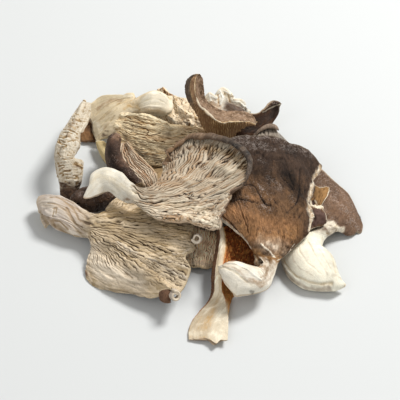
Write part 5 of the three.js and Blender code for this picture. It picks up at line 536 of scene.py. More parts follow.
            ('dark', 4.14, 1.0, [(0.733, 0.462), (0.758, 0.7), (0.808, 0.812)]),
            ('dark', 3.25, 1.0, [(0.879, 0.45), (0.892, 0.679)]),
            ('spot', 1.07, 1.0, [(0.517, 0.458), (0.562, 0.725), (0.558, 1.0)]),
            ('spot', 0.65, 0.9, [(0.617, 0.983), (0.738, 0.996), (0.825, 0.979)]),
            ('crack', 1.12, 1.3, [(0.358, 0.554), (0.471, 0.604)]),
            ('dark', 1.07, 0.9, [(0.358, 0.554), (0.471, 0.604)]),
            ('spot', 0.65, 0.7, [(0.3, 0.375), (0.4, 0.388), (0.492, 0.467)]),
            ('spot', 0.59, 0.6, [(0.346, 0.608), (0.442, 0.762)]),
            ('dark', 1.78, 0.5, [(0.1, 0.388), (0.292, 0.483)]),
            ('h', 0.71, -0.4, [(0.062, 0.608), (0.308, 0.758), (0.442, 0.787)]),
            ('H', 1.78, 1.0, [(0.537, 0.45), (0.562, 1.0)]),
            ('H', 2.37, 0.8, [(0.717, 0.588), (0.779, 0.883)])],
    },
    "gilled_piece_under": {
        "front": "gill", "sign": 1,
        "thick": [3, 3, 2.8, 2.4, 1.8],
        "rows": [[(-12.6, 6.2, 4.8), (-4.4, 7.1, 5.6), (4.4, 7.1, 5.6), (13.2, 6.2, 3.9)],
        [(-11.3, -6.2, 5.4), (-3.8, -7.1, 7.3), (4.4, -7.6, 7.8), (13.1, -7.6, 6)],
        [(-10.7, -18.4, 5), (-3.2, -20.2, 7), (4.3, -21.1, 8.1), (12.4, -20.2, 6.2)],
        [(-9.5, -27.8, 2.6), (-3.1, -30.9, 5.3), (3.7, -31.8, 6.3), (10.6, -29.6, 4.7)],
        [(-8.3, -34.6, -0.1), (-3.1, -40.2, 2.4), (3.1, -41.5, 3.5), (8.9, -38.1, 2.6)]],
        "edges": {"rim": [[0.0, -7.72, -34.16, 0.32], [0.144, -5.99, -37.16, 1.16], [0.2902, -3.69, -39.52, 2.31], [0.4472, -0.84, -40.44, 3.55], [0.6007, 2.01, -41.55, 3.45], [0.7546, 4.85, -41.17, 3.18], [0.8854, 7.14, -39.77, 2.69], [1.0, 8.86, -38.06, 2.63]]},
        "strokes": [
            # the dark strokes and the strong negative shade stroke across u 0.3 to 0.44 are painted shadow under the
            # edge of the cap above; the positive shade stroke and the piece's shade setting are painted light on its
            # shaded middle
            ('dark', 2.37, 0.85, [(0.287, 0.15), (0.342, 0.4), (0.396, 0.642), (0.442, 0.9)]),
            ('shade', 3.55, 0.22, [(0.658, 0.442), (0.733, 0.662), (0.8, 0.867)]),
            ('shade', 3.55, -1.25, [(0.321, 0.25), (0.383, 0.592), (0.433, 0.829)]),
            ('dark', 2.66, 0.8, [(0.325, 0.35), (0.383, 0.592), (0.433, 0.829)]),
            ('warm', 2.37, 0.4, [(0.562, 0.358), (0.625, 0.704)]),
            ('dark', 2.37, 0.45, [(0.954, 0.325), (0.967, 0.75)]),
            ('spot', 2.37, 0.35, [(0.725, 0.442), (0.812, 0.783)])],
    },
    "under_fan_center": {
        "front": "gill", "sign": -1,
        "thick": [5, 7, 5, 3.4, 2.8, 1.8],
        "rows": [[(22.3, -8, 12.5), (23, -7.1, 13.2), (23.7, -5.9, 13.6), (24.4, -4.4, 13.7), (25.1, -2.5, 13.4), (25.8, -0.5, 12.8)],
        [(16.5, -6.8, 12.9), (17.7, -5, 13.6), (18.8, -2.9, 14.1), (20, -0.5, 14.2), (21.2, 2.3, 14), (22.4, 5.3, 13.5)],
        [(7.2, -6, 12), (9.9, -2.7, 12.7), (12.4, 0.8, 13.3), (14.5, 4.7, 13.9), (16.3, 9, 14.5), (17.9, 13.5, 15)],
        [(-2, -3.5, 11.1), (1.2, 1.3, 11.6), (4.1, 6.3, 12.3), (6.5, 11.4, 13.4), (8.3, 16.7, 14.7), (9.7, 22.1, 16.2)],
        [(-11.3, 0.5, 10.1), (-7.3, 6, 10.6), (-3.8, 11.7, 11.4), (-1.2, 17.4, 12.9), (0.4, 23.2, 15), (1.5, 29.1, 17.4)],
        [(-18.4, 6.6, 10.4), (-14.3, 11.7, 10.5), (-10.8, 16.7, 11.2), (-8.5, 21.6, 12.8), (-7.3, 26.5, 15.4), (-6.8, 31.2, 18.7)]],
    },
    "split_mushroom_edge": {
        "sign": -1,
        "front_rows": [[(-6.1, -90.7, 1.1), (4.1, -92.1, 3.4), (14.6, -93.6, 4.3), (14.9, -93.7, 4), (13.5, -93.6, 3.5), (7.4, -93.2, 2.5)],
        [(-6, -84.4, 0.8), (4.2, -86.2, 3.1), (14.9, -86.9, 3.9), (15.3, -86.9, 3.4), (14.1, -87.5, 2.9), (9.7, -87.8, 2)],
        [(-3.6, -77.6, 1.1), (5.8, -78.9, 3.3), (15, -79.1, 3.9), (15.7, -79.1, 3.2), (15.3, -79.2, 2.2), (12.5, -79.8, 1.2)],
        [(1.1, -72, 2.6), (8.1, -72.7, 4.4), (14.8, -72.2, 4.6), (15.9, -72.4, 3.7), (16.5, -72.5, 2.4), (15.4, -72.9, 0.7)],
        [(5.6, -67.2, 5.1), (10.1, -67.7, 6.6), (14.2, -66.9, 6.5), (15.7, -66.6, 4.9), (17.1, -66.9, 3.1), (17.1, -66.9, 0.4)],
        [(8.1, -62.7, 8), (10.2, -63.3, 9.2), (12.4, -62.3, 8.8), (15.1, -61.3, 6.3), (17.4, -61, 3.5), (18.9, -60.7, 0)],
        [(8.6, -56.6, 10.8), (10.5, -57.2, 11.9), (12.4, -56.6, 11.6), (16, -55.2, 8.7), (21.2, -54, 4.2), (25.2, -54.7, -0.1)],
        [(9, -50.9, 13.6), (10.9, -51.6, 14.8), (12.9, -50.9, 14.5), (18.9, -48.9, 10.8), (26.9, -47.1, 5.7), (33.8, -46.8, 0.2)],
        [(9.9, -44.8, 16), (11.9, -45.5, 17.2), (13.9, -44.8, 16.9), (20.6, -41.6, 12.3), (29.9, -38.1, 5.7), (38, -37.9, -0.6)],
        [(11, -38.7, 18.5), (13, -39.4, 19.6), (14.9, -38.8, 19.3), (21.3, -34.1, 13.6), (30.6, -30.1, 7), (40.5, -29.7, 0.4)],
        [(11.7, -32.5, 20), (13.3, -33.2, 21.1), (14.7, -32.4, 20.7), (20.8, -27.7, 15.9), (29, -22.7, 9), (37.2, -21.6, 2.6)],
        [(11.2, -27, 21), (12.5, -27.2, 22.1), (13.6, -26, 21.6), (18, -21.1, 17.4), (24.5, -15.4, 11.2), (30.4, -14.1, 6.3)]],
        "back_rows": [[(-6.1, -90.7, 1.1), (-4.1, -90.8, 0.8), (2.5, -91.8, 1.6), (7.4, -93.2, 2.5)],
        [(-6, -84.4, 0.8), (-5, -84.4, -0.1), (3.1, -86.3, 0.9), (9.7, -87.8, 2)],
        [(-3.6, -77.6, 1.1), (-3.3, -77.4, -0.4), (6.4, -79.1, 0.3), (12.5, -79.8, 1.2)],
        [(1.1, -72, 2.6), (0.3, -71.2, 0.4), (8.7, -72.4, 0.1), (15.4, -72.9, 0.7)],
        [(5.6, -67.2, 5.1), (4.5, -65.9, 2.3), (12.1, -65.4, 0.4), (17.1, -66.9, 0.4)],
        [(8.1, -62.7, 8), (6.6, -61.2, 4.5), (13.8, -59.8, 0.7), (18.9, -60.7, 0)],
        [(8.6, -56.6, 10.8), (6.9, -56.3, 7.4), (17.2, -54, 1.6), (25.2, -54.7, -0.1)],
        [(9, -50.9, 13.6), (7.3, -49.8, 8.8), (20.7, -46.8, 2.3), (33.8, -46.8, 0.2)],
        [(9.9, -44.8, 16), (8.4, -42.8, 10.3), (23.7, -39.9, 2.6), (38, -37.9, -0.6)],
        [(11, -38.7, 18.5), (9.7, -36.2, 11.8), (24.9, -32.4, 3.6), (40.5, -29.7, 0.4)],
        [(11.7, -32.5, 20), (10.3, -30, 12.8), (23.3, -26.3, 4.4), (37.2, -21.6, 2.6)],
        [(11.2, -27, 21), (10.3, -25.4, 15.4), (21, -20.1, 6.9), (30.4, -14.1, 6.3)]],
    },
    "brown_cap_large": {
        "front": "cap", "sign": -1,
        "thick": [3, 9, 14.5, 15.5, 12.5, 8.5, 6.5, 4.8, 3.6, 3.0, 2.8, 2.4, 1.8],
        "rows": [[(11.1, -52.6, 17.7), (11.1, -53.1, 17.4), (11, -53.7, 17.2), (11, -54.2, 17), (11, -54.8, 16.8), (10.9, -55.3, 16.6), (10.9, -55.9, 16.4)],
        [(14.3, -51.4, 18.9), (14.1, -53, 18.2), (13.9, -54.6, 17.6), (13.7, -56.2, 17), (13.5, -57.8, 16.3), (13.3, -59.4, 15.7), (13.1, -61, 15.1)],
        [(20.4, -51.2, 19.9), (20.3, -54.2, 18.9), (20.2, -57.2, 17.9), (20, -60.3, 17), (19.9, -63.3, 16), (19.8, -66.3, 15.1), (19.7, -69.3, 14.1)],
        [(27.6, -52.8, 19.2), (27.8, -55.5, 18.2), (28, -58.1, 17.1), (28.1, -60.8, 16.1), (28.3, -63.4, 15), (28.4, -66, 14), (28.6, -68.6, 12.9)],
        [(33.3, -52.6, 17.7), (33.6, -54.5, 16.7), (34, -56.4, 15.8), (34.3, -58.4, 14.8), (34.7, -60.3, 13.8), (35, -62.2, 12.9), (35.4, -64.2, 11.9)],
        [(36.9, -50.5, 17.8), (37.5, -51.6, 17.2), (38.1, -52.7, 16.5), (38.7, -53.8, 15.8), (39.3, -54.9, 15.2), (39.9, -56, 14.5), (40.5, -57, 13.9)],
        [(38.4, -46.6, 18.9), (39.5, -46.6, 18.3), (40.5, -46.6, 17.6), (41.6, -46.6, 17), (42.6, -46.6, 16.4), (43.7, -46.6, 15.7), (44.7, -46.6, 15.1)],
        [(33.1, -43, 19.9), (35.4, -42.8, 21), (38.2, -42.5, 21.5), (41, -42.2, 21.6), (43.8, -41.9, 20.7), (47, -41, 18.9), (50, -39.4, 16.2)],
        [(26.1, -38.5, 23.7), (30.1, -37.3, 25.3), (35.1, -35.9, 25.8), (40.2, -35.3, 25.6), (45.3, -35.1, 24.6), (50.5, -34.4, 21.7), (55.3, -32.9, 17)],
        [(18.3, -33.2, 27.5), (24.5, -28.4, 29.7), (31.9, -24.6, 30.5), (39.8, -22.8, 30.3), (47.8, -22.7, 28.5), (55.3, -24.2, 24.3), (61.1, -26.7, 18.2)],
        [(9.3, -22.3, 29.8), (16.2, -13.5, 32.8), (25.9, -6.8, 34), (36.3, -3.5, 33.3), (46.6, -3.5, 31.2), (55.3, -7.1, 26.7), (61.1, -12.6, 19.2)],
        [(3.7, -8.2, 30.4), (11.2, 2, 34.6), (23.3, 10.8, 36.2), (36.1, 15, 35.7), (48.3, 15.6, 32.9), (57.7, 12.6, 26.9), (62.4, 5.6, 19.2)],
        [(-0.3, 3.7, 30.3), (6.7, 14.9, 34.5), (20.7, 27.7, 35.5), (36.5, 33.2, 34.6), (51.3, 33.7, 31.1), (63.8, 30.6, 23.9), (70.6, 24.9, 17.1)]],
        "edges": {"s0": [[0.0, 11.08, -52.57, 17.66], [0.0397, 12.59, -52.31, 17.96], [0.0917, 14.82, -51.78, 18.63], [0.1277, 17.06, -51.1, 19.54], [0.1639, 19.84, -51.16, 19.86], [0.1973, 22.63, -51.79, 19.74], [0.2314, 25.41, -52.95, 19.12], [0.2693, 28.2, -53.54, 18.36], [0.3044, 30.45, -53.66, 17.39], [0.3429, 32.71, -52.58, 17.41], [0.3812, 33.85, -50.82, 18.2], [0.4068, 31.91, -49.03, 19.12], [0.5543, 30.89, -45.35, 18.31], [0.5789, 30.34, -43.44, 19.53], [0.6033, 28.94, -41.86, 20.71], [0.631, 27.54, -39.97, 22.4], [0.6734, 24.45, -37.21, 24.78], [0.7238, 19.96, -34.43, 27.15], [0.7639, 16.05, -31.11, 28.51], [0.796, 12.14, -27.49, 29.13], [0.8454, 8.22, -19.89, 30.46], [0.9144, 3.72, -8.38, 30.6], [1.0, -0.28, 3.72, 30.33]],
            "s1": [[0.0, 10.9, -55.89, 16.38], [0.0375, 12.01, -57.97, 15.81], [0.0958, 13.93, -62.25, 14.83], [0.1278, 16.39, -65.93, 14.46], [0.1602, 19.13, -69.37, 13.81], [0.1766, 20.51, -70.62, 13.15], [0.1942, 22.45, -70.17, 13.48], [0.2173, 25.23, -69.68, 13.33], [0.2434, 28.02, -68.99, 12.93], [0.2729, 30.82, -67.9, 12.49], [0.3107, 34.22, -66.12, 11.66], [0.3494, 37.61, -63.82, 11.52], [0.3774, 39.6, -61.54, 12.27], [0.4097, 40.78, -58.14, 13.44], [0.4449, 42.28, -53.72, 14.29], [0.4789, 43.51, -49.04, 14.87], [0.5089, 45.01, -45.44, 15.43], [0.5474, 47.63, -42.1, 15.88], [0.5937, 51.12, -38.63, 16.21], [0.653, 55.22, -34.13, 16.67], [0.6988, 58.71, -31.17, 17.18], [0.7353, 61.63, -28.43, 17.94], [0.7623, 62.88, -25.09, 18.48], [0.7836, 63.57, -21.66, 18.93], [0.8007, 64.83, -18.57, 19.35], [0.8148, 65.33, -15.99, 19.49], [0.8274, 64.46, -13.64, 19.47], [0.8402, 63.14, -11.42, 19.17], [0.8559, 62.69, -8.06, 19.35], [0.8754, 63.44, -3.84, 19.46], [0.8948, 65.06, 0.25, 19.31], [0.9185, 66.46, 5.17, 18.73], [0.9328, 66.33, 8.57, 18.51], [0.9448, 65.6, 11.79, 18.51], [0.9649, 68.16, 16.4, 17.91], [0.9867, 70.77, 21.49, 17.26], [1.0, 71.81, 25.3, 17.55]],
            "rim": [[0.0, -0.28, 3.72, 30.33], [0.1653, 6.65, 14.91, 34.5], [0.2817, 14.82, 25.66, 36.79], [0.3308, 19.51, 29.13, 37.01], [0.4012, 26.55, 31.58, 36.21], [0.4403, 30.66, 32.2, 35.43], [0.4894, 35.37, 33.28, 34.93], [0.5535, 41.26, 33.96, 33.84], [0.6058, 45.98, 33.91, 32.64], [0.6483, 49.53, 33.33, 31.15], [0.6942, 53.09, 32.66, 29.33], [0.7468, 57.84, 32.53, 27.8], [0.7988, 62.0, 31.71, 25.7], [0.8282, 64.09, 31.16, 24.59], [0.8466, 64.98, 30.47, 23.61], [0.8969, 67.36, 28.82, 21.52], [0.9582, 69.74, 26.67, 19.09], [1.0, 71.81, 25.3, 17.55]]},
        "strokes": [
            ('shade', 8.88, 0.09, [(0.779, 0.129), (0.721, 0.258), (0.692, 0.521), (0.717, 0.758)]),
            ('shade', 4.73, 0.1, [(0.812, 0.129), (0.775, 0.175)]),
            ('shade', 5.92, -0.2, [(0.875, 0.717), (0.846, 0.808)]),
            ('shade', 3.55, -0.12, [(0.467, 0.317), (0.396, 0.471)]),
            ('shade', 7.69, -0.13, [(0.954, 0.358), (0.95, 0.504), (0.963, 0.696)]),
            ('ochre', 3.55, 0.4, [(0.471, 0.338), (0.396, 0.471), (0.338, 0.646)]),
            ('shade', 4.14, -0.14, [(0.471, 0.338), (0.396, 0.471), (0.338, 0.646)]),
            ('shade', 7.1, 0.14, [(0.767, 0.146), (0.692, 0.217), (0.646, 0.354)]),
            # painted highlight on the neck: a lighter shade and a pale spot
            ('shade', 3.25, 0.4, [(0.617, 0.362), (0.583, 0.517)]),
            ('spot', 2.96, 0.45, [(0.613, 0.375), (0.583, 0.55)]),
            ('shade', 7.1, 0.08, [(0.825, 0.075), (0.771, 0.192)]),
            ('ochre', 1.3, 0.55, [(0.071, 0.108), (0.129, 0.258), (0.183, 0.425), (0.212, 0.621)]),
            ('ochre', 1.48, 0.5, [(0.325, 0.804), (0.379, 0.775), (0.421, 0.733)]),
            # creases: each crack is painted dark as shade in the crease, and the h stroke beside it lifts and lightens
            # the lip as painted highlight
            ('crack', 0.68, 0.61, [(0.829, 0.321), (0.825, 0.354), (0.825, 0.396), (0.817, 0.417), (0.804, 0.429), (0.787, 0.442), (0.775, 0.458), (0.767, 0.479), (0.767, 0.512)]),
            ('h', 1.01, 0.45, [(0.833, 0.317), (0.833, 0.35), (0.829, 0.392), (0.821, 0.408), (0.808, 0.425), (0.796, 0.438), (0.783, 0.454), (0.775, 0.475), (0.775, 0.508)]),
            ('crack', 0.68, 0.48, [(0.808, 0.192), (0.8, 0.25), (0.787, 0.3), (0.779, 0.333), (0.775, 0.388)]),
            ('h', 1.01, 0.35, [(0.817, 0.188), (0.804, 0.25), (0.796, 0.296), (0.787, 0.329), (0.779, 0.379)]),
            ('crack', 0.68, 0.65, [(0.925, 0.438), (0.929, 0.475), (0.921, 0.5), (0.912, 0.517), (0.904, 0.55), (0.908, 0.608), (0.921, 0.654)]),
            ('h', 1.01, 0.47, [(0.933, 0.429), (0.938, 0.462), (0.929, 0.487), (0.917, 0.508), (0.912, 0.537), (0.917, 0.6), (0.925, 0.646)]),
            ('crack', 0.68, 0.48, [(0.95, 0.625), (0.942, 0.658), (0.963, 0.713), (0.958, 0.771)]),
            ('h', 1.01, 0.35, [(0.954, 0.613), (0.946, 0.646), (0.971, 0.696), (0.963, 0.758)]),
            ('crack', 0.68, 0.54, [(0.925, 0.662), (0.904, 0.696), (0.887, 0.717), (0.871, 0.738), (0.854, 0.771), (0.842, 0.787)]),
            ('h', 1.01, 0.4, [(0.929, 0.654), (0.908, 0.683), (0.896, 0.704), (0.875, 0.721), (0.858, 0.758), (0.846, 0.775)]),
            ('crack', 0.68, 0.48, [(0.867, 0.646), (0.858, 0.688), (0.85, 0.733), (0.838, 0.767)]),
            ('h', 1.01, 0.35, [(0.871, 0.633), (0.862, 0.671), (0.858, 0.721), (0.842, 0.754)]),
            ('crack', 0.68, 0.41, [(0.912, 0.796), (0.871, 0.821), (0.846, 0.833), (0.808, 0.792), (0.792, 0.783)]),
            ('h', 1.01, 0.3, [(0.917, 0.783), (0.875, 0.808), (0.85, 0.821), (0.812, 0.783), (0.796, 0.771)]),
            ('crack', 0.68, 0.41, [(0.854, 0.704), (0.833, 0.754), (0.821, 0.779)]),
            ('h', 1.01, 0.3, [(0.862, 0.696), (0.838, 0.746), (0.825, 0.771)]),
            ('crack', 0.68, 0.48, [(0.779, 0.558), (0.754, 0.621), (0.75, 0.692)]),
            ('h', 1.01, 0.35, [(0.783, 0.546), (0.758, 0.604), (0.754, 0.675)]),
            ('crack', 0.68, 0.41, [(0.812, 0.221), (0.779, 0.221), (0.746, 0.212), (0.708, 0.179), (0.683, 0.092)]),
            ('h', 1.01, 0.3, [(0.821, 0.217), (0.787, 0.221), (0.754, 0.208), (0.721, 0.179), (0.696, 0.096)]),
            ('crack', 0.68, 0.41, [(0.821, 0.092), (0.779, 0.129), (0.738, 0.125)]),
            ('h', 1.01, 0.3, [(0.829, 0.087), (0.787, 0.133), (0.746, 0.125)]),
            ('crack', 0.68, 0.31, [(0.704, 0.562), (0.75, 0.679), (0.8, 0.796), (0.875, 0.908)]),
            ('h', 1.01, 0.23, [(0.713, 0.542), (0.754, 0.662), (0.804, 0.783), (0.875, 0.892)]),
            ('crack', 0.68, 0.27, [(0.696, 0.637), (0.746, 0.738), (0.796, 0.833)]),
            ('h', 1.01, 0.2, [(0.704, 0.617), (0.75, 0.721), (0.8, 0.817)]),
            ('crack', 0.68, 0.27, [(0.696, 0.758), (0.746, 0.808), (0.787, 0.862)]),
            ('h', 1.01, 0.2, [(0.7, 0.733), (0.75, 0.792), (0.792, 0.85)]),
            ('shade', 4.14, 0.22, [(0.817, 0.312), (0.792, 0.333)]),
            ('shade', 3.55, 0.2, [(0.796, 0.462), (0.787, 0.554)]),
            # dust flecks on the upper cap, with painted sheen near the margin
            ('bloom', 5.33, 0.8, [(0.967, 0.35), (0.963, 0.433), (0.954, 0.517)]),
            ('bloom', 4.73, 0.7, [(0.967, 0.642), (0.971, 0.733)]),
            ('bloom', 2.37, 0.8, [(0.767, 0.425), (0.754, 0.479)]),
            ('bloom', 1.78, 0.8, [(0.825, 0.45), (0.812, 0.479)]),
            ('bloom', 2.37, 0.6, [(0.808, 0.733), (0.796, 0.771)]),
            ('bloom', 3.55, 0.5, [(0.846, 0.55), (0.821, 0.633)]),
            ('ochre', 3.85, 1.0, [(0.579, 0.113), (0.533, 0.154), (0.446, 0.2)]),
            ('ochre', 2.96, 0.9, [(0.487, 0.0), (0.396, 0.079), (0.362, 0.083)]),
            ('shade', 4.14, -0.42, [(0.525, 0.008), (0.442, 0.129), (0.446, 0.2)]),
            ('ochre', 4.73, 0.42, [(0.721, 0.079), (0.675, 0.188), (0.633, 0.379), (0.654, 0.675), (0.704, 0.804)]),
            ('ochre', 2.96, 0.6, [(0.508, 0.4), (0.558, 0.667), (0.6, 0.762)]),
            ('ochre', 1.3, 0.8, [(0.371, 0.212), (0.454, 0.304), (0.483, 0.417)]),
            ('ochre', 2.96, 0.7, [(0.325, 0.804), (0.271, 0.767), (0.229, 0.683)]),
            ('ochre', 1.78, 0.6, [(0.113, 0.221), (0.158, 0.0), (0.204, 0.0)]),
            ('ochre', 0.89, 0.7, [(0.471, 0.362), (0.396, 0.292), (0.346, 0.454), (0.292, 0.567)]),
            ('spot', 0.53, 1.0, [(0.483, 0.604), (0.521, 0.942), (0.575, 0.942), (0.637, 0.929)]),
            ('shade', 8.28, -0.36, [(0.871, 0.425), (0.85, 0.567)]),
            ('shade', 8.88, -0.62, [(0.879, 0.708), (0.854, 0.812), (0.821, 0.817)]),
            ('shade', 5.92, -0.28, [(0.967, 0.692), (0.963, 0.825)]),
            ('shade', 8.28, 0.22, [(0.787, 0.225), (0.75, 0.342)]),
            ('shade', 8.28, 0.25, [(0.675, 0.35), (0.675, 0.692)]),
            ('shade', 4.73, -0.2, [(0.767, 0.8), (0.725, 0.858)]),
            ('ochre', 3.55, 0.75, [(0.483, 0.283), (0.438, 0.371), (0.383, 0.458), (0.329, 0.588)]),
            ('ochre', 2.96, 0.5, [(0.342, 0.05), (0.417, 0.271)]),
            ('shade', 8.28, -0.14, [(0.163, 0.483), (0.279, 0.671)]),
            # above the neck: warmer brown, and a faint pale patch as painted highlight
            ('warm', 7.1, 0.8, [(0.654, 0.208), (0.629, 0.462), (0.642, 0.758)]),
            ('spot', 7.1, 0.2, [(0.613, 0.296), (0.592, 0.487), (0.596, 0.696)]),
            ('warm', 5.33, 0.5, [(0.654, 0.329), (0.633, 0.462), (0.642, 0.679)]),
            # creases pressed into the skin, also painted darker as shade
            ('h', 0.78, -1.01, [(0.829, 0.321), (0.825, 0.354), (0.825, 0.396), (0.817, 0.417), (0.804, 0.429), (0.787, 0.442), (0.775, 0.458), (0.767, 0.479), (0.767, 0.512)]),
            ('h', 0.78, -0.94, [(0.808, 0.192), (0.8, 0.25), (0.787, 0.3), (0.779, 0.333), (0.775, 0.388)]),
            ('h', 0.63, -0.68, [(0.804, 0.221), (0.787, 0.217), (0.771, 0.204), (0.746, 0.183), (0.713, 0.167), (0.683, 0.133)]),
            ('h', 0.88, -1.08, [(0.925, 0.438), (0.929, 0.475), (0.921, 0.5), (0.912, 0.517), (0.904, 0.55), (0.908, 0.608), (0.921, 0.654)]),
            ('h', 0.89, 0.6, [(0.938, 0.425), (0.946, 0.458), (0.938, 0.504), (0.933, 0.525), (0.946, 0.562), (0.946, 0.604)]),
            ('h', 0.68, -0.81, [(0.925, 0.662), (0.904, 0.696), (0.887, 0.717), (0.871, 0.738), (0.854, 0.771), (0.842, 0.787)]),
            ('h', 0.68, -0.81, [(0.867, 0.646), (0.858, 0.688), (0.85, 0.733), (0.838, 0.767)]),
            ('h', 0.68, -0.81, [(0.912, 0.796), (0.871, 0.821), (0.846, 0.833), (0.808, 0.792), (0.792, 0.783)]),
            ('h', 0.58, -0.68, [(0.8, 0.021), (0.762, 0.029), (0.725, 0.021), (0.688, 0.0)]),
            ('h', 0.63, -0.68, [(0.787, 0.562), (0.771, 0.592), (0.758, 0.621), (0.758, 0.667), (0.754, 0.704)]),
            ('h', 0.58, -0.54, [(0.979, 0.537), (0.954, 0.529), (0.942, 0.504)]),
            ('h', 0.53, -0.54, [(0.983, 0.625), (0.967, 0.637), (0.967, 0.671)]),
            ('h', 0.53, -0.47, [(0.779, 0.271), (0.75, 0.275), (0.713, 0.263)]),
            ('h', 0.53, -0.47, [(0.8, 0.163), (0.775, 0.146), (0.746, 0.125)]),
            ('h', 0.58, -0.54, [(0.854, 0.5), (0.838, 0.55), (0.812, 0.546)]),
            ('h', 0.58, -0.54, [(0.887, 0.583), (0.875, 0.617), (0.846, 0.637)]),
            ('h', 0.58, -0.54, [(0.9, 0.871), (0.871, 0.892), (0.85, 0.925)]),
            ('h', 0.63, -0.54, [(0.917, 0.721), (0.9, 0.779), (0.879, 0.838)]),
            ('h', 0.53, -0.47, [(0.783, 0.842), (0.762, 0.896), (0.725, 0.929)]),
            ('h', 0.53, -0.41, [(0.758, 0.767), (0.725, 0.825), (0.688, 0.883)]),
            ('H', 4.14, 0.7, [(0.875, 0.5), (0.858, 0.588), (0.838, 0.658)]),
            ('H', 4.14, -0.6, [(0.9, 0.446), (0.887, 0.533), (0.887, 0.617)]),
            ('H', 4.73, 0.6, [(0.771, 0.192), (0.725, 0.304), (0.683, 0.358)]),
            ('H', 3.55, -0.6, [(0.783, 0.688), (0.738, 0.738), (0.692, 0.762)]),
            # painted sheen along the upper margin, with dust
            ('bloom', 3.55, 0.75, [(0.992, 0.346), (0.992, 0.429), (0.992, 0.504), (0.987, 0.588), (0.992, 0.696), (0.992, 0.767), (0.992, 0.842)]),
            ('bloom', 2.37, 0.6, [(0.942, 0.421), (0.946, 0.504), (0.942, 0.588)]),
            ('bloom', 1.78, 0.55, [(0.908, 0.471), (0.892, 0.533)]),
            ('bloom', 2.37, 0.5, [(0.979, 0.771), (0.979, 0.842)]),
            ('dark', 5.92, 0.5, [(0.958, 0.358), (0.958, 0.504), (0.958, 0.675)]),
            ('dark', 6.51, 0.42, [(0.867, 0.5), (0.821, 0.525), (0.804, 0.642)]),
            ('dark', 6.51, 0.75, [(0.963, 0.696), (0.942, 0.792), (0.917, 0.854)]),
            ('dark', 4.73, 0.5, [(0.879, 0.792), (0.821, 0.808)]),
            ('dark', 4.73, 0.42, [(0.917, 0.637), (0.871, 0.713)]),
            ('dark', 2.37, 0.5, [(0.917, 0.533), (0.925, 0.637)]),
            ('dark', 3.55, 0.3, [(0.963, 0.392), (0.963, 0.504)]),
            ('dark', 2.07, 0.6, [(0.833, 0.208), (0.812, 0.2), (0.812, 0.275)]),
            ('dark', 3.55, 0.3, [(0.838, 0.496), (0.8, 0.567)]),
            ('warm', 9.47, 0.85, [(0.783, 0.117), (0.729, 0.246), (0.708, 0.487), (0.713, 0.792)]),
            ('warm', 6.51, 0.8, [(0.692, 0.113), (0.654, 0.329), (0.646, 0.754)]),
            ('warm', 3.55, 0.55, [(0.804, 0.321), (0.787, 0.375)]),
            ('warm', 2.37, 0.3, [(0.633, 0.379), (0.604, 0.496), (0.592, 0.613)]),
            ('warm', 4.73, 0.6, [(0.633, 0.304), (0.571, 0.471), (0.604, 0.713)]),
            ('ochre', 1.78, 0.4, [(0.483, 0.604), (0.446, 0.637), (0.4, 0.617)]),
            ('spot', 0.77, 1.0, [(0.613, 0.258), (0.588, 0.304), (0.567, 0.383), (0.533, 0.421), (0.508, 0.421)]),
            ('h', 0.83, 0.6, [(0.613, 0.258), (0.588, 0.304), (0.567, 0.383), (0.533, 0.421)]),
            ('spot', 0.83, 0.85, [(0.796, 0.0), (0.762, 0.0), (0.725, 0.0), (0.675, 0.004), (0.629, 0.0), (0.604, 0.0)]),
            ('spot', 0.71, 0.8, [(0.592, 0.992), (0.654, 1.0), (0.7, 0.996)]),
            ('spot', 2.49, 1.1, [(0.992, 0.983), (0.967, 0.987), (0.946, 0.992), (0.908, 0.954), (0.892, 0.971), (0.875, 0.983), (0.825, 0.921), (0.804, 0.925), (0.796, 0.967), (0.779, 0.987), (0.75, 0.996)]),
            ('comb', 2.72, 1.2, [(0.992, 0.983), (0.967, 0.987), (0.946, 0.992), (0.908, 0.954), (0.892, 0.971), (0.875, 0.983), (0.825, 0.921), (0.804, 0.925), (0.796, 0.967), (0.779, 0.987), (0.75, 0.996)]),
            ('ochre', 3.25, 0.7, [(0.575, 0.104), (0.542, 0.167), (0.483, 0.208)]),
            ('ochre', 2.37, 0.7, [(0.579, 0.033), (0.492, 0.042)]),
            ('ochre', 3.55, 1.0, [(0.421, 0.058), (0.408, 0.163), (0.338, 0.0)]),
            ('ochre', 2.07, 0.6, [(0.279, 0.0), (0.242, 0.0)]),
            ('spot', 1.42, 1.0, [(0.912, 0.958), (0.892, 0.971)]),
            ('spot', 1.3, 1.0, [(0.808, 0.95), (0.804, 0.979)]),
            ('crack', 0.47, 0.9, [(0.942, 1.0), (0.938, 0.996)]),
            ('crack', 0.47, 0.9, [(0.912, 0.963), (0.925, 0.996)]),
            ('crack', 0.47, 0.9, [(0.9, 0.971), (0.908, 0.996)]),
            ('crack', 0.47, 0.9, [(0.883, 0.979), (0.892, 1.0)]),
            ('crack', 0.47, 0.9, [(0.808, 0.946), (0.821, 0.987)]),
            ('crack', 0.47, 0.9, [(0.8, 0.958), (0.808, 0.987)]),
            ('crack', 0.47, 0.9, [(0.792, 0.967), (0.8, 0.996)]),
            ('crack', 0.47, 0.9, [(0.783, 0.983), (0.787, 1.0)]),
            ('h', 0.77, 0.7, [(0.046, 0.229), (0.113, 0.129), (0.171, 0.188), (0.217, 0.296), (0.25, 0.483), (0.287, 0.675)]),
            ('h', 0.89, -0.45, [(0.017, 0.5), (0.1, 0.388), (0.158, 0.458), (0.204, 0.654), (0.233, 0.812)]),
            ('h', 0.89, -0.4, [(0.267, 0.117), (0.3, 0.325), (0.342, 0.533), (0.4, 0.375)]),
            ('h', 0.89, -0.35, [(0.196, 0.096), (0.263, 0.167), (0.308, 0.546)]),
            ('ochre', 0.95, 0.6, [(0.029, 0.108), (0.108, 0.321), (0.158, 0.325)]),
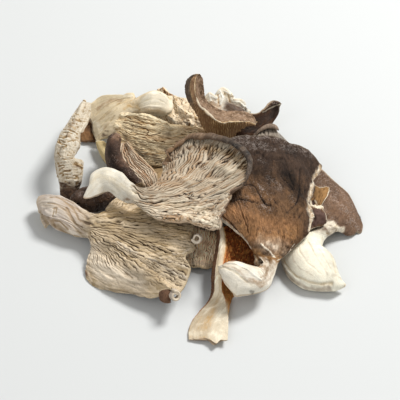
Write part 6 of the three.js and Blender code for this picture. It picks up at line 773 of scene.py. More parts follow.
            ('ochre', 1.07, 0.7, [(0.233, 0.717), (0.283, 0.883), (0.329, 0.85)]),
            ('ochre', 0.89, 0.5, [(0.013, 1.0), (0.087, 1.0), (0.133, 0.946)]),
            ('ochre', 0.71, 0.5, [(0.279, 0.412), (0.321, 0.725)]),
            ('spot', 2.07, 0.7, [(0.096, 0.163), (0.171, 0.25), (0.225, 0.425)]),
            ('warm', 1.48, 0.35, [(0.367, 0.237), (0.371, 0.738)]),
            ('dark', 0.71, 0.6, [(0.237, 0.963), (0.254, 0.979)])],
    },
    "gilled_fan_left": {
        "front": "gill", "sign": -1,
        "thick": [7, 12, 11, 8.5, 5.5, 4, 3.2, 2.8, 2.4, 1.8],
        "rows": [[(-90.6, 9.3, 8.3), (-92.2, 6.8, 8), (-92.9, 3.8, 7.4), (-92.7, 0.3, 6.9), (-92.3, -2.8, 5.9), (-91.3, -6.7, 5.1), (-89.1, -10, 3.9)],
        [(-83, 6.5, 9.6), (-83, 1.6, 10.6), (-83.1, -2.3, 10.5), (-83.2, -5.6, 9.5), (-83.2, -7.8, 8), (-82.5, -10.9, 6.6), (-81.4, -13.1, 4.8)],
        [(-72.4, 0.2, 10.5), (-73, -4.2, 11.3), (-73.5, -7.6, 11.2), (-73.7, -10.6, 10.2), (-73.6, -13.1, 8.7), (-73.3, -15.7, 7.2), (-72.4, -18.3, 5.4)],
        [(-61.6, -7, 11.4), (-62.6, -10.8, 12.2), (-63.1, -13.5, 12.1), (-63.3, -15.7, 11.5), (-63.3, -17.5, 10), (-63.3, -19.2, 8.5), (-62.9, -21.8, 7.1)],
        [(-55.3, -6.7, 11.5), (-54.7, -11.7, 13.1), (-54.8, -16.8, 13.5), (-55.3, -20.9, 13), (-56.4, -24, 11.3), (-58.6, -26.1, 9.3), (-61.9, -26.4, 6.3)],
        [(-50.8, -1.1, 11.8), (-46.4, -8.7, 14.1), (-44.4, -18.2, 15.9), (-44.7, -26.1, 15.4), (-48, -32.6, 13.3), (-53.7, -34.8, 9.7), (-62.7, -31.4, 4.1)],
        [(-45.7, 3.7, 11.8), (-38.4, -4.1, 15), (-34, -19.1, 17.8), (-33.7, -32.5, 17.4), (-39.2, -41.9, 14.4), (-48.9, -44.5, 9.6), (-63.6, -37.5, 2.4)],
        [(-38.2, 6.6, 12.1), (-27.5, -3.4, 16), (-21.4, -20.3, 19.2), (-22.2, -38.9, 18.6), (-29.4, -52, 14.8), (-44.1, -54, 8.5), (-64.4, -42.1, 0.8)],
        [(-31.3, 9.6, 12.3), (-15.9, -3.6, 17.1), (-8.8, -22.6, 20), (-11.5, -44.9, 18.7), (-20.3, -61.7, 14.1), (-38.3, -60.1, 7.2), (-62.7, -47.5, 0.1)],
        [(-26.1, 12.9, 12.3), (-9, -1.5, 17.3), (-4.2, -25.6, 19.9), (-5.9, -49.8, 18.3), (-13, -68.4, 12.6), (-33.2, -64.8, 6.2), (-59.8, -50.9, 0.1)]],
        "edges": {"s0": [[0.0, -90.56, 9.53, 8.55], [0.0273, -88.75, 9.3, 9.23], [0.0899, -84.52, 7.61, 9.74], [0.1396, -80.29, 5.55, 10.24], [0.1889, -75.46, 2.53, 10.48], [0.2408, -70.62, -1.34, 10.38], [0.2807, -66.4, -4.37, 10.67], [0.3128, -63.4, -6.73, 10.67], [0.3649, -59.28, -8.15, 10.94], [0.4277, -55.83, -7.31, 11.3], [0.4713, -53.56, -6.07, 11.24], [0.5122, -53.05, -3.24, 12.01], [0.5503, -51.96, -0.83, 12.39], [0.5931, -50.29, 1.39, 12.57], [0.6485, -47.46, 3.61, 12.32], [0.7189, -42.85, 5.83, 12.51], [0.7956, -37.65, 8.06, 13.11], [0.888, -31.86, 10.42, 13.16], [1.0, -26.07, 12.89, 12.25]],
            "s1": [[0.0, -89.12, -10.44, 3.54], [0.0397, -86.72, -8.93, 6.2], [0.067, -85.5, -10.9, 5.35], [0.1343, -80.71, -14.13, 5.04], [0.2044, -74.73, -17.31, 5.55], [0.2467, -71.17, -19.36, 5.68], [0.2887, -67.04, -20.5, 6.52], [0.3167, -64.68, -21.29, 6.97], [0.3602, -62.88, -22.92, 7.07], [0.4364, -61.64, -25.88, 6.52], [0.4872, -61.59, -28.13, 5.6], [0.5576, -62.37, -31.42, 4.14], [0.6137, -63.42, -34.51, 3.33], [0.6819, -64.17, -38.14, 2.29], [0.7628, -64.66, -41.5, 0.95], [0.8242, -64.56, -44.64, 0.23], [0.8921, -63.29, -47.99, -0.21], [1.0, -59.76, -50.87, 0.12]],
            "rim": [[0.0, -26.07, 12.89, 12.25], [0.0779, -17.18, 6.61, 14.66], [0.1696, -8.95, -2.52, 16.77], [0.2404, -6.01, -12.35, 18.06], [0.2891, -5.41, -19.91, 18.7], [0.3176, -3.68, -24.09, 19.07], [0.3393, -4.24, -27.26, 19.19], [0.3648, -5.08, -31.06, 19.18], [0.3989, -4.78, -36.22, 19.02], [0.411, -3.08, -37.81, 19.11], [0.4336, -3.47, -41.29, 18.79], [0.4485, -5.32, -42.99, 19.03], [0.4638, -7.27, -44.68, 19.25], [0.4835, -8.1, -47.37, 18.92], [0.5031, -6.69, -49.95, 18.48], [0.5277, -5.28, -53.35, 17.71], [0.5473, -5.67, -56.09, 17.04], [0.5776, -6.77, -60.22, 15.87], [0.607, -8.31, -63.68, 14.8], [0.6446, -10.8, -67.17, 13.34], [0.6653, -13.01, -67.73, 13.15], [0.6884, -15.79, -66.15, 14.28], [0.7299, -19.7, -65.79, 12.99], [0.7494, -21.38, -66.91, 10.88], [0.7643, -23.07, -67.26, 9.56], [0.7968, -27.57, -66.89, 7.39], [0.8168, -30.4, -65.45, 6.97], [0.8364, -33.23, -64.66, 6.03], [0.8606, -36.65, -62.52, 5.64], [0.8921, -41.79, -60.51, 4.12], [0.9218, -46.96, -58.47, 2.56], [0.9487, -51.59, -56.09, 1.49], [0.9756, -56.23, -53.94, 0.25], [1.0, -59.76, -50.87, 0.12]],
            "butt": [[0.0, -90.56, 9.53, 8.55], [0.1282, -92.22, 7.66, 8.4], [0.2352, -93.42, 5.91, 8.13], [0.3789, -93.46, 3.0, 7.4], [0.5426, -92.42, -0.36, 6.74], [0.6813, -91.16, -2.81, 5.96], [0.814, -90.72, -6.11, 5.26], [1.0, -89.12, -10.44, 3.54]]},
        "strokes": [
            ('crack', 0.56, 1.0, [(0.562, 0.217), (0.579, 0.254)]),
            ('crack', 0.56, 0.8, [(0.592, 0.3), (0.646, 0.333)]),
            ('crack', 0.56, 0.8, [(0.496, 0.379), (0.567, 0.4)]),
            ('crack', 0.56, 0.8, [(0.575, 0.421), (0.642, 0.417)]),
            ('crack', 0.56, 0.8, [(0.662, 0.354), (0.725, 0.362)]),
            ('crack', 0.56, 0.7, [(0.692, 0.283), (0.771, 0.3)]),
            ('crack', 0.56, 0.8, [(0.746, 0.35), (0.812, 0.371)]),
            ('crack', 0.56, 1.0, [(0.833, 0.338), (0.896, 0.346)]),
            ('crack', 0.56, 0.7, [(0.854, 0.371), (1.0, 0.346)]),
            ('crack', 0.56, 0.8, [(0.533, 0.567), (0.629, 0.583), (0.683, 0.579)]),
            ('crack', 0.56, 0.8, [(0.608, 0.504), (0.704, 0.537), (0.758, 0.542)]),
            ('crack', 0.56, 0.8, [(0.667, 0.521), (0.742, 0.496), (0.808, 0.458)]),
            ('crack', 0.56, 0.9, [(0.738, 0.521), (0.792, 0.525), (0.842, 0.521)]),
            ('crack', 0.56, 0.8, [(0.779, 0.588), (0.842, 0.567), (0.912, 0.533)]),
            ('crack', 0.56, 0.8, [(0.821, 0.6), (0.883, 0.588), (0.95, 0.567)]),
            ('crack', 0.56, 0.8, [(0.846, 0.621), (0.925, 0.604), (0.958, 0.596)]),
            ('crack', 0.56, 0.6, [(0.679, 0.654), (0.746, 0.658), (0.796, 0.646)]),
            ('crack', 0.56, 0.6, [(0.55, 0.713), (0.633, 0.688), (0.721, 0.708)]),
            ('crack', 0.56, 0.5, [(0.6, 0.742), (0.696, 0.738), (0.754, 0.758)]),
            ('warm', 1.78, 0.5, [(0.887, 0.779), (0.875, 0.713), (0.838, 0.633)]),
            ('warm', 1.48, 0.45, [(0.833, 0.783), (0.833, 0.721), (0.796, 0.617)]),
            ('shade', 7.69, 0.16, [(0.583, 0.942), (0.725, 0.896), (0.825, 0.838)]),
            ('spot', 7.69, 0.35, [(0.642, 0.929), (0.758, 0.883), (0.85, 0.821)]),
            ('shade', 5.92, 0.08, [(0.613, 0.308), (0.75, 0.346)]),
            ('shade', 6.51, 0.14, [(0.846, 0.358), (0.904, 0.412)]),
            ('crack', 0.65, 0.95, [(0.188, 0.317), (0.229, 0.433), (0.271, 0.604), (0.308, 0.65)]),
            ('crack', 0.59, 0.7, [(0.079, 0.2), (0.138, 0.171), (0.192, 0.221), (0.242, 0.308), (0.287, 0.479), (0.358, 0.492)]),
            ('crack', 0.47, 0.8, [(0.1, 0.812), (0.163, 0.75), (0.217, 0.858)]),
            ('crack', 0.47, 0.8, [(0.121, 0.412), (0.138, 0.388), (0.138, 0.512)]),
            ('crack', 0.47, 0.7, [(0.125, 0.408), (0.125, 0.571)]),
            ('warm', 1.3, 0.6, [(0.092, 0.912), (0.163, 0.842), (0.221, 0.971)]),
            ('warm', 1.48, 0.6, [(0.271, 0.067), (0.308, 0.0), (0.392, 0.017)]),
            ('warm', 1.18, 0.5, [(0.167, 0.092), (0.233, 0.1)]),
            ('warm', 1.48, 0.5, [(0.25, 0.729), (0.296, 0.967), (0.396, 0.946)]),
            ('h', 1.3, 0.8, [(0.046, 0.129), (0.133, 0.092), (0.217, 0.104), (0.3, 0.158)]),
            ('h', 0.95, 0.7, [(0.067, 0.521), (0.138, 0.625), (0.208, 0.658), (0.263, 0.854)]),
            ('h', 0.89, -0.7, [(0.037, 0.783), (0.125, 0.875), (0.2, 1.0)]),
            ('h', 0.89, 0.6, [(0.096, 1.0), (0.167, 1.0), (0.246, 1.0)]),
            ('h', 0.83, -0.6, [(0.146, 1.0), (0.225, 1.0), (0.475, 1.0)]),
            ('spot', 2.96, 0.6, [(0.033, 0.346), (0.083, 0.346), (0.138, 0.446)]),
            ('spot', 1.78, 0.5, [(0.154, 0.696), (0.212, 0.858), (0.271, 1.0)]),
            ('crack', 0.47, 0.6, [(0.208, 1.0), (0.271, 1.0), (0.479, 1.0)]),
            ('shade', 7.1, 0.45, [(0.796, 0.392), (0.892, 0.392)]),
            ('shade', 7.1, 0.2, [(0.554, 0.179), (0.654, 0.258)]),
            ('shade', 8.28, -0.24, [(0.808, 0.596), (0.933, 0.583)]),
            ('shade', 4.73, -0.18, [(0.346, 0.317), (0.462, 0.433)]),
            ('shade', 7.1, -0.16, [(0.771, 0.804), (0.867, 0.754)]),
            ('ochre', 7.1, 0.25, [(0.792, 0.812), (0.879, 0.758)]),
            ('shade', 5.33, -0.14, [(0.046, 0.304), (0.138, 0.446)]),
            ('spot', 9.47, 0.5, [(0.521, 1.0), (0.675, 0.921), (0.754, 0.829), (0.846, 0.771)]),
            ('spot', 4.73, 0.4, [(0.342, 1.0), (0.512, 0.992)]),
            ('h', 0.65, -0.5, [(0.083, 0.321), (0.138, 0.333), (0.192, 0.392), (0.25, 0.558), (0.3, 0.762)]),
            ('h', 0.65, -0.5, [(0.146, 0.133), (0.208, 0.146), (0.267, 0.246), (0.333, 0.4), (0.425, 0.554)]),
            ('h', 0.59, -0.4, [(0.113, 0.154), (0.163, 0.163), (0.229, 0.237)]),
            ('h', 0.59, -0.4, [(0.196, 0.121), (0.258, 0.096), (0.342, 0.158), (0.442, 0.329)]),
            ('h', 0.59, -0.45, [(0.142, 0.721), (0.212, 0.758), (0.275, 0.85), (0.383, 0.9)]),
            ('h', 0.59, 0.4, [(0.067, 0.521), (0.138, 0.546), (0.208, 0.625), (0.275, 0.746)]),
            ('crack', 0.35, 0.25, [(0.121, 0.429), (0.138, 0.388), (0.142, 0.537), (0.129, 0.621)]),
            ('warm', 1.78, 0.6, [(0.013, 0.637), (0.025, 0.883), (0.021, 1.0)]),
            ('warm', 1.48, 0.4, [(0.154, 0.887), (0.221, 0.971)]),
            ('H', 2.07, -1.2, [(0.025, 0.675), (0.029, 0.963)]),
            ('dark', 1.54, 1.0, [(0.408, 1.0), (0.492, 1.0), (0.562, 1.0)]),
            ('warm', 7.69, 0.6, [(0.471, 0.104), (0.642, 0.321), (0.771, 0.358), (0.9, 0.371)]),
            ('warm', 6.51, 0.45, [(0.487, 0.467), (0.667, 0.5), (0.817, 0.475)]),
            ('warm', 3.55, 0.45, [(0.817, 0.692), (0.896, 0.696), (0.975, 0.713)]),
            ('warm', 2.37, 0.35, [(0.958, 0.925), (0.933, 0.854)]),
            ('dark', 1.3, 0.5, [(0.842, 0.329), (0.883, 0.338)]),
            ('dark', 1.78, 0.3, [(0.783, 0.329), (0.979, 0.304)]),
            ('spot', 5.92, 0.5, [(0.525, 0.912), (0.7, 0.95), (0.804, 0.904)]),
            ('spot', 2.96, 0.35, [(0.708, 0.858), (0.825, 0.833)]),
            ('bald', 5.33, 0.25, [(0.542, 0.963), (0.725, 0.963), (0.858, 0.929)]),
            ('spot', 2.37, 0.35, [(0.071, 0.246), (0.15, 0.371), (0.263, 0.65)]),
            ('H', 3.55, 1.1, [(0.475, 0.692), (0.575, 0.654), (0.662, 0.633), (0.742, 0.621), (0.812, 0.621)]),
            ('H', 4.14, -0.7, [(0.546, 0.896), (0.658, 0.783), (0.779, 0.754)]),
            ('H', 2.96, 0.9, [(0.792, 0.592), (0.875, 0.588), (0.983, 0.575)]),
            ('H', 2.37, -0.7, [(0.767, 0.562), (0.842, 0.55), (0.938, 0.521)]),
            ('H', 2.66, 0.8, [(0.767, 0.521), (0.871, 0.487), (0.958, 0.438)]),
            ('H', 2.37, -0.6, [(0.842, 0.646), (0.921, 0.637), (0.975, 0.625)]),
            ('spot', 0.95, 0.5, [(0.758, 0.613), (0.829, 0.604), (0.9, 0.596), (0.996, 0.579)]),
            ('spot', 0.83, 0.5, [(0.796, 0.571), (0.858, 0.558), (0.921, 0.546), (0.992, 0.537)]),
            ('spot', 0.83, 0.4, [(0.846, 0.521), (0.971, 0.475), (0.975, 0.442)]),
            ('spot', 1.18, 0.5, [(0.567, 0.633), (0.625, 0.642), (0.696, 0.629)]),
            ('crack', 0.56, 0.45, [(0.754, 0.625), (0.812, 0.604), (0.871, 0.6)]),
            ('crack', 0.56, 0.45, [(0.767, 0.571), (0.821, 0.554), (0.875, 0.546)]),
            ('crack', 0.56, 0.4, [(0.846, 0.608), (0.917, 0.604), (0.983, 0.596)]),
            ('crack', 0.5, 0.4, [(0.704, 0.517), (0.738, 0.542), (0.783, 0.546)]),
            ('crack', 0.5, 0.4, [(0.588, 0.65), (0.642, 0.646), (0.7, 0.658)]),
            ('crack', 0.5, 0.35, [(0.512, 0.546), (0.562, 0.508)]),
            ('crack', 0.5, 0.4, [(0.483, 0.379), (0.525, 0.375), (0.592, 0.383)]),
            ('crack', 0.5, 0.35, [(0.5, 0.237), (0.588, 0.296)]),
            ('crack', 0.5, 0.35, [(0.604, 0.412), (0.671, 0.421)]),
            ('crack', 0.5, 0.35, [(0.671, 0.312), (0.729, 0.333)]),
            ('crack', 0.5, 0.35, [(0.546, 0.458), (0.625, 0.492), (0.7, 0.483)]),
            ('crack', 0.5, 0.35, [(0.713, 0.412), (0.762, 0.429), (0.808, 0.425)]),
            ('crack', 0.46, 0.35, [(0.596, 0.329), (0.646, 0.342)]),
            ('crack', 0.5, 0.35, [(0.783, 0.5), (0.858, 0.487)]),
            ('crack', 0.46, 0.3, [(0.671, 0.713), (0.758, 0.725), (0.838, 0.725)]),
            ('crack', 0.4, 0.2, [(0.592, 0.85), (0.708, 0.858), (0.842, 0.862)]),
            ('crack', 0.4, 0.2, [(0.629, 0.775), (0.738, 0.783), (0.85, 0.792)])],
    },
    "gilled_cap_center": {
        "front": "gill", "sign": -1,
        "thick": [1.2, 2.2, 3.2, 4.2, 5.0, 4.4, 3.6, 3.0, 2.4, 1.8],
        "rows": [[(-66.4, 2.7, 17.1), (-66.1, 2.3, 17), (-65.8, 1.9, 16.9), (-65.5, 1.5, 16.8), (-65.2, 1, 16.7), (-64.9, 0.6, 16.5), (-64.6, 0.2, 16.4)],
        [(-64.2, 9.7, 21.5), (-63.4, 8.5, 21.4), (-62.6, 7.4, 21.2), (-61.7, 6.2, 21), (-60.9, 5, 20.8), (-60.1, 3.9, 20.7), (-59.3, 2.7, 20.5)],
        [(-56.7, 15, 25.6), (-56, 12.4, 26.3), (-55.3, 10.2, 26), (-54.7, 8.6, 25.2), (-54.1, 6.9, 24.4), (-53.8, 5.3, 23.6), (-53.5, 4.2, 22.3)],
        [(-45.4, 9.7, 27.8), (-45.6, 6.7, 28), (-45.8, 3.9, 27.7), (-46, 1.4, 26.9), (-46.3, -0.5, 25.6), (-46.5, -2.9, 24.8), (-46.8, -4.4, 23.4)],
        [(-36.4, -1.3, 30.2), (-36.6, -3.8, 30.4), (-36.8, -6.3, 30), (-37.1, -8.3, 29.7), (-37.4, -9.8, 28.8), (-37.6, -10.9, 27.4), (-37.9, -12.4, 26.1)],
        [(-30.5, -6.9, 31.6), (-29.9, -9.5, 31.8), (-29.3, -12, 31.5), (-28.9, -14.4, 31.2), (-28.9, -16.4, 30.4), (-29.2, -18.7, 29.6), (-29.7, -20.6, 28.3)],
        [(-24.9, -0.4, 32.1), (-22.5, -4.8, 32.6), (-20.2, -10.3, 32.7), (-19, -15.8, 32.7), (-18.3, -20.7, 32.1), (-18.3, -24.7, 31.5), (-18.8, -28.1, 30.3)],
        [(-21.6, 6.8, 32.9), (-15.8, 5, 34), (-10, -1.3, 33.9), (-6.5, -10.7, 33.9), (-5.3, -19.5, 34.2), (-5.9, -26.3, 33.6), (-6.4, -32.6, 32.6)],
        [(-20.2, 10.9, 33.7), (-11.2, 15, 36.1), (0.3, 11.4, 37.3), (8.3, -0.2, 36.9), (8.2, -15.1, 36.9), (5.9, -26.3, 36.6), (3.6, -38.9, 35.4)],
        [(-21, 10.4, 34.6), (-7.8, 25.6, 38.5), (8.4, 23.4, 41.9), (23.2, 11.9, 45.8), (28.3, -6.2, 45.6), (16.9, -20.3, 40.9), (11.9, -42.6, 38.3)]],
        "edges": {"s0": [[0.0, -66.99, 2.3, 16.7], [0.035, -65.29, 4.6, 18.07], [0.0684, -63.7, 6.54, 19.13], [0.1133, -63.32, 9.33, 21.09], [0.1506, -62.76, 12.17, 23.17], [0.1741, -61.04, 13.65, 24.14], [0.1987, -59.01, 14.58, 24.86], [0.2262, -56.66, 14.97, 25.7], [0.2507, -54.3, 14.75, 26.52], [0.2779, -51.34, 13.59, 27.05], [0.3051, -48.37, 11.88, 27.49], [0.3295, -45.98, 10.07, 27.87], [0.3491, -44.18, 8.47, 28.28], [0.3941, -41.13, 2.95, 28.63], [0.4246, -38.73, -0.37, 29.2], [0.4617, -36.34, -3.49, 29.74], [0.5167, -32.81, -6.36, 30.96], [0.5944, -28.25, -5.98, 31.39], [0.6312, -26.01, -3.56, 31.32], [0.6696, -23.76, -1.09, 31.21], [0.6903, -22.92, 0.33, 31.39], [0.7187, -22.09, 2.41, 31.7], [0.7424, -21.53, 4.13, 31.98], [0.7833, -20.81, 6.56, 32.35], [0.8219, -20.72, 8.51, 32.82], [0.8653, -21.02, 10.09, 33.26], [1.0, -21.3, 10.4, 34.59]],
            "s1": [[0.0, -65.75, 0.32, 16.7], [0.0415, -62.53, 0.42, 17.35], [0.1053, -58.73, 1.0, 18.77], [0.1811, -54.87, 2.39, 19.82], [0.2477, -52.29, 1.53, 21.33], [0.2804, -49.88, -0.44, 22.16], [0.3288, -46.85, -4.81, 22.6], [0.3756, -43.27, -8.37, 23.48], [0.4109, -40.31, -10.84, 24.45], [0.4425, -37.37, -12.06, 26.18], [0.4928, -33.83, -15.99, 27.07], [0.5544, -29.73, -21.18, 27.68], [0.6065, -25.12, -25.44, 28.14], [0.6512, -20.54, -28.22, 29.09], [0.6959, -15.44, -30.29, 30.11], [0.7355, -10.93, -31.76, 30.89], [0.7759, -6.42, -32.52, 32.56], [0.8185, -2.49, -35.34, 33.18], [0.8688, 1.97, -38.37, 34.43], [0.917, 5.86, -40.77, 35.44], [0.9545, 8.63, -41.8, 36.58], [1.0, 11.94, -42.62, 38.32]],
            "rim": [[0.0, -21.3, 10.4, 34.59], [0.0278, -19.31, 13.46, 35.57], [0.062, -16.45, 17.1, 36.39], [0.1046, -13.02, 21.43, 37.35], [0.1438, -9.56, 24.6, 38.26], [0.1755, -6.66, 26.15, 39.01], [0.2099, -3.18, 26.5, 39.48], [0.2556, 1.46, 25.84, 40.14], [0.301, 6.09, 24.58, 41.15], [0.3421, 10.12, 22.83, 41.93], [0.3821, 14.13, 20.53, 42.77], [0.4226, 18.12, 17.81, 43.87], [0.4609, 21.51, 14.65, 44.62], [0.5, 24.32, 11.24, 45.21], [0.5331, 26.54, 8.07, 45.58], [0.5643, 28.19, 4.49, 45.58], [0.5986, 29.08, 0.34, 45.36], [0.6421, 28.42, -4.71, 44.87], [0.6822, 27.12, -8.75, 44.19], [0.7099, 25.96, -11.36, 43.24], [0.7304, 24.54, -13.04, 42.55], [0.7481, 22.83, -14.2, 42.14], [0.773, 20.0, -15.51, 41.89], [0.7932, 17.74, -16.79, 41.6], [0.806, 16.89, -18.16, 41.01], [0.8156, 16.88, -19.29, 40.57], [0.8189, 17.89, -19.7, 40.43], [0.8332, 17.71, -21.38, 39.92], [0.8452, 16.18, -22.2, 40.15], [0.8558, 16.56, -23.6, 39.84], [0.8692, 15.7, -25.27, 39.58], [0.8843, 14.57, -27.07, 39.46], [0.8987, 13.71, -28.88, 39.36], [0.9079, 14.54, -30.14, 39.24], [0.9174, 14.25, -31.46, 39.11], [0.927, 12.57, -32.33, 39.4], [0.9422, 11.71, -34.44, 39.22], [0.9535, 11.15, -35.91, 39.18], [0.9689, 12.24, -38.24, 38.85], [1.0, 11.94, -42.62, 38.32]],
            "butt": [[0.0, -66.99, 2.3, 16.7], [0.3407, -66.96, 1.33, 16.46], [1.0, -65.75, 0.32, 16.7]]},
        "strokes": [
            ('shade', 5.33, -0.08, [(0.95, 0.312), (0.967, 0.446), (0.975, 0.558)]),
            ('crack', 0.56, 0.7, [(0.967, 0.342), (0.946, 0.338), (0.925, 0.346)]),
            ('crack', 0.56, 0.8, [(0.971, 0.362), (0.95, 0.358), (0.925, 0.362), (0.904, 0.371)]),
            ('crack', 0.56, 0.8, [(0.971, 0.383), (0.958, 0.379), (0.942, 0.371), (0.921, 0.371), (0.904, 0.379)]),
            ('crack', 0.56, 0.7, [(0.971, 0.4), (0.954, 0.4), (0.938, 0.388), (0.921, 0.379)]),
            ('crack', 0.56, 0.85, [(0.979, 0.421), (0.967, 0.417), (0.95, 0.412), (0.929, 0.404), (0.912, 0.388)]),
            ('crack', 0.56, 0.85, [(0.983, 0.442), (0.967, 0.442), (0.95, 0.433), (0.933, 0.425)]),
            ('crack', 0.56, 1.0, [(0.983, 0.458), (0.971, 0.458), (0.954, 0.45), (0.942, 0.442), (0.929, 0.442)]),
            ('crack', 0.56, 1.0, [(0.983, 0.475), (0.971, 0.475), (0.958, 0.475), (0.942, 0.462), (0.933, 0.45)]),
            ('crack', 0.56, 0.9, [(0.967, 0.492), (0.954, 0.487), (0.946, 0.483), (0.938, 0.471)]),
            ('crack', 0.56, 0.8, [(0.979, 0.475), (0.987, 0.496), (0.992, 0.512)]),
            ('crack', 0.56, 0.9, [(0.975, 0.492), (0.987, 0.504), (0.992, 0.521), (1.0, 0.542)]),
            ('crack', 0.56, 0.8, [(0.979, 0.512), (0.987, 0.525), (0.996, 0.546)]),
            ('crack', 0.56, 0.9, [(0.975, 0.525), (0.983, 0.537), (0.996, 0.558)]),
            ('crack', 0.56, 1.1, [(0.963, 0.517), (0.954, 0.512)]),
            ('crack', 0.56, 1.2, [(0.967, 0.529), (0.958, 0.529)]),
            ('crack', 0.56, 1.1, [(0.967, 0.542), (0.979, 0.562), (0.987, 0.571)]),
            ('crack', 0.56, 1.0, [(0.958, 0.537), (0.967, 0.554), (0.975, 0.567), (0.987, 0.579)]),
            ('crack', 0.56, 0.9, [(0.963, 0.562), (0.975, 0.583), (0.983, 0.592)]),
            ('crack', 0.56, 1.2, [(0.963, 0.571), (0.971, 0.592), (0.975, 0.604)]),
            ('crack', 0.56, 0.9, [(0.975, 0.596), (0.983, 0.604), (0.996, 0.617)]),
            ('crack', 0.56, 0.8, [(0.979, 0.621), (0.987, 0.625), (0.996, 0.629)]),
            ('crack', 0.56, 0.7, [(0.979, 0.646), (0.992, 0.654), (0.996, 0.654)]),
            ('crack', 0.56, 0.85, [(0.879, 0.471), (0.892, 0.467), (0.904, 0.471), (0.925, 0.483), (0.933, 0.496)]),
            ('crack', 0.56, 0.85, [(0.887, 0.492), (0.904, 0.492), (0.921, 0.496), (0.929, 0.504)]),
            ('crack', 0.56, 0.8, [(0.896, 0.504), (0.912, 0.508)]),
            ('crack', 0.56, 0.8, [(0.921, 0.442), (0.929, 0.462), (0.946, 0.492)]),
            ('crack', 0.56, 1.0, [(0.892, 0.529), (0.9, 0.517), (0.904, 0.512)]),
            ('crack', 0.56, 1.0, [(0.908, 0.571), (0.921, 0.592), (0.925, 0.592)]),
            ('crack', 0.56, 0.9, [(0.929, 0.604), (0.946, 0.621), (0.967, 0.629)]),
            ('crack', 0.56, 0.8, [(0.929, 0.571), (0.942, 0.583), (0.954, 0.588)]),
            ('crack', 0.56, 1.1, [(0.912, 0.542), (0.921, 0.567)]),
            ('crack', 0.56, 0.6, [(0.942, 0.592), (0.958, 0.613), (0.967, 0.621)]),
            ('crack', 0.56, 1.1, [(0.946, 0.308), (0.942, 0.325)]),
            ('crack', 0.56, 0.8, [(0.912, 0.271), (0.938, 0.267), (0.95, 0.271)]),
            ('crack', 0.56, 0.8, [(0.917, 0.287), (0.938, 0.279)]),
            ('crack', 0.56, 0.7, [(0.867, 0.329), (0.875, 0.354), (0.887, 0.383)]),
            ('crack', 0.56, 0.8, [(0.862, 0.346), (0.871, 0.375), (0.883, 0.392)]),
            ('crack', 0.56, 0.8, [(0.858, 0.362), (0.871, 0.392), (0.883, 0.408)]),
            ('crack', 0.56, 0.6, [(0.854, 0.379), (0.871, 0.408), (0.883, 0.425)]),
            ('crack', 0.53, 0.55, [(0.629, 0.833), (0.671, 0.787), (0.708, 0.742), (0.758, 0.758), (0.825, 0.792), (0.875, 0.812), (0.908, 0.854)]),
            ('crack', 0.53, 0.5, [(0.775, 0.825), (0.821, 0.817), (0.858, 0.846), (0.917, 0.892), (0.992, 0.954)]),
            ('crack', 0.53, 0.55, [(0.767, 0.862), (0.804, 0.854), (0.85, 0.871), (0.9, 0.908), (0.987, 0.967)]),
            ('crack', 0.53, 0.5, [(0.775, 0.904), (0.825, 0.9), (0.892, 0.933), (0.946, 0.963), (0.996, 0.992)]),
            ('crack', 0.53, 0.4, [(0.817, 0.942), (0.871, 0.954), (0.908, 0.971), (0.963, 0.992)]),
            ('crack', 0.53, 0.55, [(0.679, 0.708), (0.725, 0.696), (0.767, 0.713), (0.812, 0.721), (0.875, 0.8), (0.896, 0.825)]),
            ('crack', 0.53, 0.6, [(0.671, 0.629), (0.717, 0.629), (0.775, 0.683), (0.821, 0.704), (0.875, 0.767), (0.912, 0.821)]),
            ('crack', 0.53, 0.6, [(0.683, 0.521), (0.725, 0.567), (0.762, 0.621), (0.796, 0.671), (0.829, 0.696)]),
            ('crack', 0.53, 0.5, [(0.688, 0.571), (0.729, 0.6), (0.762, 0.65), (0.792, 0.688)]),
            ('crack', 0.53, 0.75, [(0.771, 0.571), (0.796, 0.633), (0.821, 0.671), (0.842, 0.654), (0.858, 0.633), (0.875, 0.625)]),
            ('crack', 0.53, 1.1, [(0.733, 0.508), (0.738, 0.517)]),
            ('crack', 0.53, 1.1, [(0.75, 0.546), (0.75, 0.55)]),
            ('crack', 0.53, 1.0, [(0.762, 0.562), (0.767, 0.567)]),
            ('crack', 0.53, 0.8, [(0.754, 0.446), (0.767, 0.475), (0.779, 0.529), (0.796, 0.596), (0.817, 0.613), (0.833, 0.6)]),
            ('crack', 0.53, 0.8, [(0.75, 0.479), (0.767, 0.529), (0.783, 0.579), (0.804, 0.604), (0.825, 0.6)]),
            ('crack', 0.53, 0.8, [(0.762, 0.421), (0.779, 0.458), (0.804, 0.492), (0.817, 0.487), (0.833, 0.479)]),
            ('crack', 0.53, 0.75, [(0.762, 0.471), (0.783, 0.517), (0.804, 0.546), (0.825, 0.546), (0.846, 0.533)]),
            ('crack', 0.53, 0.7, [(0.833, 0.637), (0.854, 0.629), (0.879, 0.633), (0.896, 0.637)]),
            ('crack', 0.53, 0.7, [(0.846, 0.675), (0.871, 0.671), (0.896, 0.679), (0.921, 0.696), (0.979, 0.8)]),
            ('crack', 0.53, 0.7, [(0.858, 0.704), (0.887, 0.713), (0.912, 0.733)]),
            ('crack', 0.53, 0.7, [(0.875, 0.742), (0.925, 0.804), (0.95, 0.817), (0.992, 0.854)]),
            ('crack', 0.53, 1.2, [(0.921, 0.75), (0.95, 0.804)]),
            ('crack', 0.53, 1.2, [(0.946, 0.867), (0.963, 0.883)]),
            ('crack', 0.53, 0.9, [(0.967, 0.9), (0.954, 0.908)]),
            ('crack', 0.53, 1.1, [(0.979, 0.812), (0.979, 0.817)]),
            ('crack', 0.53, 1.0, [(0.925, 0.817), (0.925, 0.817)]),
            ('crack', 0.53, 0.9, [(0.867, 0.583), (0.887, 0.604), (0.912, 0.642), (0.929, 0.671)]),
            ('crack', 0.53, 0.9, [(0.875, 0.575), (0.892, 0.596), (0.904, 0.604)]),
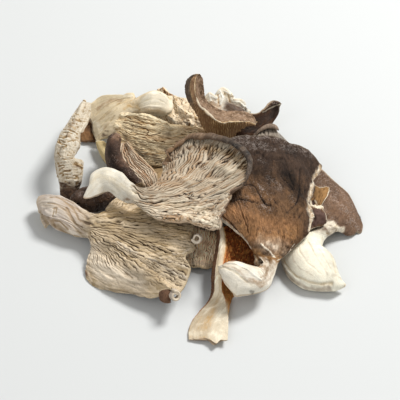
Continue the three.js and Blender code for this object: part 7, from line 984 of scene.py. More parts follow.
            ('crack', 0.53, 0.6, [(0.85, 0.517), (0.875, 0.546), (0.896, 0.579), (0.921, 0.608)]),
            ('bald', 4.14, 1.0, [(0.792, 0.842), (0.867, 0.896), (0.954, 0.958), (0.983, 0.983)]),
            ('bald', 3.55, 0.9, [(0.821, 0.733), (0.883, 0.821), (0.942, 0.908)]),
            ('bald', 4.14, 0.6, [(0.713, 0.662), (0.779, 0.721)]),
            ('bald', 3.55, 0.6, [(0.887, 0.688), (0.946, 0.817)]),
            ('spot', 1.42, 0.8, [(0.75, 0.854), (0.842, 0.929), (0.921, 0.963), (0.983, 0.992)]),
            ('bald', 1.89, 0.9, [(0.75, 0.833), (0.829, 0.917), (0.921, 0.963), (0.983, 0.992)]),
            ('shade', 5.33, -0.26, [(0.971, 0.246), (0.971, 0.346), (0.971, 0.438), (0.975, 0.533), (0.987, 0.617)]),
            ('ochre', 3.55, 0.4, [(0.95, 0.312), (0.958, 0.4), (0.971, 0.487), (0.979, 0.567), (0.987, 0.629)]),
            ('shade', 5.33, 0.2, [(0.158, 0.45), (0.279, 0.342)]),
            ('shade', 7.69, 0.34, [(0.567, 0.817), (0.713, 0.792), (0.833, 0.862), (0.967, 0.95)]),
            ('shade', 5.33, -0.2, [(0.946, 0.354), (0.958, 0.442), (0.975, 0.546)]),
            ('shade', 5.92, -0.15, [(0.912, 0.508), (0.954, 0.621)]),
            ('shade', 6.51, -0.16, [(0.862, 0.104), (0.904, 0.192), (0.925, 0.237)]),
            ('gap', 3.85, 0.9, [(0.896, 0.083), (0.929, 0.133), (0.946, 0.188), (0.954, 0.237), (0.95, 0.304)]),
            ('gap', 4.14, 0.3, [(0.954, 0.346), (0.963, 0.408), (0.975, 0.462), (0.987, 0.512), (0.987, 0.554), (0.987, 0.604), (0.983, 0.65)]),
            ('warm', 3.55, 0.45, [(0.933, 0.083), (0.938, 0.163), (0.946, 0.237), (0.942, 0.317)]),
            ('warm', 4.14, 0.5, [(0.579, 0.179), (0.654, 0.071), (0.746, 0.079), (0.825, 0.113)]),
            ('warm', 2.96, 0.3, [(0.875, 0.308), (0.871, 0.388), (0.858, 0.446), (0.879, 0.508), (0.904, 0.546)]),
            ('warm', 2.07, 0.6, [(0.575, 0.479), (0.6, 0.667), (0.629, 0.613)]),
            ('warm', 1.18, 0.7, [(0.758, 0.554), (0.8, 0.65), (0.825, 0.675)]),
            ('warm', 1.48, 0.6, [(0.646, 0.887), (0.688, 0.887), (0.733, 0.908)]),
            ('spot', 5.33, 0.35, [(0.917, 0.496), (0.942, 0.562), (0.954, 0.621)]),
            ('bald', 4.73, 0.75, [(0.921, 0.483), (0.938, 0.562), (0.963, 0.633)]),
            ('spot', 4.14, 0.4, [(0.654, 0.604), (0.754, 0.688), (0.858, 0.821), (0.963, 0.958)]),
            ('spot', 2.96, 0.9, [(0.121, 0.346), (0.171, 0.317), (0.237, 0.383), (0.3, 0.487), (0.354, 0.637)]),
            ('spot', 2.37, 0.7, [(0.35, 0.487), (0.412, 0.525), (0.492, 0.667)]),
            ('warm', 1.78, 0.8, [(0.396, 0.883), (0.429, 0.817)]),
            ('bald', 2.37, 0.6, [(0.567, 0.721), (0.654, 0.821), (0.742, 0.912), (0.85, 0.971)]),
            ('H', 2.96, -1.0, [(0.946, 0.329), (0.904, 0.383), (0.871, 0.429), (0.875, 0.504), (0.904, 0.558)]),
            ('H', 2.96, 0.9, [(0.912, 0.438), (0.921, 0.504), (0.942, 0.575)]),
            ('H', 2.37, -0.8, [(0.771, 0.45), (0.783, 0.579), (0.829, 0.654)]),
            ('H', 2.96, 0.8, [(0.762, 0.242), (0.783, 0.371), (0.808, 0.487)]),
            ('H', 2.96, 0.8, [(0.633, 0.471), (0.721, 0.613), (0.833, 0.742)]),
            ('h', 0.77, -0.7, [(0.567, 0.787), (0.629, 0.558), (0.696, 0.5), (0.75, 0.529)]),
            ('crack', 0.65, 0.56, [(0.908, 0.729), (0.954, 0.812)]),
            ('crack', 0.65, 0.56, [(0.929, 0.821), (0.933, 0.825)]),
            ('crack', 0.65, 0.56, [(0.938, 0.858), (0.963, 0.883)]),
            ('crack', 0.59, 0.56, [(0.917, 0.654), (0.942, 0.688)]),
            ('crack', 0.59, 0.5, [(0.908, 0.596), (0.925, 0.625)]),
            ('crack', 0.59, 0.5, [(0.875, 0.567), (0.904, 0.613)]),
            ('crack', 0.71, 0.56, [(0.817, 0.421), (0.825, 0.454), (0.838, 0.467)]),
            ('crack', 0.59, 0.56, [(0.762, 0.425), (0.779, 0.462)]),
            ('crack', 0.59, 0.5, [(0.758, 0.454), (0.771, 0.492)]),
            ('crack', 0.65, 0.56, [(0.754, 0.504), (0.775, 0.567), (0.812, 0.608)]),
            ('crack', 0.59, 0.5, [(0.729, 0.504), (0.738, 0.529)]),
            ('crack', 0.59, 0.5, [(0.879, 0.483), (0.887, 0.504), (0.9, 0.537)]),
            ('crack', 0.59, 0.5, [(0.904, 0.533), (0.921, 0.537)]),
            ('crack', 0.59, 0.43, [(0.912, 0.558), (0.925, 0.575)]),
            ('crack', 0.59, 0.5, [(0.904, 0.571), (0.929, 0.6), (0.95, 0.629)]),
            ('crack', 0.53, 0.5, [(0.867, 0.342), (0.883, 0.379)]),
            ('crack', 0.53, 0.43, [(0.858, 0.346), (0.875, 0.383)]),
            ('crack', 0.53, 0.43, [(0.842, 0.362), (0.862, 0.4)]),
            ('crack', 0.53, 0.43, [(0.858, 0.371), (0.875, 0.404)]),
            ('crack', 0.59, 0.3, [(0.929, 0.425), (0.946, 0.446)]),
            ('crack', 0.65, 0.5, [(0.933, 0.25), (0.912, 0.271)]),
            ('crack', 0.65, 0.5, [(0.95, 0.308), (0.942, 0.329)]),
            ('crack', 0.59, 0.5, [(0.971, 0.2), (0.958, 0.217)]),
            ('crack', 0.59, 0.5, [(0.908, 0.1), (0.85, 0.108)]),
            ('crack', 0.59, 0.5, [(0.908, 0.183), (0.875, 0.183)]),
            ('crack', 0.59, 0.5, [(0.929, 0.2), (0.896, 0.212)]),
            ('crack', 0.53, 0.43, [(1.0, 0.821), (0.979, 0.817)]),
            ('crack', 0.53, 0.5, [(0.95, 0.821), (0.987, 0.858)]),
            ('crack', 0.53, 0.5, [(0.929, 0.871), (0.967, 0.904)]),
            ('crack', 0.53, 0.37, [(0.892, 0.75), (0.929, 0.817)]),
            ('crack', 0.53, 0.37, [(0.842, 0.779), (0.887, 0.817)]),
            ('crack', 0.47, 0.31, [(0.692, 0.654), (0.771, 0.713)]),
            ('crack', 0.47, 0.31, [(0.629, 0.792), (0.746, 0.796)])],
        "roll": {"r": 1.7, "ang": 225, "mask": [0.8, 1, 1, 1, 1, 1, 1, 1, 0.9, 0.1, 0.05, 0.05, 0.05]},
    },
}

EXTRAS = {'gilled_fan_left': [{'front': 'gill',
                      'rows': [[(-15.1, -67.3, 15.1), (-14.3, -69.1, 16.7), (-13.6, -70.9, 18.3)],
                               [(-13.5, -67.1, 14.6), (-12.8, -68.9, 16.1), (-12.1, -70.7, 17.7)],
                               [(-12.5, -67.6, 13.6), (-11.7, -69.4, 15.1), (-11.0, -71.2, 16.6)],
                               [(-12.1, -68.5, 12.4), (-11.4, -70.3, 13.9), (-10.7, -72.0, 15.5)],
                               [(-12.6, -69.5, 11.5), (-11.9, -71.3, 13.0), (-11.2, -73.0, 14.5)],
                               [(-13.7, -70.3, 11.2), (-12.9, -72.0, 12.6), (-12.2, -73.7, 14.1)],
                               [(-14.9, -70.7, 11.4), (-14.2, -72.4, 12.9), (-13.5, -74.1, 14.3)],
                               [(-15.8, -70.5, 12.1), (-15.1, -72.2, 13.5), (-14.4, -73.9, 15.0)],
                               [(-16.3, -70.0, 12.9), (-15.6, -71.6, 14.4), (-14.9, -73.3, 15.8)],
                               [(-16.2, -69.3, 13.7), (-15.5, -70.9, 15.1), (-14.8, -72.6, 16.6)],
                               [(-15.5, -68.6, 14.2), (-14.8, -70.3, 15.6), (-14.2, -71.9, 17.0)],
                               [(-14.7, -68.3, 14.2), (-14.0, -69.9, 15.6), (-13.3, -71.5, 17.0)],
                               [(-13.9, -68.3, 13.8), (-13.3, -69.9, 15.2), (-12.6, -71.5, 16.6)],
                               [(-13.5, -68.6, 13.3), (-12.8, -70.2, 14.7), (-12.2, -71.8, 16.0)]],
                      'sign': 1,
                      'thick': [1.6, 1.4, 1.1]},
                     {'front': 'gill',
                      'rows': [[(-3.4, -33.2, 19.0), (-3.7, -34.9, 20.5), (-4.0, -36.6, 22.0)],
                               [(-2.5, -34.0, 18.3), (-2.8, -35.7, 19.8), (-3.2, -37.3, 21.2)],
                               [(-1.3, -34.5, 18.2), (-1.6, -36.1, 19.6), (-2.0, -37.7, 21.0)],
                               [(-0.1, -34.4, 18.5), (-0.4, -36.1, 19.9), (-0.7, -37.7, 21.3)],
                               [(0.8, -34.0, 19.2), (0.5, -35.6, 20.6), (0.1, -37.2, 22.0)],
                               [(1.1, -33.4, 20.1), (0.8, -34.9, 21.5), (0.5, -36.5, 22.9)],
                               [(0.8, -32.6, 20.9), (0.5, -34.2, 22.2), (0.2, -35.8, 23.6)],
                               [(0.1, -32.1, 21.4), (-0.2, -33.7, 22.7), (-0.6, -35.2, 24.1)],
                               [(-0.9, -31.9, 21.4), (-1.2, -33.4, 22.8), (-1.5, -34.9, 24.1)],
                               [(-1.8, -32.0, 21.1), (-2.1, -33.5, 22.5), (-2.4, -35.0, 23.8)],
                               [(-2.3, -32.4, 20.6), (-2.6, -33.9, 21.9), (-2.9, -35.4, 23.2)],
                               [(-2.5, -32.9, 20.0), (-2.8, -34.4, 21.3), (-3.1, -35.9, 22.5)]],
                      'sign': -1,
                      'thick': [1.9, 1.5, 1.1]},
                     {'front': 'cap',
                      'rows': [[(-22.0, -64.7, 12.2), (-20.0, -64.6, 13.3), (-17.8, -65.1, 13.5), (-16.1, -66.4, 12.9)],
                               [(-22.2, -67.1, 11.1), (-20.2, -67.7, 12.6), (-18.0, -68.1, 13.2), (-16.3, -68.6, 12.0)],
                               [(-21.7, -69.2, 9.2), (-20.0, -70.4, 10.3), (-18.0, -71.0, 10.6), (-16.4, -70.6, 9.7)],
                               [(-20.6, -69.7, 7.7), (-19.2, -70.6, 8.0), (-17.5, -71.2, 8.3), (-16.1, -70.7, 8.3)]],
                      'sign': 1,
                      'thick': [0.9, 1.2, 1.2, 0.9]}],
 'rolled_rim_fragment': [{'front': 'gill',
                          'rows': [[(34.2, 59.7, 7.2), (38.5, 62.6, 8.7), (42.8, 64.5, 8.6), (46.5, 64.6, 7.3), (49.5, 63.0, 5.9), (53.8, 59.5, 3.2)],
                                   [(34.8, 57.3, 6.7), (39.1, 59.6, 7.8), (42.8, 61.3, 7.4), (45.8, 61.8, 6.4), (48.9, 61.4, 4.3), (52.5, 58.6, 2.4)],
                                   [(36.0, 55.3, 4.4), (39.7, 57.2, 5.1), (42.8, 58.6, 4.5), (45.9, 59.6, 3.5), (48.3, 59.3, 2.1),
                                    (51.4, 58.2, -0.2)]],
                          'sign': 1,
                          'thick': [0.9, 0.9]}]}

LOOKS = {
    "under_scrap_back": {'col': {'bloom': '#b9aa9c',
                 'dark': '#4a372b',
                 'dark2': '#6e5643',
                 'edge': '#cfbd9c',
                 'gill_d': '#6b4f36',
                 'gill_l': '#d9c6a6',
                 'gill_t': '#b59a74',
                 'ochre': '#c39a52',
                 'ochre2': '#8a6430',
                 'skin_d': '#4d3a2e',
                 'skin_l': '#8a6c54',
                 'spot': '#e6dcc6',
                 'spot2': '#c9b896',
                 'stem_d': '#c2ae8c',
                 'stem_l': '#ddd3be',
                 'warm': '#b08a62',
                 'warm2': '#6b4a2e'},
         'gills': (-0.2, -0.1),
         'period': 2.0,
         'res': (41, 61),
         'roughness': 0.85,
         'round': 0.6,
         'seed': 113,
         'stem': (-0.3, -0.2),
         'sub_b': (2, 2)},
    "pale_frilly_fragment": {'col': {'bloom': '#b9aa9c',
                 'dark': '#4a3428',
                 'dark2': '#604636',
                 'edge': '#e9dfc9',
                 'gill_d': '#73553c',
                 'gill_l': '#e8d5b6',
                 'gill_t': '#c1a67f',
                 'ochre': '#c39a52',
                 'ochre2': '#8a6430',
                 'skin_d': '#533f33',
                 'skin_l': '#94745c',
                 'spot': '#e6dcc6',
                 'spot2': '#c9b896',
                 'stem_d': '#dbc2a0',
                 'stem_l': '#f3f3ea',
                 'warm': '#bc946c',
                 'warm2': '#735033'},
         'dark': [(0.62, 0.62, 0.28, 0.3, 0.9)],
         'gills': (2, 3),
         'rag_rim': 0.8,
         'rag_side': 0.5,
         'res': (101, 81),
         'roughness': 0.88,
         'seed': 67,
         'stem': (2, 3),
         'stem_rough': 1.6,
         'sub_b': (2, 2)},
    "dark_cap_back_right": {'bump': 0.6,
         'col': {'bloom': '#b9aa9c',
                 'dark': '#2e2622',
                 'dark2': '#463a34',
                 'edge': '#b8a488',
                 'gill_d': '#5b3920',
                 'gill_l': '#bb946c',
                 'gill_t': '#9c734a',
                 'ochre': '#c39a52',
                 'ochre2': '#8a6430',
                 'skin_d': '#311e13',
                 'skin_l': '#573a26',
                 'spot': '#e6dcc6',
                 'spot2': '#c9b896',
                 'stem_d': '#a7825a',
                 'stem_l': '#be9e7c',
                 'warm': '#97663e',
                 'warm2': '#5b351b'},
         'dark': [(0.95, 0.3, 0.3, 0.6, 0.8)],
         'fine': 0.7,
         'gills': (2, 3),
         'gloss': 0.2,
         'rag_rim': 0.5,
         'rag_side': 0.4,
         'res': (109, 73),
         'roughness': 0.65,
         'seed': 71,
         'skin_h': 0.5,
         'stem': (-0.3, -0.2),
         'sub_b': (4, 4)},
    "rolled_rim_fragment": {'back_shade': -0.25,
         'bloom': 0.4,
         'col': {'bloom': '#b9aa9c',
                 'dark': '#4a372b',
                 'dark2': '#6e5643',
                 'edge': '#a08c78',
                 'gill_d': '#584e44',
                 'gill_l': '#9d9284',
                 'gill_t': '#84786c',
                 'ochre': '#c39a52',
                 'ochre2': '#8a6430',
                 'skin_d': '#5d4e43',
                 'skin_l': '#9b8674',
                 'spot': '#b9b4ac',
                 'spot2': '#8f8a84',
                 'stem_d': '#d5c098',
                 'stem_l': '#f2e8ce',
                 'warm': '#c1986b',
                 'warm2': '#765233'},
         'extra': [{'bend': 0.3,
                    'both': 'skin',
                    'edge_amt': 0.5,
                    'gills': (2, 3),
                    'rag_rim': 0.3,
                    'rag_side': 0.3,
                    'res': (25, 61),
                    'seed': 731,
                    'skin_h': 0.5,
                    'spot': [(0.3, 0.5, 2, 2, 0.85)],
                    'stem': (-0.3, -0.2),
                    'sub_b': (2, 2)}],
         'fine': 0.6,
         'gill_h': 0.8,
         'gills': (-0.2, -0.1),
         'period': 1.8,
         'res': (81, 101),
         # dust and painted sheen on the roll
         'roll_dust_sheen': 0.7,
         'roughness': 0.8,
         'seed': 73,
         'stem': (-0.3, -0.2),
         'sub_b': (2, 2)},
    "gilled_piece_back": {'col': {'bloom': '#b9aa9c',
                 'dark': '#4a372b',
                 'dark2': '#6e5643',
                 'edge': '#e6d8bb',
                 'gill_d': '#926e3e',
                 'gill_l': '#eddec4',
                 'gill_t': '#d0b289',
                 'ochre': '#c39a52',
                 'ochre2': '#8a6430',
                 'skin_d': '#4c392d',
                 'skin_l': '#886a52',
                 'spot': '#e6dcc6',
                 'spot2': '#c9b896',
                 'stem_d': '#c0aa89',
                 'stem_l': '#dacfbb',
                 'warm': '#ae8760',
                 'warm2': '#6a482d'},
         'crinkle': 2.2,
         'dash': 0.6,
         'gap': 0.6,
         'gill_h': 1.3,
         'gills': (-0.2, -0.1),
         'lump': 2.4,
         'period': 1.7,
         'pits': 1.1,
         'res': (97, 117),
         'roughness': 0.9,
         'seed': 61,
         'stem': (-0.3, -0.2),
         'sub_b': (2, 4),
         'wave': 1.6},
    # warm orange palette on a surface in shade: painted reflected light from its surroundings
    "shaded_cap_left": {'col': {'bloom': '#b9aa9c',
                 'dark': '#4a372b',
                 'dark2': '#6e5643',
                 'edge': '#5a4536',
                 'gill_d': '#724827',
                 'gill_l': '#e5b67e',
                 'gill_t': '#bf8d57',
                 'ochre': '#c39a52',
                 'ochre2': '#8a6430',
                 'skin_d': '#614129',
                 'skin_l': '#96704c',
                 'spot': '#e6dcc6',
                 'spot2': '#c9b896',
                 'stem_d': '#cda069',
                 'stem_l': '#eac290',
                 'warm': '#ba7e49',
                 'warm2': '#724321'},
         'gills': (2, 3),
         'res': (41, 41),
         'roughness': 0.85,
         'round': 0.25,
         'seed': 101,
         'stem': (-0.3, -0.2),
         'sub_b': (2, 2)},
    "pale_stem_flap": {'col': {'bloom': '#b9aa9c',
                 'dark': '#4a372b',
                 'dark2': '#6e5643',
                 'edge': '#ded0ae',
                 'gill_d': '#63472f',
                 'gill_l': '#cab593',
                 'gill_t': '#a98c66',
                 'ochre': '#cda460',
                 'ochre2': '#8a6430',
                 'skin_d': '#473428',
                 'skin_l': '#80624a',
                 'spot': '#fbf3e0',
                 'spot2': '#e8d9b4',
                 'stem_d': '#c9b58e',
                 'stem_l': '#dfd0b4',
                 'warm': '#a47e56',
                 'warm2': '#634328'},
         'fibres': 0.35,
         'gills': (2, 3),
         'rag_rim': 0.5,
         'rag_side': 0.4,
         'res': (161, 121),
         'roughness': 0.85,
         'seed': 53,
         'spot': [(0.12, 0.45, 0.26, 0.45, 0.8)],
         'stem': (2, 3),
         'stem_rough': 0.6,
         'sub_b': (4, 4)},
    # palette darker and warmer than the other pale stems: painted shade and warm reflected light
    "pale_stem_strip": {'col': {'bloom': '#b9aa9c',
                 'dark': '#4a372b',
                 'dark2': '#6e5643',
                 'edge': '#e4dabd',
                 'gill_d': '#66482b',
                 'gill_l': '#cfb589',
                 'gill_t': '#ad8d5f',
                 'ochre': '#c39a52',
                 'ochre2': '#8a6430',
                 'skin_d': '#493424',
                 'skin_l': '#836244',
                 'spot': '#e6dcc6',
                 'spot2': '#c9b896',
                 'stem_d': '#ba9f69',
                 'stem_l': '#d6c293',
                 'warm': '#a87e50',
                 'warm2': '#664324'},
         'gills': (2, 3),
         'res': (81, 33),
         'roughness': 0.88,
         'seed': 97,
         'stem': (2, 3),
         'sub_b': (2, 2)},
    "under_cap_left": {'col': {'bloom': '#b9aa9c',
                 'dark': '#4a372b',
                 'dark2': '#6e5643',
                 'edge': '#cfbd9c',
                 'gill_d': '#60482b',
                 'gill_l': '#a88d67',
                 'gill_t': '#a58662',
                 'ochre': '#c39a52',
                 'ochre2': '#8a6430',
                 'skin_d': '#453126',
                 'skin_l': '#7d5d46',
                 'spot': '#e6dcc6',
                 'spot2': '#c9b896',
                 'stem_d': '#b19777',
                 'stem_l': '#c9b8a2',
                 'warm': '#a07852',
                 'warm2': '#613f26'},
         'gills': (-0.2, -0.1),
         'period': 2.0,
         'res': (41, 61),
         'roughness': 0.88,
         'round': 0.6,
         'seed': 127,
         'stem': (-0.3, -0.2),
         'sub_b': (2, 2)},
    "gilled_cap_rear": {'col': {'bloom': '#b9aa9c',
                 'dark': '#4a372b',
                 'dark2': '#6e5643',
                 'edge': '#dccbaa',
                 'gill_d': '#6d5132',
                 'gill_l': '#e6d3af',
                 'gill_t': '#b69568',
                 'ochre': '#c39a52',
                 'ochre2': '#8a6430',
                 'skin_d': '#493528',
                 'skin_l': '#7f6348',
                 'spot': '#efe2c4',
                 'spot2': '#cdb68c',
                 'stem_d': '#b8a07c',
                 'stem_l': '#d2c3a8',
                 'warm': '#a77f56',
                 'warm2': '#654428'},
         'crinkle': 0.7,
         'dash': 0.45,
         'gap': 0.6,
         'gill_h': 1.0,
         'gills': (0.12, 0.25),
         'lump': 1.3,
         'period': 1.0,
         'rag_rim': 0.4,
         'rag_side': 0.4,
         'res': (161, 201),
         'roughness': 0.88,
         'seed': 59,
         'stem': (0.08, 0.2),
         'sub_b': (2, 4),
         'wave': 1.3},
    "cupped_cap_top": {'col': {'bloom': '#c9b8a8',
                 'dark': '#463c38',
                 'dark2': '#63554c',
                 'edge': '#e2d6c0',
                 'gill_d': '#84633e',
                 'gill_l': '#edce9a',
                 'gill_t': '#cca671',
                 'ochre': '#c39a52',
                 'ochre2': '#8a6430',
                 'skin_d': '#69513c',
                 'skin_l': '#a3876d',
                 'spot': '#b89270',
                 'spot2': '#8c6c50',
                 'stem_d': '#dcc196',
                 'stem_l': '#f3e9cb',
                 'warm': '#c79969',
                 'warm2': '#7a5332'},
         'res': (181, 81, 41),
         'roughness': 0.82,
         'seed': 131},
    "curled_strip_left": {'col': {'bloom': '#b9aa9c',
                 'dark': '#43332a',
                 'dark2': '#66503f',
                 'edge': '#e6dac0',
                 'gill_d': '#44321e',
                 'gill_l': '#e6e0d4',
                 'gill_t': '#ccbb9e',
                 'ochre': '#c39a52',
                 'ochre2': '#8a6430',
                 'skin_d': '#47362c',
                 'skin_l': '#806550',
                 'spot': '#c08a3e',
                 'spot2': '#b59a6a',
                 'stem_d': '#99815e',
                 'stem_l': '#d9d1c0',
                 'warm': '#a3815e',
                 'warm2': '#63452c'},
         'cross': 0.5,
         'cross_p': 1.7,
         'dark': [(0.93, 0.5, 0.135, 0.9, 1.0)],
         'fibres': 0.45,
         'gill_h': 0.6,
         'gills': (2, 3),
         'pits': 1.2,
         'rag_side': 0.8,
         'res': (217, 81),
         'roughness': 0.88,
         'seed': 43,
         'speck': 0.6,
         'stem': (2, 3),
         'stem_rough': 1.6,
         'sub_b': (4, 4)},
    "twisted_dark_cap": {'bloom': 0.5,
         'bump': 0.7,
         'col': {'bloom': '#9c9490',
                 'dark': '#4a372b',
                 'dark2': '#6e5643',
                 'edge': '#7b6656',
                 'gill_d': '#5c4028',
                 'gill_l': '#bda482',
                 'gill_t': '#9d7f5a',
                 'ochre': '#c39a52',
                 'ochre2': '#8a6430',
                 'skin_d': '#2a1d15',
                 'skin_l': '#524035',
                 'spot': '#e6dcc6',
                 'spot2': '#c9b896',
                 'stem_d': '#a9906d',
                 'stem_l': '#c1af95',
                 'warm': '#99714c',
                 'warm2': '#5c3c22'},
         'crease': 1.0,
         'fine': 0.8,
         'gills': (2, 3),
         'gloss': 0.2,
         'res': (103, 53),
         'roughness': 0.6,
         'seed': 47,
         'skin_h': 1.2,
         'stem': (-0.3, -0.2),
         'sub_b': (2, 2)},
    "folded_dark_cap": {'bloom': 0.55,
         'col': {'bloom': '#b5a297',
                 'dark': '#2c211c',
                 'dark2': '#3f312a',
                 'edge': '#b79f80',
                 'gill_d': '#42230e',
                 'gill_l': '#dac7ae',
                 'gill_t': '#aa805b',
                 'ochre': '#c39a52',
                 'ochre2': '#8a6430',
                 'skin_d': '#271b14',
                 'skin_l': '#503a2d',
                 'spot': '#e6dcc6',
                 'spot2': '#c9b896',
                 'stem_d': '#a89170',
                 'stem_l': '#c0b099',
                 'warm': '#8e6f57',
                 'warm2': '#5b402f'},
         'dash': 0.2,
         'gap': 0.7,
         'gill_h': 1.0,
         'gills': (-0.2, -0.1),
         'period': 1.4,
         'res': (101, 161),
         'roughness': 0.75,
         'seed': 41,
         'skin_h': 0.35,
         'stem': (-0.3, -0.2),
         'sub_b': (1, 1),
         'sub_t': (2, 1),
         'wave': 0.8},
    "under_cap_center": {'col': {'bloom': '#b9aa9c',
                 'dark': '#4a372b',
                 'dark2': '#6e5643',
                 'edge': '#cfbd9c',
                 'gill_d': '#6b4f36',
                 'gill_l': '#d9c6a6',
                 'gill_t': '#b59a74',
                 'ochre': '#c39a52',
                 'ochre2': '#8a6430',
                 'skin_d': '#4d3a2e',
                 'skin_l': '#8a6c54',
                 'spot': '#e6dcc6',
                 'spot2': '#c9b896',
                 'stem_d': '#c2ae8c',
                 'stem_l': '#ddd3be',
                 'warm': '#b08a62',
                 'warm2': '#6b4a2e'},
         'gills': (0.3, 0.4),
         'period': 2.0,
         'res': (41, 61),
         'roughness': 0.8,
         'round': 0.6,
         'seed': 103,
         'stem': (0.25, 0.4),
         'sub_b': (2, 2)},
    "under_cap_right": {'col': {'bloom': '#b9aa9c',
                 'dark': '#4a372b',
                 'dark2': '#6e5643',
                 'edge': '#cfbd9c',
                 'gill_d': '#6b4f36',
                 'gill_l': '#d9c6a6',
                 'gill_t': '#b59a74',
                 'ochre': '#c39a52',
                 'ochre2': '#8a6430',
                 'skin_d': '#4d3a2e',
                 'skin_l': '#7c6350',
                 'spot': '#e6dcc6',
                 'spot2': '#c9b896',
                 'stem_d': '#c2ae8c',
                 'stem_l': '#ddd3be',
                 'warm': '#b08a62',
                 'warm2': '#6b4a2e'},
         'gills': (0.3, 0.4),
         'period': 2.0,
         'res': (41, 61),
         'roughness': 0.8,
         'round': 0.6,
         'seed': 107,
         'stem': (0.25, 0.4),
         'sub_b': (2, 2)},
    "brown_cap_right": {'bloom': 0.4,
         'bump': 0.6,
         'col': {'bloom': '#a99c92',
                 'dark': '#5f4a3c',
                 'dark2': '#7d6554',
                 'edge': '#d9c8ac',
                 'gill_d': '#4c311c',
                 'gill_l': '#9e8262',
                 'gill_t': '#836443',
                 'ochre': '#a08058',
                 'ochre2': '#6e5236',
                 'skin_d': '#4f3829',
                 'skin_l': '#795e49',
                 'spot': '#f0e6d2',
                 'spot2': '#cdb998',
                 'stem_d': '#e1d2b4',
                 'stem_l': '#f3efdd',
                 'warm': '#7f5938',
                 'warm2': '#4c2e17'},
         'crease': 0.7,
         'fibres': 0.15,
         'fine': 0.6,
         'gill_h': 0.9,
         'gills': (0.5, 0.58),
         'gloss': 0.2,
         'period': 1.9,
         'rag_rim': 0.4,
         'rag_side': 0.3,
         'res': (181, 129),
         'roughness': 0.7,
         'seed': 79,
         'skin_h': 0.55,
         'skin_period': 3.0,
         'stem': (0.55, 0.68),
         'stem_rough': 0.4,
         'sub_b': (4, 4)},
    "tan_curled_fragment": {'col': {'bloom': '#b9aa9c',
                 'dark': '#4a3630',
                 'dark2': '#5c4640',
                 'edge': '#efe3cc',
                 'gill_d': '#3d2813',
                 'gill_l': '#89673f',
                 'gill_t': '#72502a',
                 'ochre': '#c39a52',
                 'ochre2': '#8a6430',
                 'skin_d': '#342217',
                 'skin_l': '#543c27',
                 'spot': '#f0e4cc',
                 'spot2': '#c8ac80',
                 'stem_d': '#634627',
                 'stem_l': '#8c6c44',
                 'warm': '#7b5836',
                 'warm2': '#492d17'},
         'dark': [(0.78, 0.6, 0.22, 0.5, 0.95)],
         'gill_h': 0.7,
         'gills': (-0.2, -0.1),
         'period': 2.0,
         'rag_side': 0.6,
         'res': (97, 49),
         'roughness': 0.85,
         'seed': 83,
         'stem': (-0.3, -0.2),
         'sub_b': (2, 2)},
    "gilled_piece_under": {'col': {'bloom': '#b9aa9c',
                 'dark': '#4c3c34',
                 'dark2': '#5e4c42',
                 'edge': '#b5a07e',
                 'gill_d': '#66523c',
                 'gill_l': '#f0dcbe',
                 'gill_t': '#cdb28e',
                 'ochre': '#c39a52',
                 'ochre2': '#8a6430',
                 'skin_d': '#4d3a2e',
                 'skin_l': '#8a6c54',
                 'spot': '#e6dcc6',
                 'spot2': '#c9b896',
                 'stem_d': '#c2ae8c',
                 'stem_l': '#ddd3be',
                 'warm': '#b08a62',
                 'warm2': '#6b4a2e'},
         'crinkle': 1.4,
         'dash': 0.45,
         'gap': 0.8,
         'gill_h': 1.3,
         'gills': (-0.2, -0.1),
         'lump': 1.6,
         'period': 1.15,
         'res': (101, 113),
         'roughness': 0.88,
         'seed': 89,
         'shade': 0.6,
         'stem': (-0.3, -0.2),
         'sub_b': (2, 4)},
    "under_fan_center": {'col': {'bloom': '#b9aa9c',
                 'dark': '#4a372b',
                 'dark2': '#6e5643',
                 'edge': '#cfbd9c',
                 'gill_d': '#6b4f36',
                 'gill_l': '#d9c6a6',
                 'gill_t': '#b59a74',
                 'ochre': '#c39a52',
                 'ochre2': '#8a6430',
                 'skin_d': '#4d3a2e',
                 'skin_l': '#8a6c54',
                 'spot': '#e6dcc6',
                 'spot2': '#c9b896',
                 'stem_d': '#c2ae8c',
                 'stem_l': '#ddd3be',
                 'warm': '#b08a62',
                 'warm2': '#6b4a2e'},
         'gills': (0.2, 0.3),
         'period': 1.9,
         'res': (49, 101),
         'roughness': 0.86,
         'round': 0.4,
         'seed': 109,
         'stem': (0.15, 0.3),
         'sub_b': (2, 4)},
    "split_mushroom_edge": {'col': {'bloom': '#b9aa9c',
                 'dark': '#4c3020',
                 'dark2': '#66432d',
                 'edge': '#7d5f43',
                 'gill_d': '#7b3c19',
                 'gill_l': '#dc8544',
                 'gill_t': '#b4642b',
                 'ochre': '#cda260',
                 'ochre2': '#a07a42',
                 'skin_d': '#4d3525',
                 'skin_l': '#7c5a42',
                 'spot': '#efe6d0',
                 'spot2': '#dccbaa',
                 'stem_d': '#baa582',
                 'stem_l': '#cec0a9',
                 'warm': '#cd7d3f',
                 'warm2': '#8d491d'},
         'foot': [(-7.41, 0.0), (-6.14, 0.59), (-5.21, 1.01), (-4.11, -0.3), (-2.45, 1.01), (-0.8, 0.0), (1.95, -0.3), (4.71, 0.59), (6.91, 1.95),
                  (8.01, 3.14), (9.39, 4.02), (10.21, 3.14), (11.04, 1.48), (12.41, 0.59), (14.62, 0.89), (16.82, 0.3)],
         'res': (201, 81, 41),
         'roughness': 0.85,
         'seed': 137},
    "brown_cap_large": {'bald': [],
         'bloom': 0.22,
         'bump': 0.7,
         'col': {'bloom': '#b3aaa4',
                 'dark': '#2c221d',
                 'dark2': '#40322a',
                 'edge': '#c9b497',
                 'gill_d': '#785a39',
                 'gill_l': '#c6b28e',
                 'gill_t': '#9e8259',
                 'neck': '#9e774e',
                 'ochre': '#a47a4c',
                 'ochre2': '#5e3f24',
                 'skin_d': '#352418',
                 'skin_l': '#705339',
                 'spot': '#efe4d0',
                 'spot2': '#c4ab8c',
                 'stem_d': '#e1d3b6',
                 'stem_l': '#f3eddf',
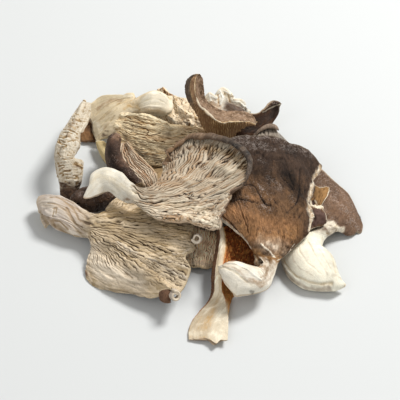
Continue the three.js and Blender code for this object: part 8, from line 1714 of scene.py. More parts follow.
                 'warm': '#936b48',
                 'warm2': '#6f4e32'},
         'crease': 0.8,
         'dark': [(1.0, 0.62, 0.16, 0.5, 0.85), (0.93, 1.0, 0.22, 0.16, 0.7)],
         'fibres': 0.2,
         'fine': 1.4,
         'gill_h': 1.0,
         'gills': (0.5, 0.58),
         'gloss': 0.16,
         'pack_u': [(0, 0.7), (0.3, 0.7), (0.45, 1), (1, 1)],
         'paint_back': True,
         'period': 1.9,
         'rag_rim': 0.4,
         'rag_side': 0.35,
         'res': (241, 225),
         'roughness': 0.74,
         'seed': 23,
         'skin_h': 1.15,
         'skin_period': 3.4,
         'skin_size': 0.85,
         'speck': 0.0,
         'stem': (0.4, 0.57),
         'stem_rough': 0.5,
         'stem_skew': 0.0,
         'sub_b': (4, 4)},
    "gilled_fan_left": {'bald': [(0.86, 0.98, 0.2, 0.3, 0.9), (1.0, 0.8, 0.1, 0.16, 0.8)],
         'col': {'bloom': '#b9aa9c',
                 'dark': '#553c2e',
                 'dark2': '#71523f',
                 'edge': '#cdbb9b',
                 'gill_d': '#362414',
                 'gill_l': '#d4c1a4',
                 'gill_t': '#a38c68',
                 'ochre': '#c39a52',
                 'ochre2': '#8a6430',
                 'skin_d': '#513e2f',
                 'skin_l': '#7b6550',
                 'spot': '#f0e6d6',
                 'spot2': '#b39d80',
                 'stem_d': '#aa947a',
                 'stem_l': '#cabeb2',
                 'warm': '#9e855e',
                 'warm2': '#594325'},
         'crinkle': 0.8,
         'dark': [(0.8, 1.03, 0.05, 0.05, 0.9)],
         'dash': 0.5,
         'extra': [{'back_dark': 0.75,
                    'bend': 0.1,
                    'edge_amt': 1.0,
                    'edge_t': 1.2,
                    'gill_h': 0.2,
                    'gills': (-0.2, -0.1),
                    'lump': 0.2,
                    'period': 1.5,
                    'rag_rim': 0.2,
                    'rag_side': 0.2,
                    'res': (81, 13),
                    'seed': 371,
                    'skin_h': 0.5,
                    'spot': [(0.5, 0.5, 3, 3, 0.6)],
                    'stem': (-0.3, -0.2),
                    'sub_b': (2, 2)},
                   {'bend': 0.1,
                    'edge_t': 1.2,
                    'gill_h': 0.2,
                    'gills': (2, 3),
                    'lump': 0.2,
                    'rag_rim': 0.1,
                    'rag_side': 0.2,
                    'res': (61, 13),
                    'seed': 372,
                    'skin_h': 0.3,
                    'spot': [(0.5, 0.5, 3, 3, 0.85)],
                    'stem': (2, 3),
                    'stem_rough': 0.3,
                    'sub_b': (2, 2)},
                   {'back_dark': 0.8,
                    'bend': 0.2,
                    'dark': [(0.5, 0.5, 3, 3, 0.85)],
                    'edge_amt': 0.6,
                    'edge_t': 1.2,
                    'gills': (2, 3),
                    'rag_rim': 0.3,
                    'rag_side': 0.3,
                    'res': (25, 33),
                    'seed': 373,
                    'skin_h': 0.7,
                    'stem': (-0.3, -0.2),
                    'sub_b': (2, 2)}],
         'fan': {'curl': 0.12, 'e1': (1.0, 0.0, 0.0), 'e2': (0.0, -0.7314, -0.682), 'pole': (-67.11, -15.11, 10.0), 'span': 2.3},
         'gap': 0.8,
         'gill_h': 1.45,
         'gills': (0.3, 0.42),
         'lump': 0.7,
         'period': 1.45,
         'pits': 0.1,
         'rag_rim': 0.5,
         'rag_side': 0.3,
         'res': (161, 353),
         'roughness': 0.85,
         'seed': 37,
         'stem': (0.22, 0.4),
         'stem_rough': 1.5,
         'sub_b': (2, 4),
         'wave': 1.15},
    "gilled_cap_center": {'bend': 0.9,
         'bloom': 0.3,
         'col': {'bloom': '#b5a99c',
                 'dark': '#202326',
                 'dark2': '#2f2f2e',
                 'edge': '#c9b297',
                 'gill_d': '#2c1c12',
                 'gill_l': '#ccbfaa',
                 'gill_t': '#a78561',
                 'ochre': '#c39a52',
                 'ochre2': '#8a6430',
                 'skin_d': '#554234',
                 'skin_l': '#866f5b',
                 'spot': '#e6dcc6',
                 'spot2': '#c9b896',
                 'stem_d': '#d2c5ac',
                 'stem_l': '#e6e3d7',
                 'warm': '#8f7051',
                 'warm2': '#5f432a'},
         'crinkle': 0.3,
         'dark': [],
         'dash': 0.18,
         'fibres': 0.6,
         'gap': 0.78,
         'gill_h': 1.75,
         'gills': (0.4, 0.5),
         'lump': 0.75,
         'pack_v': [(0, 0.85), (0.25, 0.85), (0.36, 1.25), (0.72, 1.25), (0.8, 0.95), (1, 0.95)],
         'period': 1.55,
         'rag_rim': 0.5,
         'rag_side': 0.3,
         'res': (163, 405),
         # dust on the rolled margin, with painted sheen
         'roll_dust_sheen': 0.5,
         'roll_dark': [0.15, 0.1, 0.15, 0.25, 0.55, 1, 1, 1, 0.9, 0.6, 0.4, 0.2, 0.2],
         'roll_r': [1.7, 1.9, 1.85, 1.55, 1.0, 0.85, 0.8],
         'roll_warm': [1, 1, 0.8, 0.4, 0.1, 0, 0, 0, 0, 0, 0, 0, 0],
         'roughness': 0.85,
         'seed': 11,
         'stem': (0.36, 0.5),
         'stem_rough': 0.35,
         'sub_b': (2, 4),
         'wave': 1.5},
}


# ------------------------------------------------------------------ noise
def _hash(ix, iy, seed):
    h = (ix.astype(np.int64) * 374761393 + iy.astype(np.int64) * 668265263 + int(seed) * 1442695041) & 0xFFFFFFFF
    h = ((h ^ (h >> 13)) * 1274126177) & 0xFFFFFFFF
    return h ^ (h >> 16)


def rnd(i, seed):
    i = np.asarray(i, float)
    return _hash(np.round(i), np.zeros_like(i), seed) / 4294967295.0


def perlin(x, y, seed):
    x, y = np.broadcast_arrays(np.asarray(x, float), np.asarray(y, float))
    xi, yi = np.floor(x), np.floor(y)
    fx, fy = x - xi, y - yi

    def corner(a, b):
        ang = _hash(xi + a, yi + b, seed) * (2 * math.pi / 4294967296.0)
        return np.cos(ang) * (fx - a) + np.sin(ang) * (fy - b)

    u = fx * fx * fx * (fx * (6 * fx - 15) + 10)
    v = fy * fy * fy * (fy * (6 * fy - 15) + 10)
    a = corner(0, 0) * (1 - u) + corner(1, 0) * u
    b = corner(0, 1) * (1 - u) + corner(1, 1) * u
    return (a * (1 - v) + b * v) * 1.5


def fbm(x, y, seed, octaves=4, gain=0.5):
    out, amp, tot = 0.0, 1.0, 0.0
    for k in range(octaves):
        out = out + amp * perlin(x * 2 ** k + 17.3 * k, y * 2 ** k - 9.1 * k, seed + 31 * k)
        tot += amp
        amp *= gain
    return out / tot


def smooth(a, b, x):
    t = np.clip((x - a) / (b - a), 0, 1)
    return t * t * (3 - 2 * t)


def unit(a):
    return a / np.maximum(np.linalg.norm(a, axis=-1, keepdims=True), 1e-9)


# ------------------------------------------------------------------ surfaces
def basis(n, ts):
    ts = np.asarray(ts, float)
    B = np.zeros((len(ts), n + 2))
    p = ts * (n - 1)
    i = np.clip(np.floor(p).astype(int), 0, n - 2)
    w = p - i
    c = [-0.5 * w ** 3 + w ** 2 - 0.5 * w, 1.5 * w ** 3 - 2.5 * w ** 2 + 1,
         -1.5 * w ** 3 + 2 * w ** 2 + 0.5 * w, 0.5 * w ** 3 - 0.5 * w ** 2]
    r = np.arange(len(ts))
    for k in range(4):
        np.add.at(B, (r, i + k), c[k])
    M = B[:, 1:-1].copy()
    M[:, 0] += 2 * B[:, 0]
    M[:, 1] -= B[:, 0]
    M[:, -1] += 2 * B[:, -1]
    M[:, -2] -= B[:, -1]
    return M


def tensor(G, us, vs):
    return np.einsum("ui,ijc,vj->uvc", basis(G.shape[0], us), G, basis(G.shape[1], vs))


def grid_normals(M):
    du = np.gradient(M, axis=0)
    dv = np.gradient(M, axis=1)
    return unit(du), unit(dv), unit(np.cross(du, dv))


def widths(M):
    seg = np.linalg.norm(np.diff(M, axis=1), axis=-1)
    s = np.concatenate([np.zeros((len(M), 1)), np.cumsum(seg, axis=1)], 1)
    return s, s[:, -1:]


def lengths(M):
    seg = np.linalg.norm(np.diff(M, axis=0), axis=-1)
    s = np.concatenate([np.zeros((1, M.shape[1])), np.cumsum(seg, axis=0)], 0)
    return s


def ridge_of(x, sharp):
    return 1 - np.abs(np.sin(math.pi * x)) ** sharp


def gill_level(x, k, sx, seed, gap, dash):
    """Wide pale crests parted by narrow gaps at whole numbers of x; each gap comes and goes along its length."""
    i = np.round(x)
    val = np.abs(np.sin(math.pi * x))
    along = perlin(sx / 4.6 + 5.0 * rnd(i + 7919 * k, seed + 3), i * 7.31 + k * 3.3, seed + 4)
    depth = 1 - dash * (1 - smooth(-0.30, 0.22, along))
    depth = depth * (0.72 + 0.28 * rnd(i + 4096 * k, seed + 5))
    return 1 - depth * (1 - smooth(0.0, 1.0, val / gap)), rnd(np.floor(x) + 911 * k, seed + 8)


def gill_field(q, wid, sx, sy, period, seed, wave=1.0, n0=None, gap=0.6, dash=0.75, crinkle=1.0):
    """Gills along u that double in number as the fan widens. Returns relief 0..1 and a tone for each gill."""
    warp = wave * (1.3 * perlin(sx / 14, sy / 8, seed) + 0.6 * perlin(sx / 5.5, sy / 4.0, seed + 1) + crinkle * (0.55 * perlin(sx / 3.0, sy / 2.6, seed + 2) + 0.24 * perlin(sx / 1.5, sy / 2.0, seed + 6)))
    qq = q + warp / np.maximum(wid, 2.0)
    n0 = n0 or max(3, round(float(np.min(wid)) / period))
    lev = np.log2(np.maximum(wid / (n0 * period), 1.0)) + 0.4 * perlin(sx / 12, sy / 6, seed + 9)
    lev = np.clip(lev, 0, 7)
    k = np.floor(lev)
    f = smooth(0.2, 0.8, lev - k)
    x0 = (qq - 0.5) * n0 * 2 ** k
    r0, t0 = gill_level(x0, k, sx, seed, gap, dash)
    r1, t1 = gill_level(x0 * 2, k + 1, sx, seed, gap, dash)
    return np.clip(r0 * (1 - f) + r1 * f, 0, 1), t0 * (1 - f) + t1 * f


def creases(sx, sy, seed, size=1.0):
    """Leathery skin: a network of long folds, shorter ones between them and a fine grain."""
    wx, wy = sx + 3 * fbm(sx / 9, sy / 9, seed + 1, 2), sy + 3 * fbm(sx / 9, sy / 9, seed + 2, 2)
    n1 = fbm(wx / (17 * size), wy / (8 * size), seed + 3, 3)
    n2 = fbm(wx / (8 * size), wy / (4.2 * size), seed + 4, 3)
    n3 = fbm(wx / (3.6 * size), wy / (2.2 * size), seed + 5, 2)
    here = smooth(-0.25, 0.25, fbm(sx / 13, sy / 11, seed + 6, 2))
    c1 = (1 - smooth(0, 0.055, np.abs(n1))) * (0.35 + 0.65 * here)
    c2 = (1 - smooth(0, 0.085, np.abs(n2))) * 0.6 * here
    c3 = (1 - smooth(0, 0.14, np.abs(n3))) * 0.28
    d = -0.42 * c1 - 0.24 * c2 - 0.08 * c3 + 0.55 * np.minimum(np.abs(n1), 0.4) + 0.30 * np.minimum(np.abs(n2), 0.4) + 0.1 * n3
    return d, np.clip(np.maximum(np.maximum(c1, c2), c3), 0, 1)


# ------------------------------------------------------------------ meshes
SCALE = 0.001
FLOOR = 0.15
# Among these attributes: ridge carries the relief, which the material paints darker in gaps, pits, creases and cracks
# as shade. shade is painted shade and light. dark and spot carry dark and pale colour and, where strokes put them,
# painted shadow and highlights. The white-fleck attribute holds dust and painted sheen.
ATTRS = ("ridge", "skin", "stem", "edge", "dark", "spot", "tone", "warm", "bloom", "leaf", "ochre", "along", "across", "shade")


def dense_curve(pts):
    """Smooth curve through control rows (parameter, x, y, z)."""
    a = np.asarray(pts, float)
    if len(a) < 3:
        return a
    return basis(len(a), np.linspace(0, 1, 6 * (len(a) - 1) + 1)) @ a


def on_curve(pts, s):
    a = dense_curve(pts)
    p = np.maximum.accumulate(a[:, 0]) + np.arange(len(a)) * 1e-9
    return np.stack([np.interp(s, p, a[:, k]) for k in (1, 2, 3)], -1)


def fit_edges(M, us, vs, c):
    """Bend the outline of the sheet to its traced margin, sides and butt end."""
    e = c.get("edges", {})
    r0 = c.get("rim_from", 0.55)
    if "rim" in e:
        d = on_curve(e["rim"], vs) - M[-1]
        M = M + smooth(r0, 1, us)[:, None, None] * d[None]
    if "butt" in e:
        d = on_curve(e["butt"], vs) - M[0]
        M = M + (1 - smooth(0, c.get("butt_to", 0.2), us))[:, None, None] * d[None]
    w = c.get("side_w", 0.45)
    if "s0" in e:
        d = on_curve(e["s0"], us) - M[:, 0]
        M = M + (1 - smooth(0, w, vs))[None, :, None] * d[:, None]
    if "s1" in e:
        d = on_curve(e["s1"], us) - M[:, -1]
        M = M + smooth(1 - w, 1, vs)[None, :, None] * d[:, None]
    return M


def at_uv(M, us, vs, uv):
    """Points of the surface at the given parameters."""
    uv = np.asarray(uv, float)
    i = np.interp(uv[:, 0], us, np.arange(len(us)))
    j = np.interp(uv[:, 1], vs, np.arange(len(vs)))
    a, b = np.minimum(i.astype(int), len(us) - 2), np.minimum(j.astype(int), len(vs) - 2)
    f, g = (i - a)[:, None], (j - b)[:, None]
    return (M[a, b] * (1 - f) * (1 - g) + M[a + 1, b] * f * (1 - g) + M[a, b + 1] * (1 - f) * g + M[a + 1, b + 1] * f * g)


def stroke_dist(P, line):
    """Distance from every point to a polyline, and how far along it that is."""
    best = np.full(P.shape[:-1], 1e9)
    along = np.zeros(P.shape[:-1])
    if len(line) == 1:
        return np.linalg.norm(P - line[0], axis=-1), along
    s = 0.0
    for a, b in zip(line[:-1], line[1:]):
        ab = b - a
        ln = max(float(np.linalg.norm(ab)), 1e-6)
        t = np.clip(((P - a) @ ab) / ln ** 2, 0, 1)
        d = np.linalg.norm(P - a - t[..., None] * ab, axis=-1)
        along = np.where(d < best, s + t * ln, along)
        best = np.minimum(best, d)
        s += ln
    return best, along


def strokes(M, M0, us, vs, c, seed, sx, sy):
    """Placed folds, cracks and colour patches, as soft lines on the surface; some of them are painted shade, shadow,
    highlights and sheen.
    """
    out = {}
    wob = fbm(sx / 3.2, sy / 3.2, seed + 301, 3)
    for k, (ch, r, s, uv) in enumerate(c.get("strokes", [])):
        line = at_uv(M0, us, vs, uv)
        d, along = stroke_dist(M, line)
        fine = ch in ("h", "crack")
        d = d + (0.35 if fine else 0.75) * min(r, 3.0 if fine else 5.0) * wob * (0.5 if fine else 1.0)
        prof = np.clip(1 - d / r, 0, 1)
        prof = prof * prof * (3 - 2 * prof)
        if fine:
            prof = prof * (0.55 + 0.45 * smooth(-0.4, 0.3, perlin(sx / 4.0, sy / 4.0, seed + 303 + k)))
        if ch == "comb":
            teeth = np.abs(np.sin(math.pi * (along / 1.15 + 0.5 * wob)))
            out[ch] = np.maximum(out.get(ch, 0), s * prof * (1 - np.clip(teeth / 0.75, 0, 1)))
        elif ch in ("h", "H", "tone", "shade"):
            out[ch] = out.get(ch, 0) + s * prof
        else:
            out[ch] = np.maximum(out.get(ch, 0), s * prof)
    return out


class Builder:
    def __init__(self):
        self.v, self.a, self.uv, self.faces, self.n = [], {}, [], [], 0
        self.box = (0.0, 0.0, 1.0, 1.0)

    def add(self, P, uv, **attrs):
        base = self.n
        P = P.reshape(-1, 3)
        self.v.append(P)
        x0, y0, x1, y1 = self.box
        self.uv.append(np.asarray(uv, float).reshape(-1, 2) * (x1 - x0, y1 - y0) + (x0, y0))
        k = len(P)
        for name in ATTRS:
            x = attrs.get(name, 0.0)
            self.a.setdefault(name, []).append(np.broadcast_to(np.asarray(x, float).reshape(-1) if np.ndim(x) else float(x), (k,)))
        self.n += k
        return base

    def quads(self, q):
        self.faces.append(np.asarray(q, np.int64).reshape(-1, 4))

    def tris(self, t):
        t = np.asarray(t, np.int64).reshape(-1, 3)
        self.faces.append(np.concatenate([t, t[:, 2:]], 1))

    def grid(self, base, U, V, flip=False):
        i, j = np.meshgrid(np.arange(U - 1), np.arange(V - 1), indexing="ij")
        a = base + i * V + j
        q = np.stack([a, a + V, a + V + 1, a + 1], -1).reshape(-1, 4)
        self.quads(q[:, ::-1] if flip else q)

    def object(self, name, mat):
        v = np.concatenate(self.v)
        v[:, 2] = np.maximum(v[:, 2], FLOOR)
        f = np.concatenate(self.faces)
        tri = f[:, 2] == f[:, 3]
        # outward: positive volume
        a, b, c = v[f[:, 0]], v[f[:, 1]], v[f[:, 2]]
        vol = np.einsum("ij,ij->i", a, np.cross(b, c)).sum()
        d = v[f[:, 3]]
        vol += np.einsum("ij,ij->i", a, np.cross(c, d))[~tri].sum()
        if vol < 0:
            f = np.concatenate([f[:, [0]], f[:, [3]], f[:, [2]], f[:, [1]]], 1)
            f[tri] = f[tri][:, [0, 2, 3, 3]]
        counts = np.where(tri, 3, 4)
        loops = np.concatenate([f[k, : counts[k]] for k in range(0)]) if False else f.reshape(-1)[(np.arange(4)[None] < counts[:, None]).reshape(-1)]
        me = bpy.data.meshes.new(name)
        me.vertices.add(len(v))
        me.vertices.foreach_set("co", (v * SCALE).astype(np.float32).ravel())
        me.loops.add(len(loops))
        me.loops.foreach_set("vertex_index", loops.astype(np.int32))
        me.polygons.add(len(f))
        start = np.concatenate([[0], np.cumsum(counts)[:-1]])
        me.polygons.foreach_set("loop_start", start.astype(np.int32))
        me.update(calc_edges=True)
        me.polygons.foreach_set("use_smooth", np.ones(len(f), bool))
        for k, parts in self.a.items():
            at = me.attributes.new(k, "FLOAT", "POINT")
            at.data.foreach_set("value", np.concatenate(parts).astype(np.float32))
        uv = np.concatenate(self.uv)
        layer = me.uv_layers.new(name="OFBake")
        layer.data.foreach_set("uv", uv[loops].astype(np.float32).ravel())
        me.materials.append(mat)
        me.validate()
        o = bpy.data.objects.new(name + "_look", me)
        bpy.context.scene.collection.objects.link(o)
        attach(o, "root")
        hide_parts(name)
        print(name, len(v), "verts", int((counts - 2).sum()), "tris")
        return o


def loop_of(U, V):
    return ([(i, 0) for i in range(U - 1)] + [(U - 1, j) for j in range(V - 1)]
            + [(i, V - 1) for i in range(U - 1, 0, -1)] + [(0, j) for j in range(V - 1, 0, -1)])


def thick_of(th, us, vs, edge):
    T = np.interp(us * (len(th) - 1), np.arange(len(th)), th)[:, None]
    p = np.clip(2.2 + (7 - T), 2.2, 7)
    s = np.abs(2 * vs[None] - 1)
    S = np.maximum(0, 1 - s ** p) ** (1 / p)
    e = np.minimum(T, edge)
    return e + (T - e) * S


def mask_from(blobs, U, V, sx, sy, seed):
    """Soft patches given as (u, v, ru, rv, strength) with noisy borders."""
    out = np.zeros_like(U + V)
    for (u, v, ru, rv, s) in blobs:
        d = ((U - u) / ru) ** 2 + ((V - v) / rv) ** 2
        d = np.sqrt(d) + 0.35 * fbm(sx / 6, sy / 6, seed + 77, 3)
        out = np.maximum(out, s * (1 - smooth(0.65, 1.25, d)))
    return out


def spread(n, dens):
    """Sample positions, closer together where the density is higher."""
    if not dens:
        return np.linspace(0, 1, n)
    x = np.linspace(0, 1, 501)
    w = np.interp(x, [d[0] for d in dens], [d[1] for d in dens])
    cum = np.concatenate([[0], np.cumsum((w[1:] + w[:-1]) / 2)])
    return np.interp(np.linspace(0, 1, n), cum / cum[-1], x)


def sheet(name, c, B=None):
    G = np.array(c["rows"], float)
    nu, nv = c["res"]
    kt, kb = c.get("sub_t", (1, 1)), c.get("sub_b", (2, 4))
    K = 0
    seed = c["seed"]
    us = spread(nu, c.get("pack_u"))
    t = spread(nv, c.get("pack_v"))
    vs = 0.7 * t + 0.3 * (0.5 - 0.5 * np.cos(math.pi * t))
    M = fit_edges(tensor(G, us, vs), us, vs, c)
    if c.get("round"):
        # corners drawn in towards a rounded outline
        a, b = 2 * us[:, None] - 1, 2 * vs[None] - 1
        a_, b_ = a * np.sqrt(1 - b * b * c["round"] / 2), b * np.sqrt(1 - a * a * c["round"] / 2)
        M = at_uv(M, us, vs, np.stack([(a_ + 1) / 2, (b_ + 1) / 2], -1).reshape(-1, 2)).reshape(M.shape)
    M0 = M.copy()
    du, dv, n = grid_normals(M)
    sgn = c["sign"]
    n = n * sgn
    sY, wid = widths(M)
    q = sY / wid
    sX = lengths(M)
    U, V = us[:, None] + 0 * vs[None], 0 * us[:, None] + vs[None]
    sy = (q - 0.5) * wid
    sx = sX.mean(1, keepdims=True) + 0 * sy
    L = float(sX[-1].mean())
    # ragged outline: pull the margin and the sides in and out a little
    r_rim, r_side = c.get("rag_rim", 1.2), c.get("rag_side", 0.8)
    rim_n = (0.6 * fbm(sy / 7, 0 * sy + 3.1, seed + 11, 3) + 0.4 * np.abs(perlin(sy / 2.4, 0 * sy + 7.7, seed + 12)))
    fu = smooth(0.90, 1.0, U) ** 2
    if c.get("teeth"):
        Rt, _ = gill_field(q, wid, sx, sy, c.get("period", 1.9), seed + 50, c.get("wave", 1.0), c.get("n0"), 0.8, 0.4)
        rim_n = 0.5 * rim_n + c["teeth"] * (1 - Rt[-1:]) * (0.4 + 0.6 * smooth(-0.2, 0.4, perlin(sy / 6, 0 * sy + 4.4, seed + 17)))
    M = M - du * (fu * r_rim * (0.15 + rim_n))[..., None]
    side_n = 0.65 * fbm(sx / 6, 0 * sx + 1.7, seed + 13, 3) + 0.35 * np.abs(perlin(sx / 2.1, 0 * sx + 5.2, seed + 14))
    side_n2 = 0.65 * fbm(sx / 6, 0 * sx + 41.7, seed + 15, 3) + 0.35 * np.abs(perlin(sx / 2.1, 0 * sx + 25.2, seed + 16))
    thin = 1 - smooth(4.0, 8.0, np.interp(us * (len(c["thick"]) - 1), np.arange(len(c["thick"])), c["thick"]))[:, None]
    fa, fb = (1 - smooth(0, 0.14, V)) ** 2, smooth(0.86, 1, V) ** 2
    M = M + dv * ((fa * side_n - fb * side_n2) * r_side * (0.25 + 0.75 * thin))[..., None]
    # slow bends of dried flesh, stronger to the margin
    bend = c.get("bend", 0.7)
    M = M + n * (bend * (0.3 + 0.7 * np.maximum(smooth(0.5, 1, U), 0)) * thin * fbm(sx / 22, sy / 15, seed + 20, 2))[..., None]
    for (amp, wl, u_from, v0, v1) in c.get("frill", []):
        part = smooth(v0 - 0.06, v0 + 0.06, V) * (1 - smooth(v1 - 0.06, v1 + 0.06, V))
        M = M + n * (amp * smooth(u_from, 1, U) * part * perlin(sy / wl + 0.3 * perlin(sx / 5, sy / 5, seed + 23), sx / (4 * wl), seed + 21) * 1.6)[..., None]
    T = thick_of(c["thick"], us, vs, c.get("edge_t", 0.8))
    end_t = c.get("tip_t")
    if end_t:
        T = np.minimum(T, end_t + (T * 0 + 99) * (1 - smooth(0.93, 1.0, U)) + 0)
    du, dv, n = grid_normals(M)
    n = n * sgn
    roll = c.get("roll")
    rolled = np.zeros_like(U)
    if roll:
        K = roll.get("k", 18)
        mask = np.interp(vs * (len(roll["mask"]) - 1), np.arange(len(roll["mask"])), roll["mask"])
        mask = mask * (1 + 0.16 * fbm(sy[-1] / 9, 0 * sy[-1] + 2.2, seed + 30, 2))
        radii = c.get("roll_r", [roll["r"]] * 2)
        rr = (np.interp(vs * (len(radii) - 1), np.arange(len(radii)), radii) * (1 + 0.22 * fbm(sy[-1] / 8, 0 * sy[-1] + 8.2, seed + 31, 2)))[:, None]
        E, Tn = M[-1], du[-1]
        N = unit(n[-1] - (n[-1] * Tn).sum(-1, keepdims=True) * Tn)
        mm, dd, nn = [], [], []
        for k in range(1, K + 1):
            a = np.radians(roll["ang"] * mask * k / K)[:, None]
            mm.append(E + rr * (np.sin(a) * Tn + (1 - np.cos(a)) * N))
            dd.append(np.cos(a) * Tn + np.sin(a) * N)
            nn.append(np.cos(a) * N - np.sin(a) * Tn)
        M = np.concatenate([M, np.array(mm)])
        du = np.concatenate([du, np.array(dd)])
        n = np.concatenate([n, np.array(nn)])
        dv = np.concatenate([dv, np.repeat(dv[-1:], K, 0)])
        T = np.concatenate([T, T[-1:] * (1 - 0.3 * np.linspace(0, 1, K + 1)[1:, None])])
        ext = lambda A, step=0.0: np.concatenate([A, A[-1:] + step * np.arange(1, K + 1)[:, None]])
        arc = roll["r"] * math.radians(roll["ang"]) / K
        U, V, q, sy = ext(U), ext(V), ext(q), ext(sy)
        sx = ext(sx, arc)
        wid = np.concatenate([wid, np.repeat(wid[-1:], K, 0)])
        rolled = np.concatenate([np.zeros((nu, nv)), np.repeat(np.linspace(0, 1, K + 1)[1:, None], nv, 1)])
    # placed folds, cracks and patches, some of them painted shade, highlights and sheen
    on_face = (rolled == 0) * 1.0
    sk_ = {k: x * on_face for k, x in strokes(M, M0, us, vs, c, seed, sx, sy).items()}
    zero = 0.0 * U
    M = M + n * sk_.get("H", zero)[..., None]
    # reliefs
    g0, g1 = c.get("gills", (2, 3))
    gm = smooth(g0, g1, U + c.get("gill_skew", 0.0) * (V - 0.5) + 0.08 * fbm(sx / 5, sy / 4, seed + 40, 3))
    for (u, v, ru, rv, s) in c.get("bald", []):
        d = np.sqrt(((U - u) / ru) ** 2 + ((V - v) / rv) ** 2) + 0.3 * fbm(sx / 6, sy / 6, seed + 41, 3)
        gm = gm * (1 - s * (1 - smooth(0.7, 1.2, d)))
    gap = c.get("gap", 0.6) * (1 + 0.35 * fbm(sx / 9, sy / 7, seed + 43, 2))
    for (u, v, ru, rv, s) in c.get("open", []):
        d = np.sqrt(((U - u) / ru) ** 2 + ((V - v) / rv) ** 2)
        gap = gap * (1 + s * (1 - smooth(0.5, 1.1, d)))
    gm = gm * (1 - sk_.get("bald", zero))
    gap = np.clip(gap * (1 + 1.1 * sk_.get("gap", zero)), 0.15, 1.25)
    dash = c.get("dash", 0.75) * (1 - 0.9 * np.clip(sk_.get("gap", zero), 0, 1))
    ga_, gw_, gx_, gy_ = q, wid, sx, sy
    fan = c.get("fan")
    if fan:
        # gills spread from one point of the neck instead of following the sides
        rel = M - np.array(fan["pole"])
        X, Y = rel @ np.array(fan["e1"]), rel @ np.array(fan["e2"])
        gx_ = np.hypot(X, Y) + 1e-3
        ang = np.arctan2(Y, X) + fan.get("curl", 0.0) * gx_ / 60
        ga_, gw_, gy_ = ang / fan["span"], gx_ * fan["span"], ang * gx_
        near = smooth(-1, 5, X)
        lx_, ly_ = sx + near * (gx_ - sx), sy + near * (gy_ - sy)
    else:
        lx_, ly_ = sx, sy
    R, leaf = gill_field(ga_, gw_, gx_, gy_, c.get("period", 1.9), seed + 50, c.get("wave", 1.0), c.get("n0"), gap, dash, c.get("crinkle", 1.0))
    H = c.get("gill_h", 1.15)
    streak = fbm(lx_ / 10, ly_ / 0.62, seed + 66, 3)
    lump = fbm(sx / 8, sy / 6.5, seed + 61, 4)
    fib = fbm(lx_ / 17, ly_ / 1.15, seed + 62, 3)
    wr = fbm(sx / 16, sy / 3.4, seed + 60, 3)
    pit = fbm(sx / 1.6, sy / 1.5, seed + 63, 3)
    rim_fade = 1 - 0.35 * smooth(0.95, 1, U)
    sr_ = c.get("stem_rough", 1.0)
    gill_d = gm * ((R - 0.75) * H * rim_fade * (1 - 0.35 * rolled) + 0.18 * (leaf - 0.5)) + gm * c.get("lump", 0.8) * lump + (1 - gm) * (0.4 * wr + 0.16 * fib + 0.3 * lump + 0.05 * pit) * sr_
    pits = smooth(0.25, 0.6, fbm(sx / 2.6, sy / 2.9, seed + 64, 3)) * c.get("pits", 0.0)
    gill_d = gill_d - pits * 0.7
    # ridge carries the relief to the material, which paints its low parts darker as shade: the gaps between gills, the
    # pits and, below, the cross grooves
    gill_r = np.clip(gm * (R * (0.82 + 0.18 * leaf) + 0.1 * lump) + (1 - gm) * (0.66 + max(0.3, c.get("fibres", 1.0)) * (0.38 * fib + 0.22 * wr)) - pits, 0, 1.1)
    cross = c.get("cross", 0.0)
    if cross:
        cw = sx / c.get("cross_p", 1.5) + 0.9 * fbm(sx / 6, sy / 3.2, seed + 67, 3) + 0.35 * perlin(sx / 2, sy / 1.1, seed + 68)
        Rc = np.clip(np.abs(np.sin(math.pi * cw)) / 0.55, 0, 1)
        Rc = 1 - (1 - Rc) * smooth(-0.45, 0.2, perlin(sx / 2.2, sy / 2.6, seed + 69))
        gill_d = gill_d + cross * 0.75 * (Rc - 0.8)
        gill_r = np.clip(gill_r - cross * 0.55 * (1 - Rc), 0, 1.1)
    sk = c.get("skin_h", 1.0)
    cd, cr = creases(sx, sy, seed + 70, c.get("skin_size", 1.0))
    ca = c.get("crease", 1.0) * smooth(-0.35, 0.35, fbm(sx / 24, sy / 20, seed + 74, 2))
    cd, cr = cd * (0.35 + 0.65 * ca), cr * ca
    fine = fbm((sx + 2.0 * lump) / 9.0, (sy + 2.5 * lump) / 0.95, seed + 75, 3)
    grit = fbm(sx / 0.9, sy / 0.85, seed + 76, 2)
    fw = c.get("fine", 0.5)
    skin_d = sk * (cd + 0.35 * lump + 0.06 * pit + 0.16 * fw * fine + 0.05 * grit)
    # the skin's creases lower ridge, so the material paints them darker as shade
    skin_r = np.clip(0.72 + 0.35 * fbm(sx / 6, sy / 4, seed + 72, 4) + 0.2 * fbm(sx / 2.2, sy / 1.6, seed + 73, 3) - 0.72 * cr + 0.3 * fw * fine + 0.16 * grit, 0, 1)
    s0, s1 = c.get("stem", (g0, g1))
    st = 1 - smooth(s0, s1, U + 0.07 * fbm(sx / 4, sy / 3, seed + 42, 3) + c.get("stem_skew", 0.0) * (V - 0.5))
    calm = st * (1 - min(1.0, c.get("fibres", 1.0)))
    skin_d, skin_r = skin_d * (1 - 0.8 * calm), skin_r + (0.78 + 0.1 * lump - skin_r) * calm
    dark = mask_from(c.get("dark", []), U, V, sx, sy, seed + 80)
    spot = mask_from(c.get("spot", []), U, V, sx, sy, seed + 90)
    ddt = c.get("deep", [])
    for (u, v, ru, rv, h) in ddt:
        d = np.sqrt(((U - u) / ru) ** 2 + ((V - v) / rv) ** 2)
        M = M + n * (h * (1 - smooth(0, 1, d)))[..., None]
    crack, hh = np.maximum(sk_.get("crack", zero), 0.8 * sk_.get("comb", zero)), sk_.get("h", zero)
    tone = 0.5 + 0.5 * fbm(sx / 12, sy / 9, seed + 95, 3) + sk_.get("tone", zero)
    leafy = np.clip(0.5 * leaf + 0.35 + 0.55 * streak, 0, 1)
    front_gill = c["front"] == "gill"
    if c.get("both") == "gill":
        top_d, bot_d, top_r, bot_r, top_s, bot_s = gill_d, gill_d, gill_r, gill_r, 0, 0
    elif c.get("both") == "skin":
